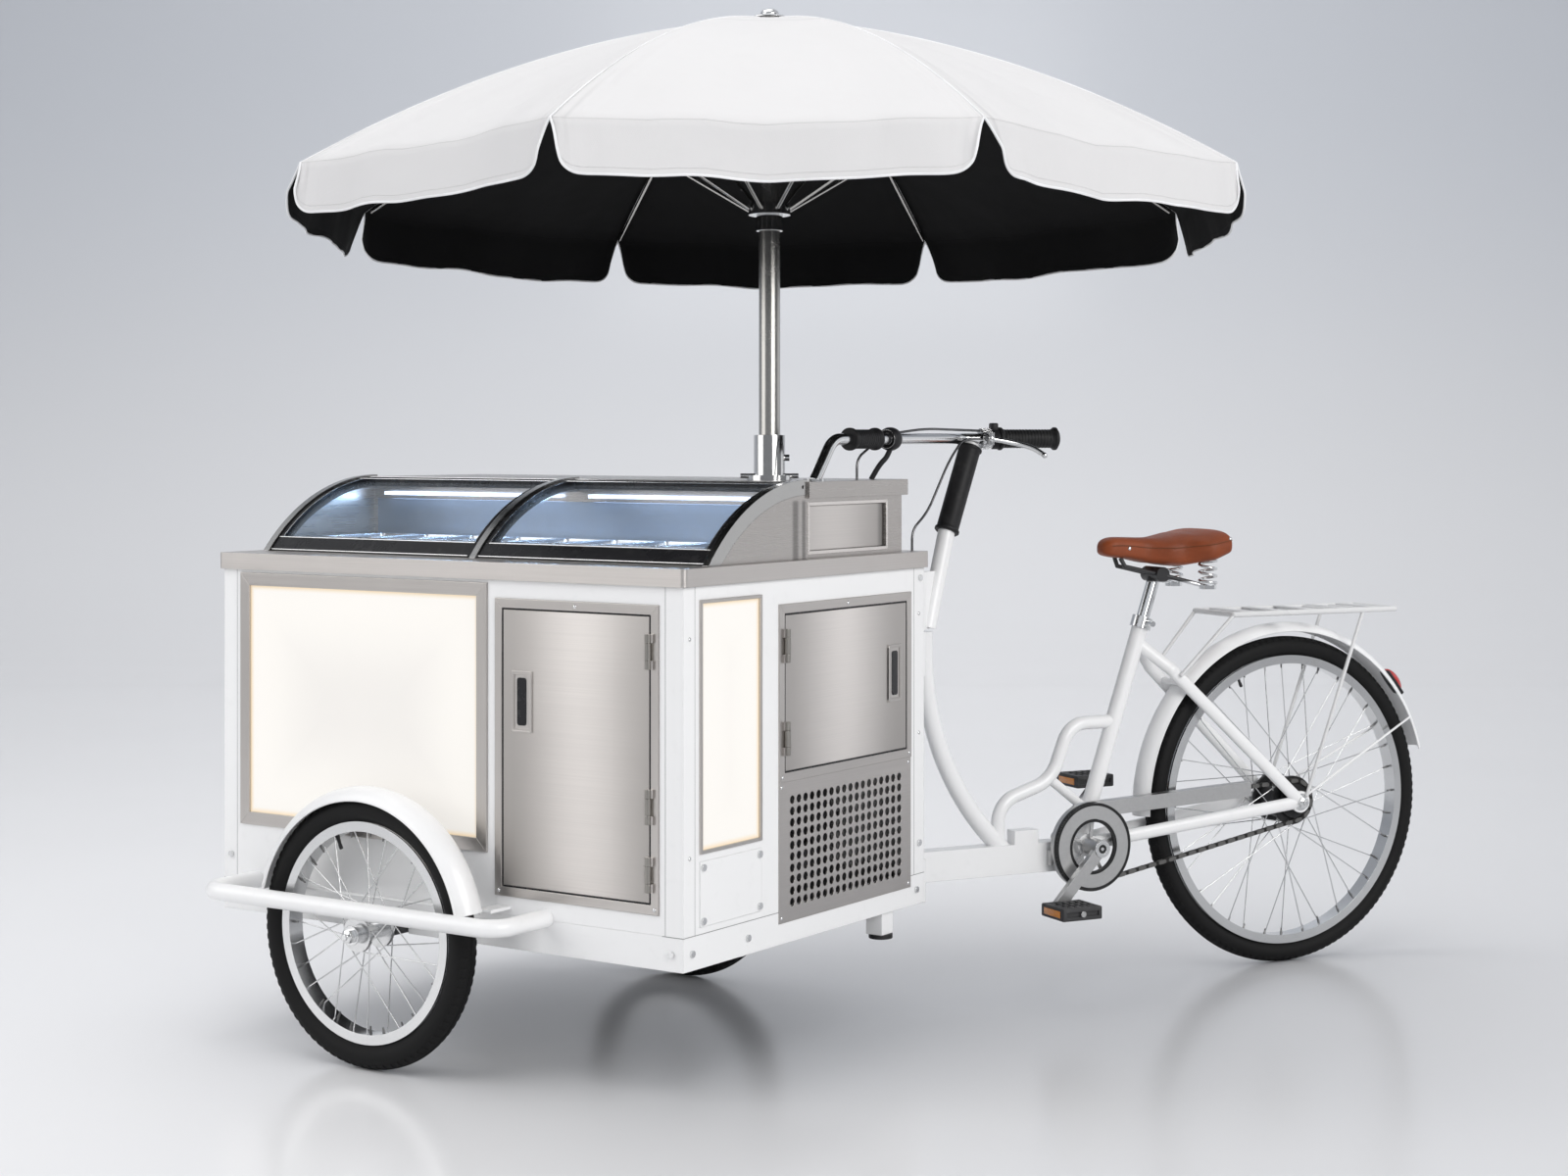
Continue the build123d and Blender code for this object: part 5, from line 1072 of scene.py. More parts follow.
@dataclass
class Studio:
    """Pale sweep, soft lights and the camera."""

    heading: float = 33.86
    camera_place: Point = (2.7272, -4.3029, 1.1382)
    lens: float = 58.5
    sensor: float = 36.0
    shift: float = -0.09875
    floor_front: float = -60.0
    floor_back: float = 10.4
    half_width: float = 90.0
    wall: float = 14.0
    bend: float = 4.0
    boxes: tuple[SoftBox, ...] = (
        SoftBox("front_box", (-3.6, -5.2, 3.6), (0.0, 0.0, 0.7), 5.6, 156.0),
        SoftBox("end_box", (7.0, -2.2, 3.8), (0.2, 0.0, 0.7), 4.8, 340.0, Floor.SPARED),
        SoftBox("top_box", (-0.9, -0.4, 5.6), (0.0, 0.0, 0.0), 4.5, 98.0),
        SoftBox("back_box", (2.6, 3.6, 1.1), (0.2, -0.3, 0.7), 3.2, 13.0, Floor.SPARED),
        SoftBox("wall_wash", (-3.1, 5.2, 6.6), (-5.6, 8.9, 1.8), 4.0, 108.0),
        SoftBox("floor_fill", (1.3, -2.3, 6.4), (1.3, -2.3, 0.0), 5.0, 95.0, Floor.ALONE),
    )
    strips: tuple[LightStrip, ...] = (
        LightStrip("cold_strip_left", (-0.49, -0.03)), LightStrip("cold_strip_right", (0.03, 0.49)),
    )
    air: Spans = ((0.0, 0.2), (0.14, 0.26), (0.32, 0.8), (0.62, 0.72), (1.0, 0.34))
    air_tint: Point = (0.96, 0.98, 1.02)

    def build(self) -> None:
        """Makes the stage, the lights and the camera."""
        sheet = self.sweep()
        for box in self.boxes:
            box.hang(sheet)
        for strip in self.strips:
            strip.hang()
        self.surround()
        self.camera()
        bpy.context.scene.view_settings.view_transform = "Standard"

    def sweep(self) -> Piece:
        """Floor and backdrop in one bent sheet.

        Returns:
            The sheet.
        """
        sheet = plane()
        sheet.name = "studio_sweep"
        for vert in sheet.data.vertices:
            vert.co.x *= 2 * self.half_width
            vert.co.y = self.floor_front if vert.co.y < 0 else self.floor_back
        behind = self.floor_back - 0.1
        with editing(sheet):
            pick(sheet, Kind.EDGE, lambda a, b: min(a.y, b.y) > behind)
            raised(self.wall)
            pick(sheet, Kind.EDGE, lambda a, b: min(a.y, b.y) > behind and max(a.z, b.z) < 0.1)
            rounded(self.bend, 24)
        sheet.data.transform(spin(self.heading, "Z"))
        # Painted shade: the sweep darkens from the floor up the wall.
        mix = Recipe("studio_floor")
        cloud = mix.noise(0.5, 3.0)
        floor = mix.blend(cloud, rgb(0.88, 0.88, 0.89), rgb(0.91, 0.91, 0.92))
        sheet.data.materials.append(mix.surface({
            "Base Color": mix.blend(mix.axes()[2].step(-0.4, 3.6), floor, rgb(0.66, 0.685, 0.73)),
            "Roughness": 0.19 + 0.05 * cloud,
            "Specular IOR Level": 0.4,
        }))
        only(sheet)
        bpy.ops.object.shade_smooth()
        return sheet

    def surround(self) -> None:
        """Air that darkens round the horizon, so that bright metal has something to show."""
        world = bpy.data.worlds.new("studio_air")
        world.use_nodes = True
        tree = world.node_tree
        way = tree.nodes.new("ShaderNodeTexCoord")
        parts = tree.nodes.new("ShaderNodeSeparateXYZ")
        ramp = tree.nodes.new("ShaderNodeValToRGB")
        tree.links.new(way.outputs["Generated"], parts.inputs[0])
        tree.links.new(parts.outputs[2], ramp.inputs[0])
        tree.links.new(ramp.outputs[0], tree.nodes["Background"].inputs[0])
        stops = ramp.color_ramp.elements
        for place, _ in self.air[len(stops):]:
            stops.new(place)
        for element, (place, level) in zip(stops, self.air):
            element.position = place
            element.color = rgb(*(level * part for part in self.air_tint))
        bpy.context.scene.world = world

    def camera(self) -> None:
        """The camera of the photograph."""
        data = bpy.data.cameras.new("camera")
        data.lens = self.lens
        data.sensor_width = self.sensor
        data.shift_y = self.shift
        view = bpy.data.objects.new("camera", data)
        view.location = self.camera_place
        view.rotation_euler = (math.radians(90.0), 0.0, math.radians(self.heading))
        bpy.context.scene.collection.objects.link(view)
        bpy.context.scene.camera = view


@dataclass(frozen=True)
class Wave:
    """A ripple in the cloth: its height, and its turns across a panel, along it and from panel to panel."""

    height: float
    across: float
    along: float
    panel: float

    def at(self, index: int, across: float, along: float) -> float:
        """Height of the ripple at a place on a panel."""
        return self.height * math.sin(self.across * across + self.along * along + self.panel * index)


@dataclass
class Parasol:
    """Cloth canopy with its valance, piping and finial, about the pole."""

    stock: Stock
    top: float = 0.874
    radius: float = 0.889
    drop: float = 0.325
    slope: float = 0.12
    hole: float = 0.0235
    panels: int = 8
    across: int = 24
    along: int = 26
    crowding: float = 0.125
    hollow: float = 0.012
    hollow_shape: Span = (1.15, 0.6)
    pinch: float = 0.006
    ripple_growth: float = 1.5
    ripples: tuple[Wave, ...] = (Wave(0.0036, 11.0, 5.0, 1.7), Wave(0.002, 25.0, -7.0, 1.0))
    valance: float = 0.092
    flare: float = 0.02
    taper: float = 0.013
    taper_curve: float = 0.7
    corner: float = 0.04
    valance_rows: int = 7
    waves: tuple[Wave, ...] = (
        Wave(0.0062, 8.0, 0.0, 2.3), Wave(0.0042, 21.0, 0.0, 1.0), Wave(0.0016, 47.0, 0.0, 3.0)
    )
    thickness: float = 0.0014
    weld: float = 0.0004
    piping: float = 0.0021
    piping_steps: int = 28
    corner_steps: int = 5
    seam_radius: float = 0.0016
    seam_start: float = 0.03
    seam_steps: int = 16
    knob: Spans = (
        (0.0, 0.0125), (0.0065, 0.0121), (0.0125, 0.0102), (0.0165, 0.0068), (0.0178, 0.0026),
        (0.0168, 0.0002), (0.0205, -0.0004), (0.0305, -0.0022), (0.0362, -0.0048), (0.0366, -0.0064),
        (0.0, -0.0064),
    )
    knob_lift: float = 0.0062

    def build(self) -> None:
        """Makes the canopy and what is sewn or screwed to it."""
        canopy, area = self.canopy()
        edges = [self.edging(index) for index in range(self.panels)]
        seams = [self.seam(index) for index in range(self.panels)]
        trim = dress(
            "canopy_piping", edges + seams, "umbrella", self.stock.piping, PARASOL
        )
        knob = turned(self.knob, 32)
        lift = move(0.0, 0.0, self.top + self.knob_lift)
        dress("finial_knob", [knob], "umbrella", self.stock.chrome, PARASOL @ lift)

    def height(self, reach: float) -> float:
        """Height of a seam at a distance from the pole."""
        bend = (self.drop - self.slope * self.radius) / self.radius**2
        return self.top - self.slope * reach - bend * reach**2

    def rib_angle(self, index: int) -> float:
        """Angle of a seam about the pole, in radians."""
        return 2 * math.pi * (index + 0.5) / self.panels - math.pi / 2

    def eased(self, column: float) -> float:
        """Place across a panel of an even column, closer together near the seams."""
        return column - self.crowding * math.sin(math.tau * column)

    def skin(self, index: int, across: float, along: float) -> Vector:
        """Point on a panel, hollow between its two seams.

        Args:
            index: The panel's number.
            across: 0 at one seam, 1 at the next.
            along: 0 at the pole, 1 at the rim.

        Returns:
            The point about the pole.
        """
        reach = lerp(self.hole, self.radius, along)
        left, right = (polar(self.rib_angle(seam), reach) for seam in (index - 1, index))
        slack = 4.0 * across * (1.0 - across)
        point = left.lerp(right, across) * (1.0 - self.pinch * slack * along)
        swell = slack * along**self.ripple_growth
        ripple = swell * sum(wave.at(index, across, along) for wave in self.ripples)
        sag = self.hollow * slack * along * lerp(*self.hollow_shape, along)
        return Vector((point.x, point.y, self.height(reach) - sag + ripple))

    def flap(self, index: int, across: float, down: float) -> Vector:
        """Point on a panel's hanging flap.

        Args:
            index: The panel's number.
            across: 0 at one seam, 1 at the next.
            down: 0 at the rim, 1 at the lower edge.

        Returns:
            The point about the pole.
        """
        edge = self.skin(index, across, 1.0)
        middle = (self.rib_angle(index - 1) + self.rib_angle(index)) / 2
        out, side = polar(middle).to_3d(), polar(middle + math.pi / 2).to_3d()
        half = self.radius * math.sin(math.pi / self.panels)
        offset = 2.0 * across - 1.0
        rest = abs(offset * (half - self.taper)) - (half - self.taper - self.corner)
        lift = self.corner - math.sqrt(self.corner**2 - rest**2) if rest > 0 else 0.0
        wave = down * sum(wave.at(index, across, 0.0) for wave in self.waves)
        point = side * offset * (half - self.taper * down**self.taper_curve)
        point += out * (edge.dot(out) + self.flare * down + wave)
        point.z = edge.z - (self.valance - lift) * down
        return point

    def panel(self, index: int) -> Piece:
        """One panel with its flap, as one grid of cloth.

        Args:
            index: The panel's number.

        Returns:
            The grid, with its panel map alone.
        """
        clear()
        rows = self.along + self.valance_rows
        bpy.ops.mesh.primitive_grid_add(x_subdivisions=self.across, y_subdivisions=rows, size=1.0)
        cloth = placed()
        rim = self.along / rows
        layers = cloth.data.uv_layers
        for name in [layer.name for layer in layers]:
            layers.remove(layers[name])
        layer = layers.new(name="panel")
        for loop in cloth.data.loops:
            flat = cloth.data.vertices[loop.vertex_index].co
            layer.data[loop.index].uv = (flat.x + 0.5, flat.y + 0.5)
        for vert in cloth.data.vertices:
            across, share = self.eased(vert.co.x + 0.5), vert.co.y + 0.5
            if share <= rim + 0.0001:
                vert.co = self.skin(index, across, share / rim)
            else:
                vert.co = self.flap(index, across, (share - rim) / (1.0 - rim))
        return cloth

    def canopy(self) -> tuple[Piece, float]:
        """The whole canopy as one sheet, white above and black below.

        Returns:
            The canopy, and the area of its cloth.
        """
        cloth = joined([self.panel(index) for index in range(self.panels)], self.weld)
        if sum(face.normal.z * face.area for face in cloth.data.polygons) < 0:
            with editing(cloth):
                bpy.ops.mesh.flip_normals()
        area = sum(face.area for face in cloth.data.polygons)
        for layer in (self.stock.cloth, self.stock.lining):
            cloth.data.materials.append(layer)
        modified(
            cloth, "SOLIDIFY", thickness=self.thickness, offset=-1.0, material_offset=1,
            material_offset_rim=0,
        )
        dress(
            "canopy", [cloth], "umbrella", self.stock.cloth, PARASOL, ["umbrella_canopy"],
            60.0,
        )
        return cloth, area

    def edging(self, index: int) -> Piece:
        """Piping round the free edge of a panel's flap."""
        sides = [step / self.corner_steps for step in range(self.corner_steps + 1)]
        lower = [self.eased(step / self.piping_steps) for step in range(1, self.piping_steps)]
        line = [self.flap(index, 0.0, step) for step in sides]
        line += [self.flap(index, step, 1.0) for step in lower]
        line += [self.flap(index, 1.0, 1.0 - step) for step in sides]
        return wire(line, self.piping, sides=2)

    def seam(self, index: int) -> Piece:
        """Raised seam over a rib."""
        steps = [lerp(self.seam_start, 1.0, step / self.seam_steps) for step in range(self.seam_steps + 1)]
        line = [self.skin(index, 1.0, along) for along in steps]
        return wire(line, self.seam_radius, sides=2)


@dataclass
class Seat:
    """Leather saddle with its rivets and springs, in the bicycle's frame."""

    stock: Stock
    front: float = 0.46
    length: float = 0.281
    base: float = 0.878
    height: float = 0.056
    half_width: float = 0.106
    middle: float = 0.42
    end_round: float = 0.06
    side_curve: float = 0.62
    top_curve: float = 0.8
    low_curve: float = 0.5
    widths: Spans = (
        (0.0, 0.2), (0.1, 0.27), (0.32, 0.32), (0.56, 0.62), (0.8, 0.99), (0.92, 0.98), (1.0, 0.86)
    )
    tops: Spans = ((0.0, 0.66), (0.12, 0.78), (0.42, 0.74), (0.7, 0.92), (0.88, 1.04), (1.0, 1.0))
    bottoms: Spans = (
        (0.0, 0.1), (0.15, 0.0), (0.42, -0.22), (0.6, -0.34), (0.78, -0.2), (1.0, 0.12)
    )
    grid: tuple[int, int] = (56, 44)
    crowding: float = 0.55
    seam_turn: float = 14.0
    seam_span: Span = (0.06, 0.94)
    seam_steps: int = 32
    seam_radius: float = 0.0011
    seam_lift: float = 0.0002
    rivet: Spans = ((0.0, 0.0022), (0.0022, 0.0018), (0.0038, 0.0007), (0.0042, 0.0), (0.0, -0.002))
    rivet_spots: Spans = ((0.2, 4.0), (0.2, 176.0), (0.93, 20.0), (0.93, 160.0))
    rivet_rise: float = 0.25
    spring_place: Span = (0.69, 0.062)
    spring_z: Span = (0.8235, 0.8745)
    spring_radius: float = 0.018
    spring_wire: float = 0.003
    spring_rise: Spans = ((0.0, 0.0), (0.12, 0.03), (0.5, 0.5), (0.88, 0.97), (1.0, 1.0))
    flat_ends: float = 0.35
    turns: float = 3.5
    turn_steps: int = 16

    def build(self) -> None:
        """Makes the saddle and its springs."""
        self.pad()
        self.seams()
        self.rivets()
        self.springs()

    def surface(self, share: float, turn: float, grow: float = 0.0) -> Vector:
        """Point on the saddle.

        Args:
            share: Place along it, from nose to tail.
            turn: Angle round its section, 0 to the side, 90 degrees up.
            grow: Distance outside the surface.

        Returns:
            The point in the bicycle's frame.
        """
        half = smooth(self.widths, share) * self.half_width + grow
        top = self.base + smooth(self.tops, share) * self.height + grow
        low = self.base + smooth(self.bottoms, share) * self.height - grow
        middle = lerp(low, top, self.middle)
        side, up = math.cos(turn), math.sin(turn)
        end = min(1.0, min(share, 1.0 - share) / self.end_round)
        pinch = math.sqrt(end * (2.0 - end))
        y = math.copysign(abs(side) ** self.side_curve, side) * half * pinch
        if up > 0:
            z = middle + up**self.top_curve * (top - middle) * pinch
        else:
            z = middle - (-up) ** self.low_curve * (middle - low) * pinch
        return Vector((self.front + share * self.length, y, z))

    def pad(self) -> None:
        """The leather cover as one crowned closed form."""
        cover = ball(*self.grid)
        for vert in cover.data.vertices:
            share = 0.5 - math.asin(max(-1.0, min(1.0, vert.co.z))) / math.pi
            share = lerp(share, 0.5 - 0.5 * math.cos(math.pi * share), self.crowding)
            vert.co = self.surface(share, math.atan2(vert.co.y, vert.co.x))
        with editing(cover):
            bpy.ops.mesh.remove_doubles(threshold=0.00005)
            bpy.ops.mesh.normals_make_consistent(inside=False)
        modified(cover, "SUBSURF", levels=1, render_levels=1)
        dress("saddle_cover", [cover], "seat", self.stock.leather, BIKE, ["saddle"], 75.0)

    def seams(self) -> None:
        """A raised seam along each side."""
        turn = math.radians(self.seam_turn)
        shares = [lerp(*self.seam_span, step / self.seam_steps) for step in range(self.seam_steps + 1)]
        line = [self.surface(share, turn, self.seam_lift) for share in shares]
        lines = [[(x, side * y, z) for x, y, z in line] for side in (1.0, -1.0)]
        seams = [wire(points, self.seam_radius, sides=1) for points in lines]
        dress("saddle_seams", seams, "seat", self.stock.leather_edge, BIKE)

    def rivets(self) -> None:
        """Silver rivets near the nose and the tail."""
        places = []
        for share, turn in self.rivet_spots:
            angle = math.radians(turn)
            out = Vector((0.0, math.cos(angle), self.rivet_rise * math.sin(angle))).normalized()
            places.append(aimed(self.surface(share, angle), out))
        rivets = scattered(turned(self.rivet, 16), places)
        dress("saddle_rivets", [rivets], "seat", self.stock.chrome, BIKE)

    def springs(self) -> None:
        """Two coil springs with flat end turns."""
        coils = []
        x, y = self.spring_place
        count = int(self.turns * self.turn_steps)
        for side in SIDES:
            line = []
            for share in (step / count for step in range(count + 1)):
                rise = lerp(share, smooth(self.spring_rise, share), self.flat_ends)
                spot = Vector((x, y)) + polar(math.tau * self.turns * share, self.spring_radius)
                line.append((spot.x, side * spot.y, lerp(*self.spring_z, rise)))
            coils.append(wire(line, self.spring_wire))
        dress(
            "saddle_coils", coils, "seat", self.stock.chrome, BIKE,
            ["saddle_springs"], 60.0,
        )


@dataclass(frozen=True)
class Wheel:
    """Sizes of a wheel: its tyre, its rim, the edges of its fender and half its axle."""

    radius: float
    section: float
    bead: float
    blocks: int
    rim_inner: float
    spokes: int
    lip_radius: float
    lip_half: float
    lip_span: Span
    axle_reach: float


@dataclass
class Tyre:
    """One tyre with a moulded tread, turned about its axle; shares are of half its section."""

    stock: Stock
    name: str
    node: str
    body: str
    wheel: Wheel
    place: Matrix
    tread: float = 0.0011
    beads: Spans = ((0.0, 0.42), (0.003, 0.6))
    walls: Spans = ((-0.35, 0.88), (0.0, 0.985), (0.32, 0.93), (0.55, 0.8))
    crowns: Spans = ((0.19, 0.6), (0.07, 0.36), (0.0, 0.12))
    tread_depth: float = 0.5
    rib_half: float = 0.13
    block_from: float = 0.3

    def build(self) -> None:
        """Makes the tyre in place of its plain ring."""
        half = self.wheel.section / 2
        crown, centre = self.wheel.radius - self.tread, self.wheel.radius - half
        profile = [(self.wheel.bead + rise, across * half) for rise, across in self.beads]
        profile += [(centre + rise * half, across * half) for rise, across in self.walls]
        profile += [(crown - sink * half, across * half) for sink, across in self.crowns]
        profile += [(radius, -along) for radius, along in reversed(profile)]
        ring = turned(profile, self.wheel.blocks * 2, True)
        with editing(ring):
            pick(ring, Kind.FACE, self.on_tread)
            grown(self.tread)
            outward()
        place = self.place @ AXLE_ALONG_Y
        dress(self.name, [ring], self.body, self.stock.tyre, place, [self.node], 32.0)

    def on_tread(self, middle: Vector, normal: Vector) -> bool:
        """Whether a face belongs to a raised tread block.

        Args:
            middle: The face's middle.
            normal: The face's normal; not used.

        Returns:
            True for the blocks and the middle rib.
        """
        half, across = self.wheel.section / 2, abs(middle.z)
        if math.hypot(middle.x, middle.y) < self.wheel.radius - self.tread_depth * half:
            return False
        if across < self.rib_half * half:
            return True
        step = int((math.atan2(middle.y, middle.x) / math.tau + 1.0) * self.wheel.blocks * 2)
        return (step + (middle.z > 0)) % 2 == 0 and across > self.block_from * half


@dataclass
class Grip:
    """A ribbed rubber sleeve with a collar at each end."""

    start: Spot
    end: Spot
    radius: float
    collar: float
    bore: float
    cap: bool
    ribs: int
    lip: float = 0.008
    ease: float = 0.002
    rib_height: float = 0.0008
    rib_ease: float = 0.0006
    rib_share: float = 0.62
    waist_gap: float = 0.001
    end_ease: float = 0.003
    dome: Point = (0.006, 0.0022, 0.0034)

    def build(self) -> Piece:
        """Makes the grip along its bar.

        Returns:
            The sleeve, in the cabinet's frame.
        """
        line = Vector(self.end) - Vector(self.start)
        long, lip, ease = line.length, self.lip, self.ease
        neck, waist = self.collar - ease, self.radius + self.waist_gap
        profile = [(self.bore, 0.0), (neck, 0.0), (self.collar, ease), (self.collar, lip - ease),
                   (neck, lip), (waist, lip + ease)]
        first, span = lip + 2 * ease, long - 2 * lip - 4 * ease
        for rib in range(self.ribs):
            low, high = (first + span * share / self.ribs for share in (rib, rib + self.rib_share))
            root = self.radius - self.rib_height
            profile += [(root, low), (self.radius, low + self.rib_ease),
                        (self.radius, high - self.rib_ease), (root, high)]
        profile += [(waist, long - lip - ease), (neck, long - lip), (self.collar, long - lip + ease),
                    (self.collar, long - ease), (self.collar - self.end_ease, long)]
        if self.cap:
            inset, shoulder, top = self.dome
            profile += [(self.collar - inset, long + shoulder), (0.0, long + top)]
        else:
            profile += [(self.bore, long)]
        sleeve = turned(profile, 36)
        sleeve.data.transform(aimed(self.start, line))
        return sleeve


class Band(Enum):
    """Look of a mitred band."""

    STEEL = "brushed steel"
    BRIGHT = "bright steel"
    DARK = "black plastic"


@dataclass
class MitredFrame:
    """Four strips with mitred corners on the face of a frame."""

    stock: Stock
    name: str
    face: Matrix
    across: Span
    up: Span
    band: float
    base: float
    look: Band = Band.STEEL
    proud: float = 0.0009
    ease: float = 0.0006

    def build(self) -> None:
        """Makes the four strips as one piece."""
        outer, inner = self.corners(0.0), self.corners(self.band)
        strips = []
        for index in range(4):
            after = (index + 1) % 4
            strip = self.strip((outer[index], outer[after], inner[index], inner[after]))
            strip.data.materials.append(self.metal(index))
            strips.append(strip)
        dress(self.name, strips, "cart", self.stock.steel, self.face, angle=20.0)

    def corners(self, inset: float) -> list[Span]:
        """The four corners, moved in by a distance."""
        (left, right), (low, high) = self.across, self.up
        left, right, low, high = left + inset, right - inset, low + inset, high - inset
        return [(left, low), (right, low), (right, high), (left, high)]

    def metal(self, index: int) -> Material:
        """Finish of a strip, brushed along it where the band is plain steel."""
        if self.look is Band.STEEL:
            return self.stock.steel_upright if index % 2 else self.stock.steel
        return self.stock.steel_rim if self.look is Band.BRIGHT else self.stock.trim

    def strip(self, corners: Sequence[Span]) -> Piece:
        """One strip with eased edges.

        Args:
            corners: Its corners, outer pair first.

        Returns:
            The strip.
        """
        strip = plane()
        for vert, corner in zip(strip.data.vertices, corners):
            vert.co = (*corner, self.base)
        top = self.base + self.proud
        with editing(strip):
            raised(self.proud)
            pick(strip, Kind.EDGE, lambda a, b: min(a.z, b.z) > top - 0.0001)
            rounded(self.ease, 2)
            outward()
        return strip


@dataclass
class Handle:
    """Recessed pull: a dished steel plate with a black slot."""

    stock: Stock
    name: str
    body: str
    face: Matrix
    middle: Span
    plane: float
    size: Span = (0.047, 0.108)
    slot: Span = (0.021, 0.084)
    proud: float = 0.0026
    sunk: float = 0.001
    slot_sunk: float = 0.0012
    border: float = 0.0035
    dish: float = 0.0018
    ease: float = 0.0005
    corner: float = 0.005

    def build(self) -> None:
        """Makes the plate and its slot."""
        front = self.plane + self.proud
        plate = self.slab(self.size, self.plane - self.sunk, front)
        with editing(plate):
            pick(plate, Kind.FACE, lambda middle, normal: normal.z > 0.9)
            bpy.ops.mesh.inset(thickness=self.border)
            raised(-self.dish)
            pick(plate, Kind.EDGE, lambda a, b: min(a.z, b.z) > front - 0.0001)
            rounded(self.ease, 2)
        dress(
            f"{self.name}_plate", [plate], self.body, self.stock.steel, self.face, angle=20.0
        )
        slot = self.slab(self.slot, self.plane, front - self.slot_sunk)
        dress(f"{self.name}_slot", [slot], self.body, self.stock.trim, self.face)

    def slab(self, size: Span, low: float, high: float) -> Piece:
        """A flat block with round corners.

        Args:
            size: Its width and height.
            low: Depth of its back.
            high: Depth of its front.

        Returns:
            The block.
        """
        first = [middle - part / 2 for middle, part in zip(self.middle, size)]
        second = [middle + part / 2 for middle, part in zip(self.middle, size)]
        slab = block((*first, low), (*second, high))
        with editing(slab):
            pick(slab, Kind.EDGE, lambda a, b: abs(a.z - b.z) > 0.0005)
            rounded(self.corner, 4)
        return slab


@dataclass
class Cabinet:
    """Frames, handles, joints and screws on the cabinet's walls."""

    stock: Stock
    joint_half: float = 0.0006
    joint_width: float = 0.0008
    joint_depth: Span = (-0.0004, 0.0003)
    post_width: float = 0.034
    pin_out: float = 0.0073
    knuckle: Span = (0.005, 0.0056)
    knuckle_ease: float = 0.0004
    fixed_knuckles: Spans = ((-0.0298, -0.0154), (0.0154, 0.0298))
    moving_knuckles: Spans = ((-0.0146, 0.0146),)
    foot: Point = (0.524, 0.268, 0.0)
    pad: Spans = (
        (0.0, 0.1797), (0.0222, 0.1797), (0.0228, 0.1803), (0.0228, 0.1872), (0.0222, 0.1881), (0.0, 0.1881)
    )
    pocket: Corners = ((0.0165, 0.9245, -0.0216), (0.2795, 1.0055, -0.0202))
    pocket_ease: float = 0.0005
    panel_z: Span = (0.33, 0.862)
    panel_sunk: float = 0.001
    panel_proud: float = 0.0022
    panel_ease: float = 0.0012
    bolt_inset: float = 0.018
    skirt_bolt: Span = (0.024, 0.259)
    bolt: Spans = (
        (0.0, 0.0039), (0.0028, 0.0037), (0.0052, 0.0024), (0.006, 0.0008), (0.006, -0.0006), (0.0, -0.0006)
    )
    screw: Spans = ((0.0, 0.0021), (0.0018, 0.0018), (0.0034, 0.0008), (0.0038, 0.0), (0.0, -0.0006))

    def build(self) -> None:
        """Makes the trim of the walls."""
        self.frames()
        Handle(self.stock, "side_pull", "side_door_body", SIDE_FACE, (0.1955, 0.667), 0.002).build()
        Handle(self.stock, "end_pull", "end_door_body", END_FACE, (0.2815, 0.683), 0.002).build()
        self.hinges("side", SIDE_FACE, 0.475, (0.768, 0.505, 0.39))
        self.hinges("end", END_FACE, -0.09, (0.76, 0.595))
        pad = turned(self.pad, 32)
        dress("foot_pad", [pad], "cart", self.stock.rubber, CART @ move(*self.foot))
        plate = block(*self.pocket, self.pocket_ease)
        dress("pocket_plate", [plate], "cart", self.stock.steel_pocket, END_FACE, angle=20.0)
        self.joints("side", SIDE_FACE, ((-HALF_LENGTH, 0.112), (0.5, HALF_LENGTH)), (-0.51, 0.5062))
        self.joints("end", END_FACE, ((-HALF_WIDTH, -0.109), (0.344, HALF_WIDTH)), (-0.3622, 0.357))
        self.screws()
        self.plain_wall("back", BACK_FACE, (-0.335, 0.5), HALF_LENGTH)
        self.plain_wall("far_end", FAR_FACE, (-0.35, 0.35), HALF_WIDTH)

    def frames(self) -> None:
        """Bezels of the lit panels, bands and dark gaps of the doors, and the pocket's rim in a lighter steel
        as a painted highlight.
        """
        for name, face, across, up, band, base, look in (
            ("side_bezel", SIDE_FACE, (-0.498, 0.115), (0.395, 0.873), 0.024, 0.003, Band.STEEL),
            ("side_door_band", SIDE_FACE, (0.133, 0.494), (0.322, 0.847), 0.0163, 0.002, Band.STEEL),
            ("end_bezel", END_FACE, (-0.349, -0.164), (0.424, 0.855), 0.006, 0.003, Band.STEEL),
            ("end_door_band", END_FACE, (-0.109, 0.344), (0.517, 0.834), 0.0163, 0.002, Band.STEEL),
            # The pocket's rim in the lighter steel: a painted highlight.
            ("pocket_rim", END_FACE, (0.009, 0.287), (0.917, 1.013), 0.007, -0.016, Band.BRIGHT),
            ("side_door_gap", SIDE_FACE, (0.1493, 0.4777), (0.3383, 0.8307), 0.003, 0.0013, Band.DARK),
            ("end_door_gap", END_FACE, (-0.0927, 0.3277), (0.5333, 0.8177), 0.003, 0.0013, Band.DARK),
        ):
            MitredFrame(self.stock, name, face, across, up, band, base, look).build()

    def hinges(self, door: str, face: Matrix, along: float, heights: Sequence[float]) -> None:
        """Turned sleeves on a door's hinge knuckles, the middle ones riding on the door.

        Args:
            door: Which door.
            face: The face that it is in.
            along: Place of the pin along the face.
            heights: Middles of the hinges.
        """
        bore, outside = self.knuckle
        ease, side = self.knuckle_ease, outside - self.knuckle_ease
        for part, body, ends in (
            ("fixed", "cart", self.fixed_knuckles),
            ("moving", f"{door}_door_body", self.moving_knuckles),
        ):
            sleeves = []
            for height in heights:
                for low, high in ends:
                    profile = [(bore, low), (side, low), (outside, low + ease), (outside, high - ease),
                               (side, high), (bore, high)]
                    sleeve = turned(profile, 20, True)
                    sleeve.data.transform(move(along, height, self.pin_out) @ AXLE_ALONG_Y)
                    sleeves.append(sleeve)
            dress(f"{door}_{part}_knuckles", sleeves, body, self.stock.hinge, face)

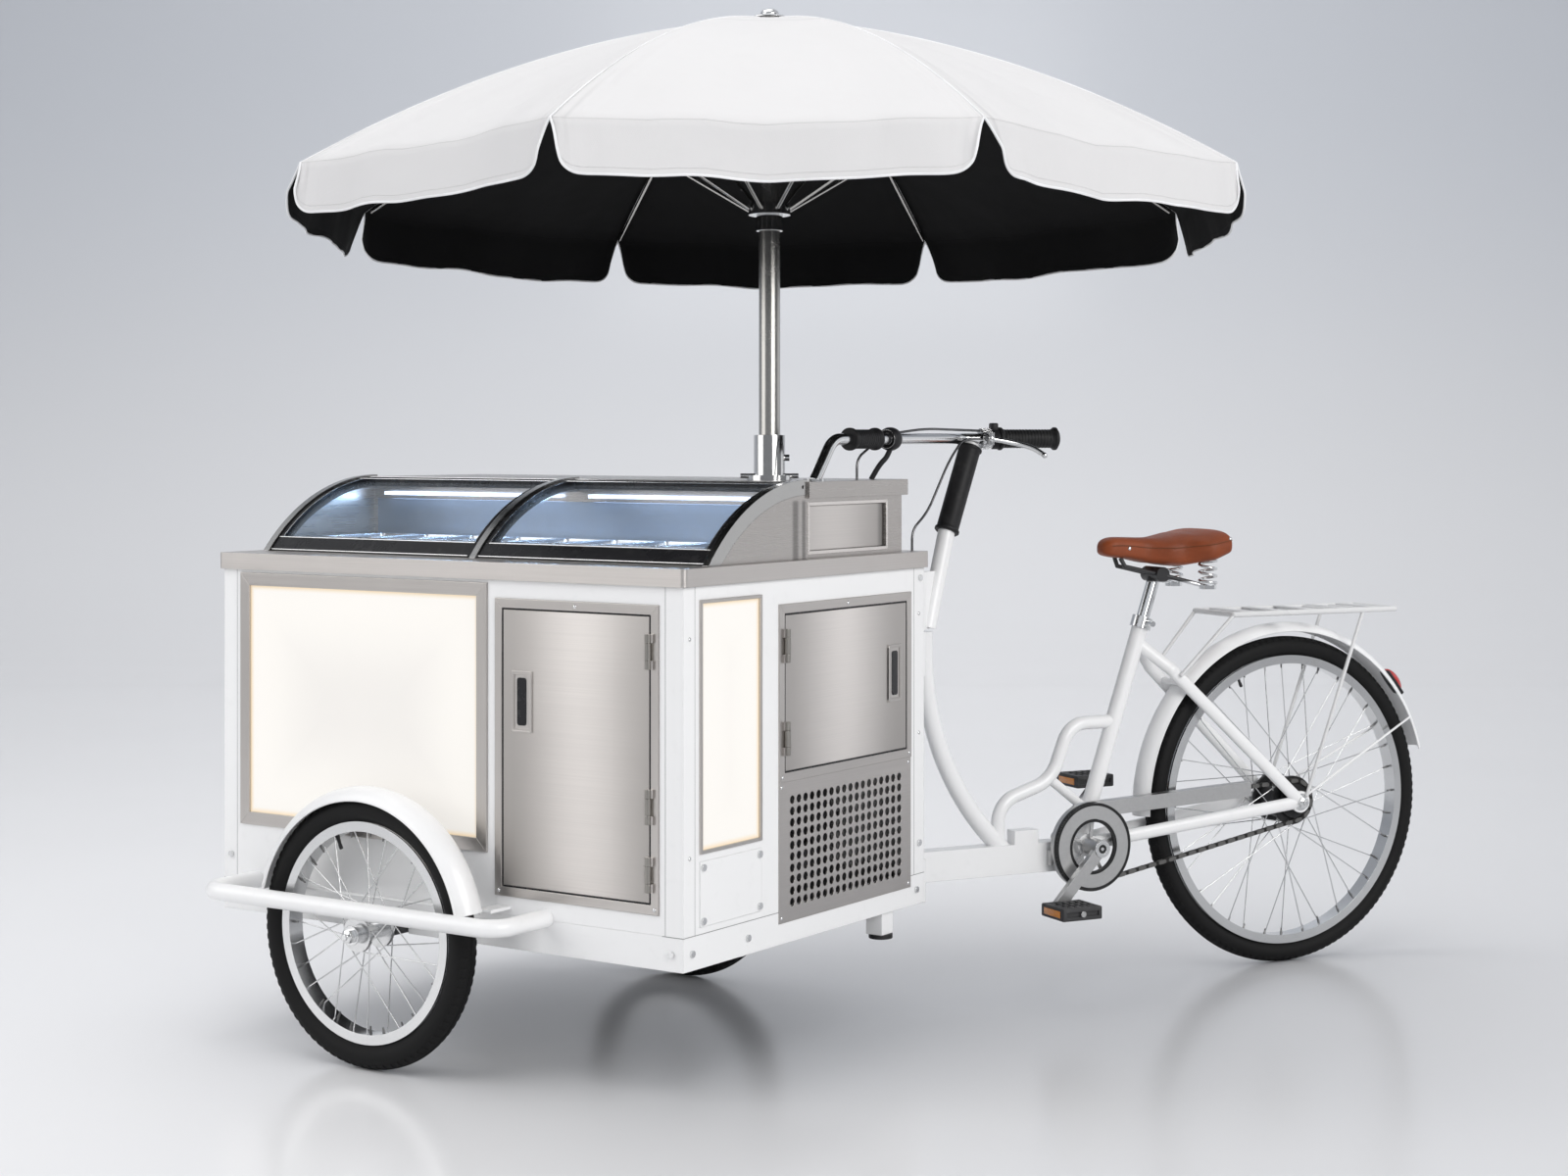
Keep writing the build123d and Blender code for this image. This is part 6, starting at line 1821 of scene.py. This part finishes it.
    def joints(self, name: str, face: Matrix, levels: Sequence[Span], posts: Sequence[float]) -> None:
        """Dark joints of a wall: over the skirt, and beside the corner posts.

        Args:
            name: Which wall.
            face: Its face.
            levels: Spans of the level joint.
            posts: Places of the upright joints.
        """
        half, (low, high) = self.joint_half, self.joint_depth
        lines = [((left, SKIRT_SEAM - half), (right, SKIRT_SEAM + half)) for left, right in levels]
        lines += [((post, SKIRT_SEAM), (post + self.joint_width, COUNTER_SEAM)) for post in posts]
        parts = [block((*first, low), (*second, high)) for first, second in lines]
        dress(f"{name}_joints", parts, "cart", self.stock.joint, face)

    def heads(self, name: str, face: Matrix, shape: Profile, steps: int, spots: Iterable[Point]) -> None:
        """Domed heads on a wall.

        Args:
            name: Their name.
            face: The wall's face.
            shape: Half section of one head.
            steps: Steps round it.
            spots: Their places.
        """
        pattern = turned(shape, steps)
        piece = scattered(pattern, [move(*spot) for spot in spots])
        dress(name, [piece], "cart", self.stock.chrome, face)

    def plain_wall(self, name: str, face: Matrix, across: Span, half: float) -> None:
        """A bolted panel with its joints on the rider's side or the far end.

        Args:
            name: Which wall.
            face: Its face.
            across: Span of the panel.
            half: Half the wall's width.
        """
        (left, right), (low, high), inset = across, self.panel_z, self.bolt_inset
        back, front = (left, low, -self.panel_sunk), (right, high, self.panel_proud)
        plate = block(back, front, self.panel_ease)
        dress(f"{name}_panel", [plate], "cart", self.stock.white, face, angle=20.0)
        self.joints(name, face, ((-half, half),), [side * (half - self.post_width) for side in SIDES])
        columns = (left + inset, (left + right) / 2, right - inset)
        spots = [(along, up, self.panel_proud) for along in columns for up in (low + inset, high - inset)]
        corner, skirt = self.skirt_bolt
        spots += [(side * (half - corner), skirt, 0.0) for side in SIDES]
        self.heads(f"{name}_bolts", face, self.bolt, 18, spots)

    def screws(self) -> None:
        """Small domed screws on the door frames, the posts and the grille."""
        for name, face, proud, spots in (
            ("side_screws", SIDE_FACE, 0.0029, ((0.3135, 0.838), (0.142, 0.331), (0.485, 0.331))),
            ("end_screws", END_FACE, 0.0029, ((0.1175, 0.825), (-0.1, 0.526), (0.335, 0.526))),
            ("post_screws", END_FACE, 0.0002,
             ((0.376, 0.79), (0.376, 0.56), (-0.377, 0.79), (-0.377, 0.42))),
            ("grille_screws", END_FACE, 0.0008,
             ((-0.1, 0.508), (0.335, 0.508), (-0.1, 0.276), (0.335, 0.276))),
        ):
            self.heads(name, face, self.screw, 14, [(*spot, proud) for spot in spots])


@dataclass
class Display:
    """Bright lines of the glass lids, and the pans under them."""

    stock: Stock
    centre: Span = (0.002, 0.654)
    radius: float = 0.3962
    lids: tuple[tuple[str, Span], ...] = (("left_lid", (-0.517, -0.008)), ("right_lid", (0.008, 0.517)))
    rails: tuple[float, ...] = (0.9135, 0.9365, 1.0465, 1.0495)
    rail_inset: float = 0.001
    rail_radius: float = 0.0011
    glass_z: Span = (0.9365, 1.0465)
    glass_inset: float = 0.0105
    glass_radius: float = 0.0009
    arc_steps: int = 12
    pans: int = 8
    pitch: float = 0.11825
    pan_size: Span = (0.1135, 0.182)
    pan_corner: float = 0.016
    pan_border: float = 0.008
    pan_presses: Spans = ((0.003, 0.985), (0.02, 0.985), (0.078, 0.96), (0.007, 0.94), (0.004, 0.88))
    pan_sheet: float = 0.0012
    pan_y: float = -0.125
    pan_top: float = 0.928
    pan_lip: float = 0.009
    liner: Corners = ((-0.514, -0.0006, 0.932), (0.514, 0.0022, 1.006))
    liner_ease: float = 0.0004

    def build(self) -> None:
        """Makes the trim lines, the pans and the wall behind them, painted blue as painted light of the cold
        strips.
        """
        for body, span in self.lids:
            self.lines(body, span)
        self.pan_row()
        # The wall behind the pans, its steel painted blue as painted light of the cold strips.
        liner = block(*self.liner, self.liner_ease, 1)
        dress("cold_wall", [liner], "cart", self.stock.liner, CART)

    def on_arc(self, height: float) -> Span:
        """Place (y, z) on the lids' outer curve at a height."""
        drop = height - self.centre[1]
        return (self.centre[0] - math.sqrt(self.radius**2 - drop**2), height)

    def lines(self, body: str, span: Span) -> None:
        """Bright lines on a lid's rails and round its glass.

        Args:
            body: The lid's body.
            span: Its X span.
        """
        parts = []
        left, right = span[0] + self.rail_inset, span[1] - self.rail_inset
        for height in self.rails:
            points = [(x, *self.on_arc(height)) for x in (left, 0.0, right)]
            parts.append(wire(points, self.rail_radius, sides=1))
        heights = [lerp(*self.glass_z, step / self.arc_steps) for step in range(self.arc_steps + 1)]
        for x in (span[0] + self.glass_inset, span[1] - self.glass_inset):
            points = [(x, *self.on_arc(height)) for height in heights]
            parts.append(wire(points, self.glass_radius, sides=1))
        dress(f"{body}_lines", parts, body, self.stock.chrome, CART)

    def pan_row(self) -> None:
        """Eight pressed pans, modelled once and copied."""
        pan = plane()
        pan.data.transform(Matrix.Diagonal((*self.pan_size, 1.0, 1.0)))
        with editing(pan):
            bpy.ops.mesh.bevel(offset=self.pan_corner, segments=6, affect="VERTICES")
            bpy.ops.mesh.inset(thickness=self.pan_border)
            for drop, shrink in self.pan_presses:
                raised(-drop)
                bpy.ops.transform.resize(value=(shrink, shrink, 1.0))
            bpy.ops.mesh.select_mode(type="FACE")
            bpy.ops.mesh.select_all(action="SELECT")
            bpy.ops.mesh.region_to_loop()
            bpy.ops.mesh.extrude_edges_move(TRANSFORM_OT_translate={"value": (0.0, 0.0, -self.pan_lip)})
        modified(pan, "SOLIDIFY", thickness=self.pan_sheet, offset=-1.0)
        first = -(self.pans - 1) / 2 * self.pitch
        top = self.pan_top + self.pan_lip
        places = [move(first + index * self.pitch, self.pan_y, top) for index in range(self.pans)]
        row = scattered(pan, places)
        dress("pressed_pans", [row], "cart", self.stock.pan, CART, ["ice_cream_pans"])


@dataclass
class Handlebar:
    """Rubber, controls and brake lever of the bar on the cabinet's corner."""

    stock: Stock
    turn: Point = (0.524, 0.567, 1.127)
    sweep: float = 50.3
    kink: Point = (0.532, 0.502, 0.943)
    stem_along: float = 0.025
    stem_drop: float = 0.011
    sleeve_length: float = 0.186
    near_grip: Span = (0.082, 0.208)
    far_grip: Span = (0.155, 0.251)
    bore: float = 0.011
    clamp_along: float = 0.044
    clamp: Spans = (
        (0.0112, 0.0), (0.0196, 0.0), (0.0206, 0.001), (0.0206, 0.0075), (0.0206, 0.0145), (0.0206, 0.021),
        (0.0196, 0.022), (0.0112, 0.022),
    )
    knurls: int = 44
    knurl_pitch: float = 0.007
    knurl_from: float = 0.0203
    knurl_height: float = 0.0009
    shifter_along: float = 0.0674
    shifter_radius: Point = (0.0112, 0.0185, 0.0205)
    shifter_z: Point = (0.0015, 0.0132, 0.0142)
    window: Corners = ((-0.0315, -0.011, -0.001), (-0.015, 0.011, 0.0125))
    window_ease: float = 0.003
    ridges: int = 4
    ridge_pitch: float = 0.0026
    ridge: Spans = ((0.0205, 0.0022), (0.0212, 0.0026), (0.0212, 0.0036), (0.0205, 0.004))
    bell_y: float = 0.29
    bell: Spans = (
        (0.0112, 0.0), (0.0175, 0.0), (0.021, 0.003), (0.0225, 0.009), (0.0225, 0.017), (0.021, 0.023),
        (0.0175, 0.026), (0.0112, 0.026),
    )
    tail: tuple[Point, ...] = (
        (0.0, 0.303, -0.018), (-0.004, 0.3, -0.034), (-0.018, 0.29, -0.05), (-0.03, 0.282, -0.0775)
    )
    tail_radius: float = 0.0052
    lever_along: float = 0.055
    lever_out: float = 0.034
    lever_open: float = 14.0
    lever_line: tuple[Point, ...] = (
        (0.0, 0.0, 0.0), (0.02, 0.003, -0.003), (0.045, 0.0055, -0.008), (0.07, 0.005, -0.014),
        (0.092, 0.001, -0.022), (0.106, -0.005, -0.033),
    )
    lever_radius: float = 0.0052
    lever_flat: float = 0.104
    lever_bow: float = 0.004
    lever_bent: float = 0.25
    ball_radius: float = 0.006
    boss: Spans = (
        (0.0028, -0.004), (0.0068, -0.004), (0.007, -0.0035), (0.007, 0.0035), (0.0068, 0.004),
        (0.0028, 0.004),
    )

    def build(self) -> None:
        """Makes the bar's fittings."""
        self.rubber()
        self.controls()
        self.bell_clamp()
        self.lever()

    def at(self, along: float) -> Vector:
        """Point on the bar's swept end."""
        return Vector(self.turn) + polar(math.radians(self.sweep), along).to_3d()

    def along_bar(self, along: float) -> Matrix:
        """Place on the swept end, with Z along the bar."""
        return CART @ Matrix.Translation(self.at(along)) @ spin(self.sweep, "Z") @ spin(90.0, "Y")

    def rubber(self) -> None:
        """Two ribbed grips and the stem's sleeve."""
        kink = Vector(self.kink)
        top = self.at(self.stem_along) - Vector((0.0, 0.0, self.stem_drop))
        sleeve_end = kink + (top - kink).normalized() * self.sleeve_length
        x, _, z = self.turn
        near, far = [self.at(along) for along in self.near_grip], [(x, y, z) for y in self.far_grip]
        parts = [
            Grip(*near, 0.0188, 0.0232, self.bore, True, 15).build(),
            Grip(*far, 0.0182, 0.0215, self.bore, False, 10).build(),
            Grip(kink, sleeve_end, 0.0212, 0.0248, 0.017, False, 0).build(),
        ]
        dress("bar_rubber", parts, "cart", self.stock.rubber, CART, ["rubber_grips"])

    def on_knurl(self, middle: Vector, normal: Vector) -> bool:
        """Whether a face of the clamp is a raised knurl.

        Args:
            middle: The face's middle.
            normal: The face's normal; not used.

        Returns:
            True for every second face of the outside.
        """
        turn = math.atan2(middle.y, middle.x) / math.tau + 1.0
        step = int(turn * self.knurls + middle.z / self.knurl_pitch)
        return math.hypot(middle.x, middle.y) > self.knurl_from and step % 2 == 0

    def controls(self) -> None:
        """Knurled clamp, and the ridged shifter with its window."""
        knurl = turned(self.clamp, self.knurls)
        with editing(knurl):
            pick(knurl, Kind.FACE, self.on_knurl)
            grown(self.knurl_height)
        place = self.along_bar(self.clamp_along)
        dress("lever_clamp", [knurl], "cart", self.stock.chrome, place)
        bore, face, side = self.shifter_radius
        low, high, end = self.shifter_z
        profile = [(bore, 0.0), (face, 0.0), (side, low)]
        for index in range(self.ridges):
            profile += [(radius, height + self.ridge_pitch * index) for radius, height in self.ridge]
        profile += [(side, high), (face, end), (bore, end)]
        shifter = turned(profile, 40)
        window = block(*self.window, self.window_ease, 3)
        dress(
            "shifter", [shifter, window], "cart", self.stock.plastic,
            self.along_bar(self.shifter_along),
        )

    def bell_clamp(self) -> None:
        """The bell's ring on the bar, and its tail."""
        x, _, z = self.turn
        ring = turned(self.bell, 36)
        place = CART @ move(x, self.bell_y, z) @ AXLE_ALONG_Y
        dress("bell_ring", [ring], "cart", self.stock.plastic, place)
        tail = wire(self.tail, self.tail_radius)
        dress("bell_tail", [tail], "cart", self.stock.plastic, CART @ move(x, 0.0, z))

    def lever(self) -> None:
        """Curved lever blade with a ball end."""
        blade = wire(self.lever_line, self.lever_radius, sides=4)
        for vert in blade.data.vertices:
            share = min(1.0, max(0.0, vert.co.x / self.lever_flat))
            vert.co.y = lerp(vert.co.y, self.lever_bow * math.sin(math.pi * share), self.lever_bent * share)
        tip = ball(20, 12, self.ball_radius)
        tip.data.transform(move(*self.lever_line[-1]))
        boss = turned(self.boss, 24, True)
        out = polar(math.radians(self.sweep - 90.0), self.lever_out).to_3d()
        pivot = Matrix.Translation(self.at(self.lever_along) + out)
        dress(
            "lever", [blade, tip, boss], "lever", self.stock.chrome,
            CART @ pivot @ spin(self.sweep - self.lever_open, "Z"), ["brake_lever"],
        )


@dataclass
class Drive:
    """Chain, pedals, crank, stays, rack slats and light of the bicycle."""

    stock: Stock
    crank: Span = (0.41, 0.29)
    hub: Span = (REAR_AXLE_X, 0.35)
    ring_radius: float = 0.0775
    sprocket_radius: float = 0.0425
    chain_y: float = -0.042
    pitch: float = 0.0127
    link_half: Span = (0.0095, 0.0041)
    plate_half: float = 0.0005
    plate_round: float = 0.0036
    plates: tuple[float, float] = (0.0024, 0.0036)
    roller: Span = (0.0038, 0.0046)
    crank_length: float = 0.15
    crank_angle: float = 227.0
    arm_face: float = -0.089
    collar_ring: Spans = (
        (0.0088, -0.001), (0.0168, -0.001), (0.0178, 0.0), (0.0178, 0.0014), (0.0168, 0.0024),
        (0.0096, 0.0024), (0.0088, 0.0016),
    )
    collar_bolt: Spans = (
        (0.0, -0.001), (0.0044, -0.001), (0.0044, 0.001), (0.0036, 0.0018), (0.0, 0.0018)
    )
    collar_well: Spans = ((0.0, -0.001), (0.0089, -0.001), (0.0089, 0.0005), (0.0, 0.0005))
    guard_y: float = -0.0535
    guard_rim: Spans = (
        (0.084, -0.004), (0.0895, -0.004), (0.0915, -0.002), (0.0915, 0.004), (0.0895, 0.0055),
        (0.084, 0.0055),
    )
    guard_window: Spans = ((0.0505, -0.003), (0.0566, -0.003), (0.0566, 0.003), (0.0505, 0.003))
    pedal_inner: float = 0.092
    pedal_size: Point = (0.092, 0.084, 0.026)
    pedal_ease: float = 0.0032
    tread_dish: Span = (0.007, -0.005)
    side_dish: Span = (0.005, -0.004)
    stud_half: Span = (0.0045, 0.006)
    stud_ease: float = 0.0012
    stud_rows: tuple[float, ...] = (-0.022, 0.0, 0.022)
    stud_columns: tuple[float, ...] = (-0.03, -0.015, 0.0, 0.015, 0.03)
    lens_half: Span = (0.03, 0.0068)
    lens_depth: Span = (-0.0012, 0.0006)
    lens_ease: float = 0.0008
    stay_top: Point = (0.5515, 0.0, 0.7012)
    stay_elbow: Point = (0.6121, 0.04, 0.645)
    stay_end: Point = (0.93, 0.062, 0.35)
    stay_root: Point = (0.41, 0.024, 0.29)
    stay_half: Span = (0.0093, 0.0135)
    slats: int = 5
    slat_x: Span = (0.795, 1.135)
    slat_z: Span = (0.7585, 0.7615)
    slat_half: Span = (0.011, 0.064)
    slat_ease: float = 0.001
    light_angle: float = 39.0
    light_radius: float = 0.3813
    light_base: Corners = ((-0.006, -0.019, -0.0325), (0.0015, 0.019, 0.0325))
    light_ease: float = 0.002
    lens_radii: Point = (0.016, 0.0185, 0.0322)
    lens_out: float = 0.0012

    def build(self) -> None:
        """Makes the chain, both pedals, the light and what covers the plain bars."""
        self.chain()
        self.pedal("near_pedal", -1.0)
        self.pedal("far_pedal", 1.0)
        self.light()
        self.rack_slats()
        self.guard_edge()
        self.collar()
        self.stays()

    def rack_slats(self) -> None:
        """Flat slats across the luggage rack."""
        (wide, long), (low, high) = self.slat_half, self.slat_z
        middles = [lerp(*self.slat_x, index / (self.slats - 1)) for index in range(self.slats)]
        ease = self.slat_ease
        parts = [block((x - wide, -long, low), (x + wide, long, high), ease) for x in middles]
        dress("rack_slats", parts, "rear_bike", self.stock.silver, BIKE)

    def stays(self) -> None:
        """Oval stays over the thinner bars of the frame, tall in the wheel's plane."""
        wide, tall = self.stay_half
        parts = []
        for side in SIDES:
            top, elbow, end, root = (
                Vector((x, side * y, z))
                for x, y, z in (self.stay_top, self.stay_elbow, self.stay_end, self.stay_root)
            )
            for low, high in ((top, elbow), (elbow, end), (root, end)):
                along = (high - low).normalized()
                across = (Vector((0.0, 1.0, 0.0)) - along * along.y).normalized()
                turn = Matrix((across, along.cross(across), along)).transposed().to_4x4()
                stay = bar(32, 1.0, (high - low).length)
                oval = Matrix.Diagonal((wide, tall, 1.0, 1.0))
                stay.data.transform(Matrix.Translation((low + high) / 2) @ turn @ oval)
                parts.append(stay)
                if high is elbow:
                    knee = ball(32, 16)
                    oval = Matrix.Diagonal((wide, tall, tall, 1.0))
                    knee.data.transform(Matrix.Translation(high) @ turn @ oval)
                    parts.append(knee)
        dress("oval_stays", parts, "rear_bike", self.stock.white, BIKE)

    def on_crank(self, y: float) -> Matrix:
        """Place on the crank's axle."""
        return BIKE @ move(self.crank[0], y, self.crank[1])

    def collar(self) -> None:
        """Raised ring round the crank's bolt, on the chain's side."""
        ring = turned(self.collar_ring, 40, True)
        bolt = turned(self.collar_bolt, 6)
        well = turned(self.collar_well, 24)
        place = self.on_crank(self.arm_face) @ AXLE_ALONG_Y.inverted()
        dress("crank_collar", [ring, bolt], "cranks", self.stock.alloy, place)
        dress("crank_well", [well], "cranks", self.stock.black_metal, place)

    def guard_edge(self) -> None:
        """Dark rims behind the chain guard's disc."""
        rim = turned(self.guard_rim, 72, True)
        window = turned(self.guard_window, 60, True)
        place = self.on_crank(self.guard_y) @ AXLE_ALONG_Y
        dress("guard_rims", [rim, window], "rear_bike", self.stock.black_metal, place)

    def route(self) -> Iterator[Matrix]:
        """Places of the chain's links, from the chainring's upper side round the sprocket and back."""
        away = Vector(self.hub) - Vector(self.crank)
        tilt = math.atan2(away.y, away.x)
        lean = math.asin((self.ring_radius - self.sprocket_radius) / away.length)
        straight = away.length * math.cos(lean)
        up, down = tilt + math.pi / 2 - lean, tilt - math.pi / 2 + lean
        legs = (
            (straight, self.crank, self.ring_radius, up, False),
            ((math.pi - 2 * lean) * self.sprocket_radius, self.hub, self.sprocket_radius, up, True),
            (straight, self.hub, self.sprocket_radius, down, False),
            ((math.pi + 2 * lean) * self.ring_radius, self.crank, self.ring_radius, down, True),
        )
        total = sum(leg[0] for leg in legs)
        count = 2 * round(total / self.pitch / 2)
        for index in range(count):
            run = total * index / count
            for length, centre, radius, angle, bent in legs:
                if run < length:
                    break
                run -= length
            if bent:
                angle, run = angle - run / radius, 0.0
            heading = angle - math.pi / 2
            spot = Vector(centre) + polar(angle, radius) + polar(heading, run)
            yield move(spot.x, self.chain_y, spot.y) @ Matrix.Rotation(-heading, 4, "Y")

    def link(self, half: float, metal: Material) -> Piece:
        """One link: two plates and a roller.

        Args:
            half: Distance of the plates from the chain's middle.
            metal: Their finish.

        Returns:
            The link.
        """
        (long, tall), thin = self.link_half, self.plate_half
        parts = []
        for middle in (-half, half):
            plate = block((-long, middle - thin, -tall), (long, middle + thin, tall))
            with editing(plate):
                pick(plate, Kind.EDGE, lambda a, b: abs(a.y - b.y) > thin)
                rounded(self.plate_round, 2)
            parts.append(plate)
        roller = bar(8, *self.roller)
        roller.data.transform(move(self.pitch / 2, 0.0, 0.0) @ spin(90.0, "X"))
        link = joined([*parts, roller])
        link.data.materials.append(metal)
        return link

    def chain(self) -> None:
        """Inner and outer links by turns along the chain's route."""
        # Outer plates in the lighter copy of the chain steel, as a painted highlight.
        metals = (self.stock.chain, self.stock.link)
        patterns = [self.link(half, metal) for half, metal in zip(self.plates, metals)]
        links = [copies(patterns[index % 2], [place])[0] for index, place in enumerate(self.route())]
        for pattern in patterns:
            bpy.data.objects.remove(pattern)
        dress("chain_links", links, "rear_bike", self.stock.chain, BIKE, ["drive_chain"])

    def pedal(self, node: str, side: float) -> None:
        """A block pedal with tread studs and reflectors.

        Args:
            node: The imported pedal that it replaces.
            side: -1 on the chain's side, 1 on the other.
        """
        half = [part / 2 for part in self.pedal_size]
        core = block([-part for part in half], half, self.pedal_ease, 3)
        with editing(core):
            for (border, sink), faces in (
                (self.tread_dish, lambda middle, normal: abs(normal.z) > 0.99),
                (self.side_dish, lambda middle, normal: abs(normal.y) > 0.99 and abs(middle.z) < 0.001),
            ):
                pick(core, Kind.FACE, faces)
                bpy.ops.mesh.inset(thickness=border, use_individual=True)
                grown(sink)
        wide, long = self.stud_half
        studs = [
            block((x - wide, y - long, -half[2]), (x + wide, y + long, half[2]), self.stud_ease, 1)
            for y in self.stud_rows for x in self.stud_columns
        ]
        angle = math.radians(self.crank_angle + (0.0 if side < 0 else 180.0))
        spot = Vector(self.crank) + polar(angle, self.crank_length)
        place = BIKE @ move(spot.x, side * (self.pedal_inner + half[1]), spot.y)
        body = f"{node}_body"
        dress(f"{node}_block", [core, *studs], body, self.stock.pedal, place, [node])
        (wide, tall), (low, high) = self.lens_half, self.lens_depth
        lenses = [
            block((x + low, -wide, -tall), (x + high, wide, tall), self.lens_ease)
            for x in (-half[0], half[0])
        ]
        dress(f"{node}_reflectors", lenses, body, self.stock.amber, place)

    def light(self) -> None:
        """Oval red lens on a dark base behind the fender."""
        hub = BIKE @ move(self.hub[0], 0.0, self.hub[1])
        place = hub @ spin(-self.light_angle, "Y") @ move(self.light_radius, 0.0, 0.0)
        base = block(*self.light_base, self.light_ease, 3)
        dress("light_base", [base], "rear_bike", self.stock.plastic, place)
        lens = ball(32, 20)
        with editing(lens):
            bpy.ops.mesh.bisect(
                plane_co=(0.0, 0.0, 0.0), plane_no=(1.0, 0.0, 0.0), clear_inner=True, use_fill=True
            )
        lens.data.transform(move(self.lens_out, 0.0, 0.0) @ Matrix.Diagonal((*self.lens_radii, 1.0)))
        dress("light_lens", [lens], "rear_bike", self.stock.red, place, ["tail_light"], 60.0)


@dataclass
class WheelDress:
    """Nipples, valve and axle nuts of a wheel, and the rolled lips of its fender."""

    stock: Stock
    name: str
    body: str
    carrier: str
    wheel: Wheel
    place: Matrix
    offset: float = 0.00425
    nipple: Spans = (
        (0.0, -0.011), (0.0015, -0.011), (0.0019, -0.004), (0.0027, -0.002), (0.0027, 0.0006), (0.0, 0.0006)
    )
    valve_angle: float = 1.9
    valve: Spans = (
        (0.0, -0.024), (0.0032, -0.024), (0.0036, -0.022), (0.0036, -0.015), (0.003, -0.014), (0.0033, 0.0),
        (0.0, 0.0),
    )
    nut: Spans = ((0.0, 0.0145), (0.0085, 0.0145), (0.0128, 0.012), (0.0128, 0.0), (0.0, 0.0))
    tip: Spans = ((0.0, 0.019), (0.005, 0.019), (0.0062, 0.0175), (0.0062, 0.012), (0.0, 0.012))
    washer: Spans = (
        (0.0, 0.0014), (0.0172, 0.0014), (0.018, 0.0006), (0.018, -0.001), (0.0, -0.001)
    )
    lip_wire: float = 0.0021
    lip_steps: int = 32

    def build(self) -> None:
        """Makes the small pieces of one wheel."""
        count = self.wheel.spokes
        places = [
            self.on_rim(math.tau * index / count, self.offset if index % 2 else -self.offset)
            for index in range(count)
        ]
        nipples = scattered(turned(self.nipple, 8), places)
        dress(f"{self.name}_nipples", [nipples], self.body, self.stock.nipple, self.place)
        stem = turned(self.valve, 12)
        stem.data.transform(self.on_rim(math.tau * 0.5 / count + self.valve_angle, 0.0))
        dress(f"{self.name}_valve", [stem], self.body, self.stock.plastic, self.place)
        self.lips()

    def on_rim(self, angle: float, side: float) -> Matrix:
        """Place inside the rim, with Z outwards."""
        flat = polar(angle)
        out = Vector((flat.x, 0.0, flat.y))
        return aimed(out * self.wheel.rim_inner + Vector((0.0, side, 0.0)), out)

    def axle_end(self, outside: float) -> None:
        """Hexagon nut and washer on the end of an axle.

        Args:
            outside: Sign of the Y direction that points away from the wheel.
        """
        parts = [
            turned(self.nut, 6), turned(self.tip, 20),
            turned(self.washer, 32),
        ]
        shift = move(0.0, self.wheel.axle_reach * outside, 0.0) @ spin(-90.0 * outside, "X")
        name = f"{self.name}_nut_{'near' if outside < 0 else 'far'}"
        dress(name, parts, self.carrier, self.stock.chrome, self.place @ shift)

    def lips(self) -> None:
        """Rolled wire in both edges of the fender."""
        angles = [lerp(*self.wheel.lip_span, step / self.lip_steps) for step in range(self.lip_steps + 1)]
        arc = [polar(math.radians(angle), self.wheel.lip_radius) for angle in angles]
        lines = [[(spot.x, side * self.wheel.lip_half, spot.y) for spot in arc] for side in SIDES]
        parts = [wire(line, self.lip_wire, sides=2) for line in lines]
        dress(f"{self.name}_fender_lips", parts, self.carrier, self.stock.white, self.place)


def main() -> None:
    """Builds the cart's looks piece by piece."""
    logging.basicConfig(level=logging.INFO, format="%(message)s")
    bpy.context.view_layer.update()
    stock = Stock()
    for node, finish in stock.by_node().items():
        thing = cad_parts[node]
        thing.data.materials.clear()
        thing.data.materials.append(finish)
    Studio().build()
    Parasol(stock).build()
    Seat(stock).build()
    front = Wheel(
        radius=0.245, section=0.05, bead=0.1985, blocks=84, rim_inner=0.181, spokes=28,
        lip_radius=0.2385, lip_half=0.0325, lip_span=(12.0, 167.0), axle_reach=0.0464,
    )
    rear = Wheel(
        radius=0.35, section=0.044, bead=0.3095, blocks=124, rim_inner=0.292, spokes=36,
        lip_radius=0.3635, lip_half=0.0275, lip_span=(14.5, 182.0), axle_reach=0.0662,
    )
    axles = [
        (name, side, CART @ move(FRONT_AXLE_X, HALF_TRACK * side, front.radius))
        for name, side in (("left", 1.0), ("right", -1.0))
    ]
    rear_axle = BIKE @ move(REAR_AXLE_X, 0.0, rear.radius)
    for name, _, place in axles:
        Tyre(stock, f"{name}_tread", f"{name}_front_tyre", f"{name}_wheel", front, place).build()
    Tyre(stock, "rear_tread", "rear_tyre", "rear_wheel", rear, rear_axle).build()
    for part in (Cabinet, Display, Handlebar, Drive):
        part(stock).build()
    for name, side, place in axles:
        trim = WheelDress(stock, f"{name}_front", f"{name}_wheel", "cart", front, place)
        trim.build()
        trim.axle_end(side)
    trim = WheelDress(stock, "rear", "rear_wheel", "rear_bike", rear, rear_axle)
    trim.build()
    for side in SIDES:
        trim.axle_end(side)


if __name__ == "__main__":
    main()
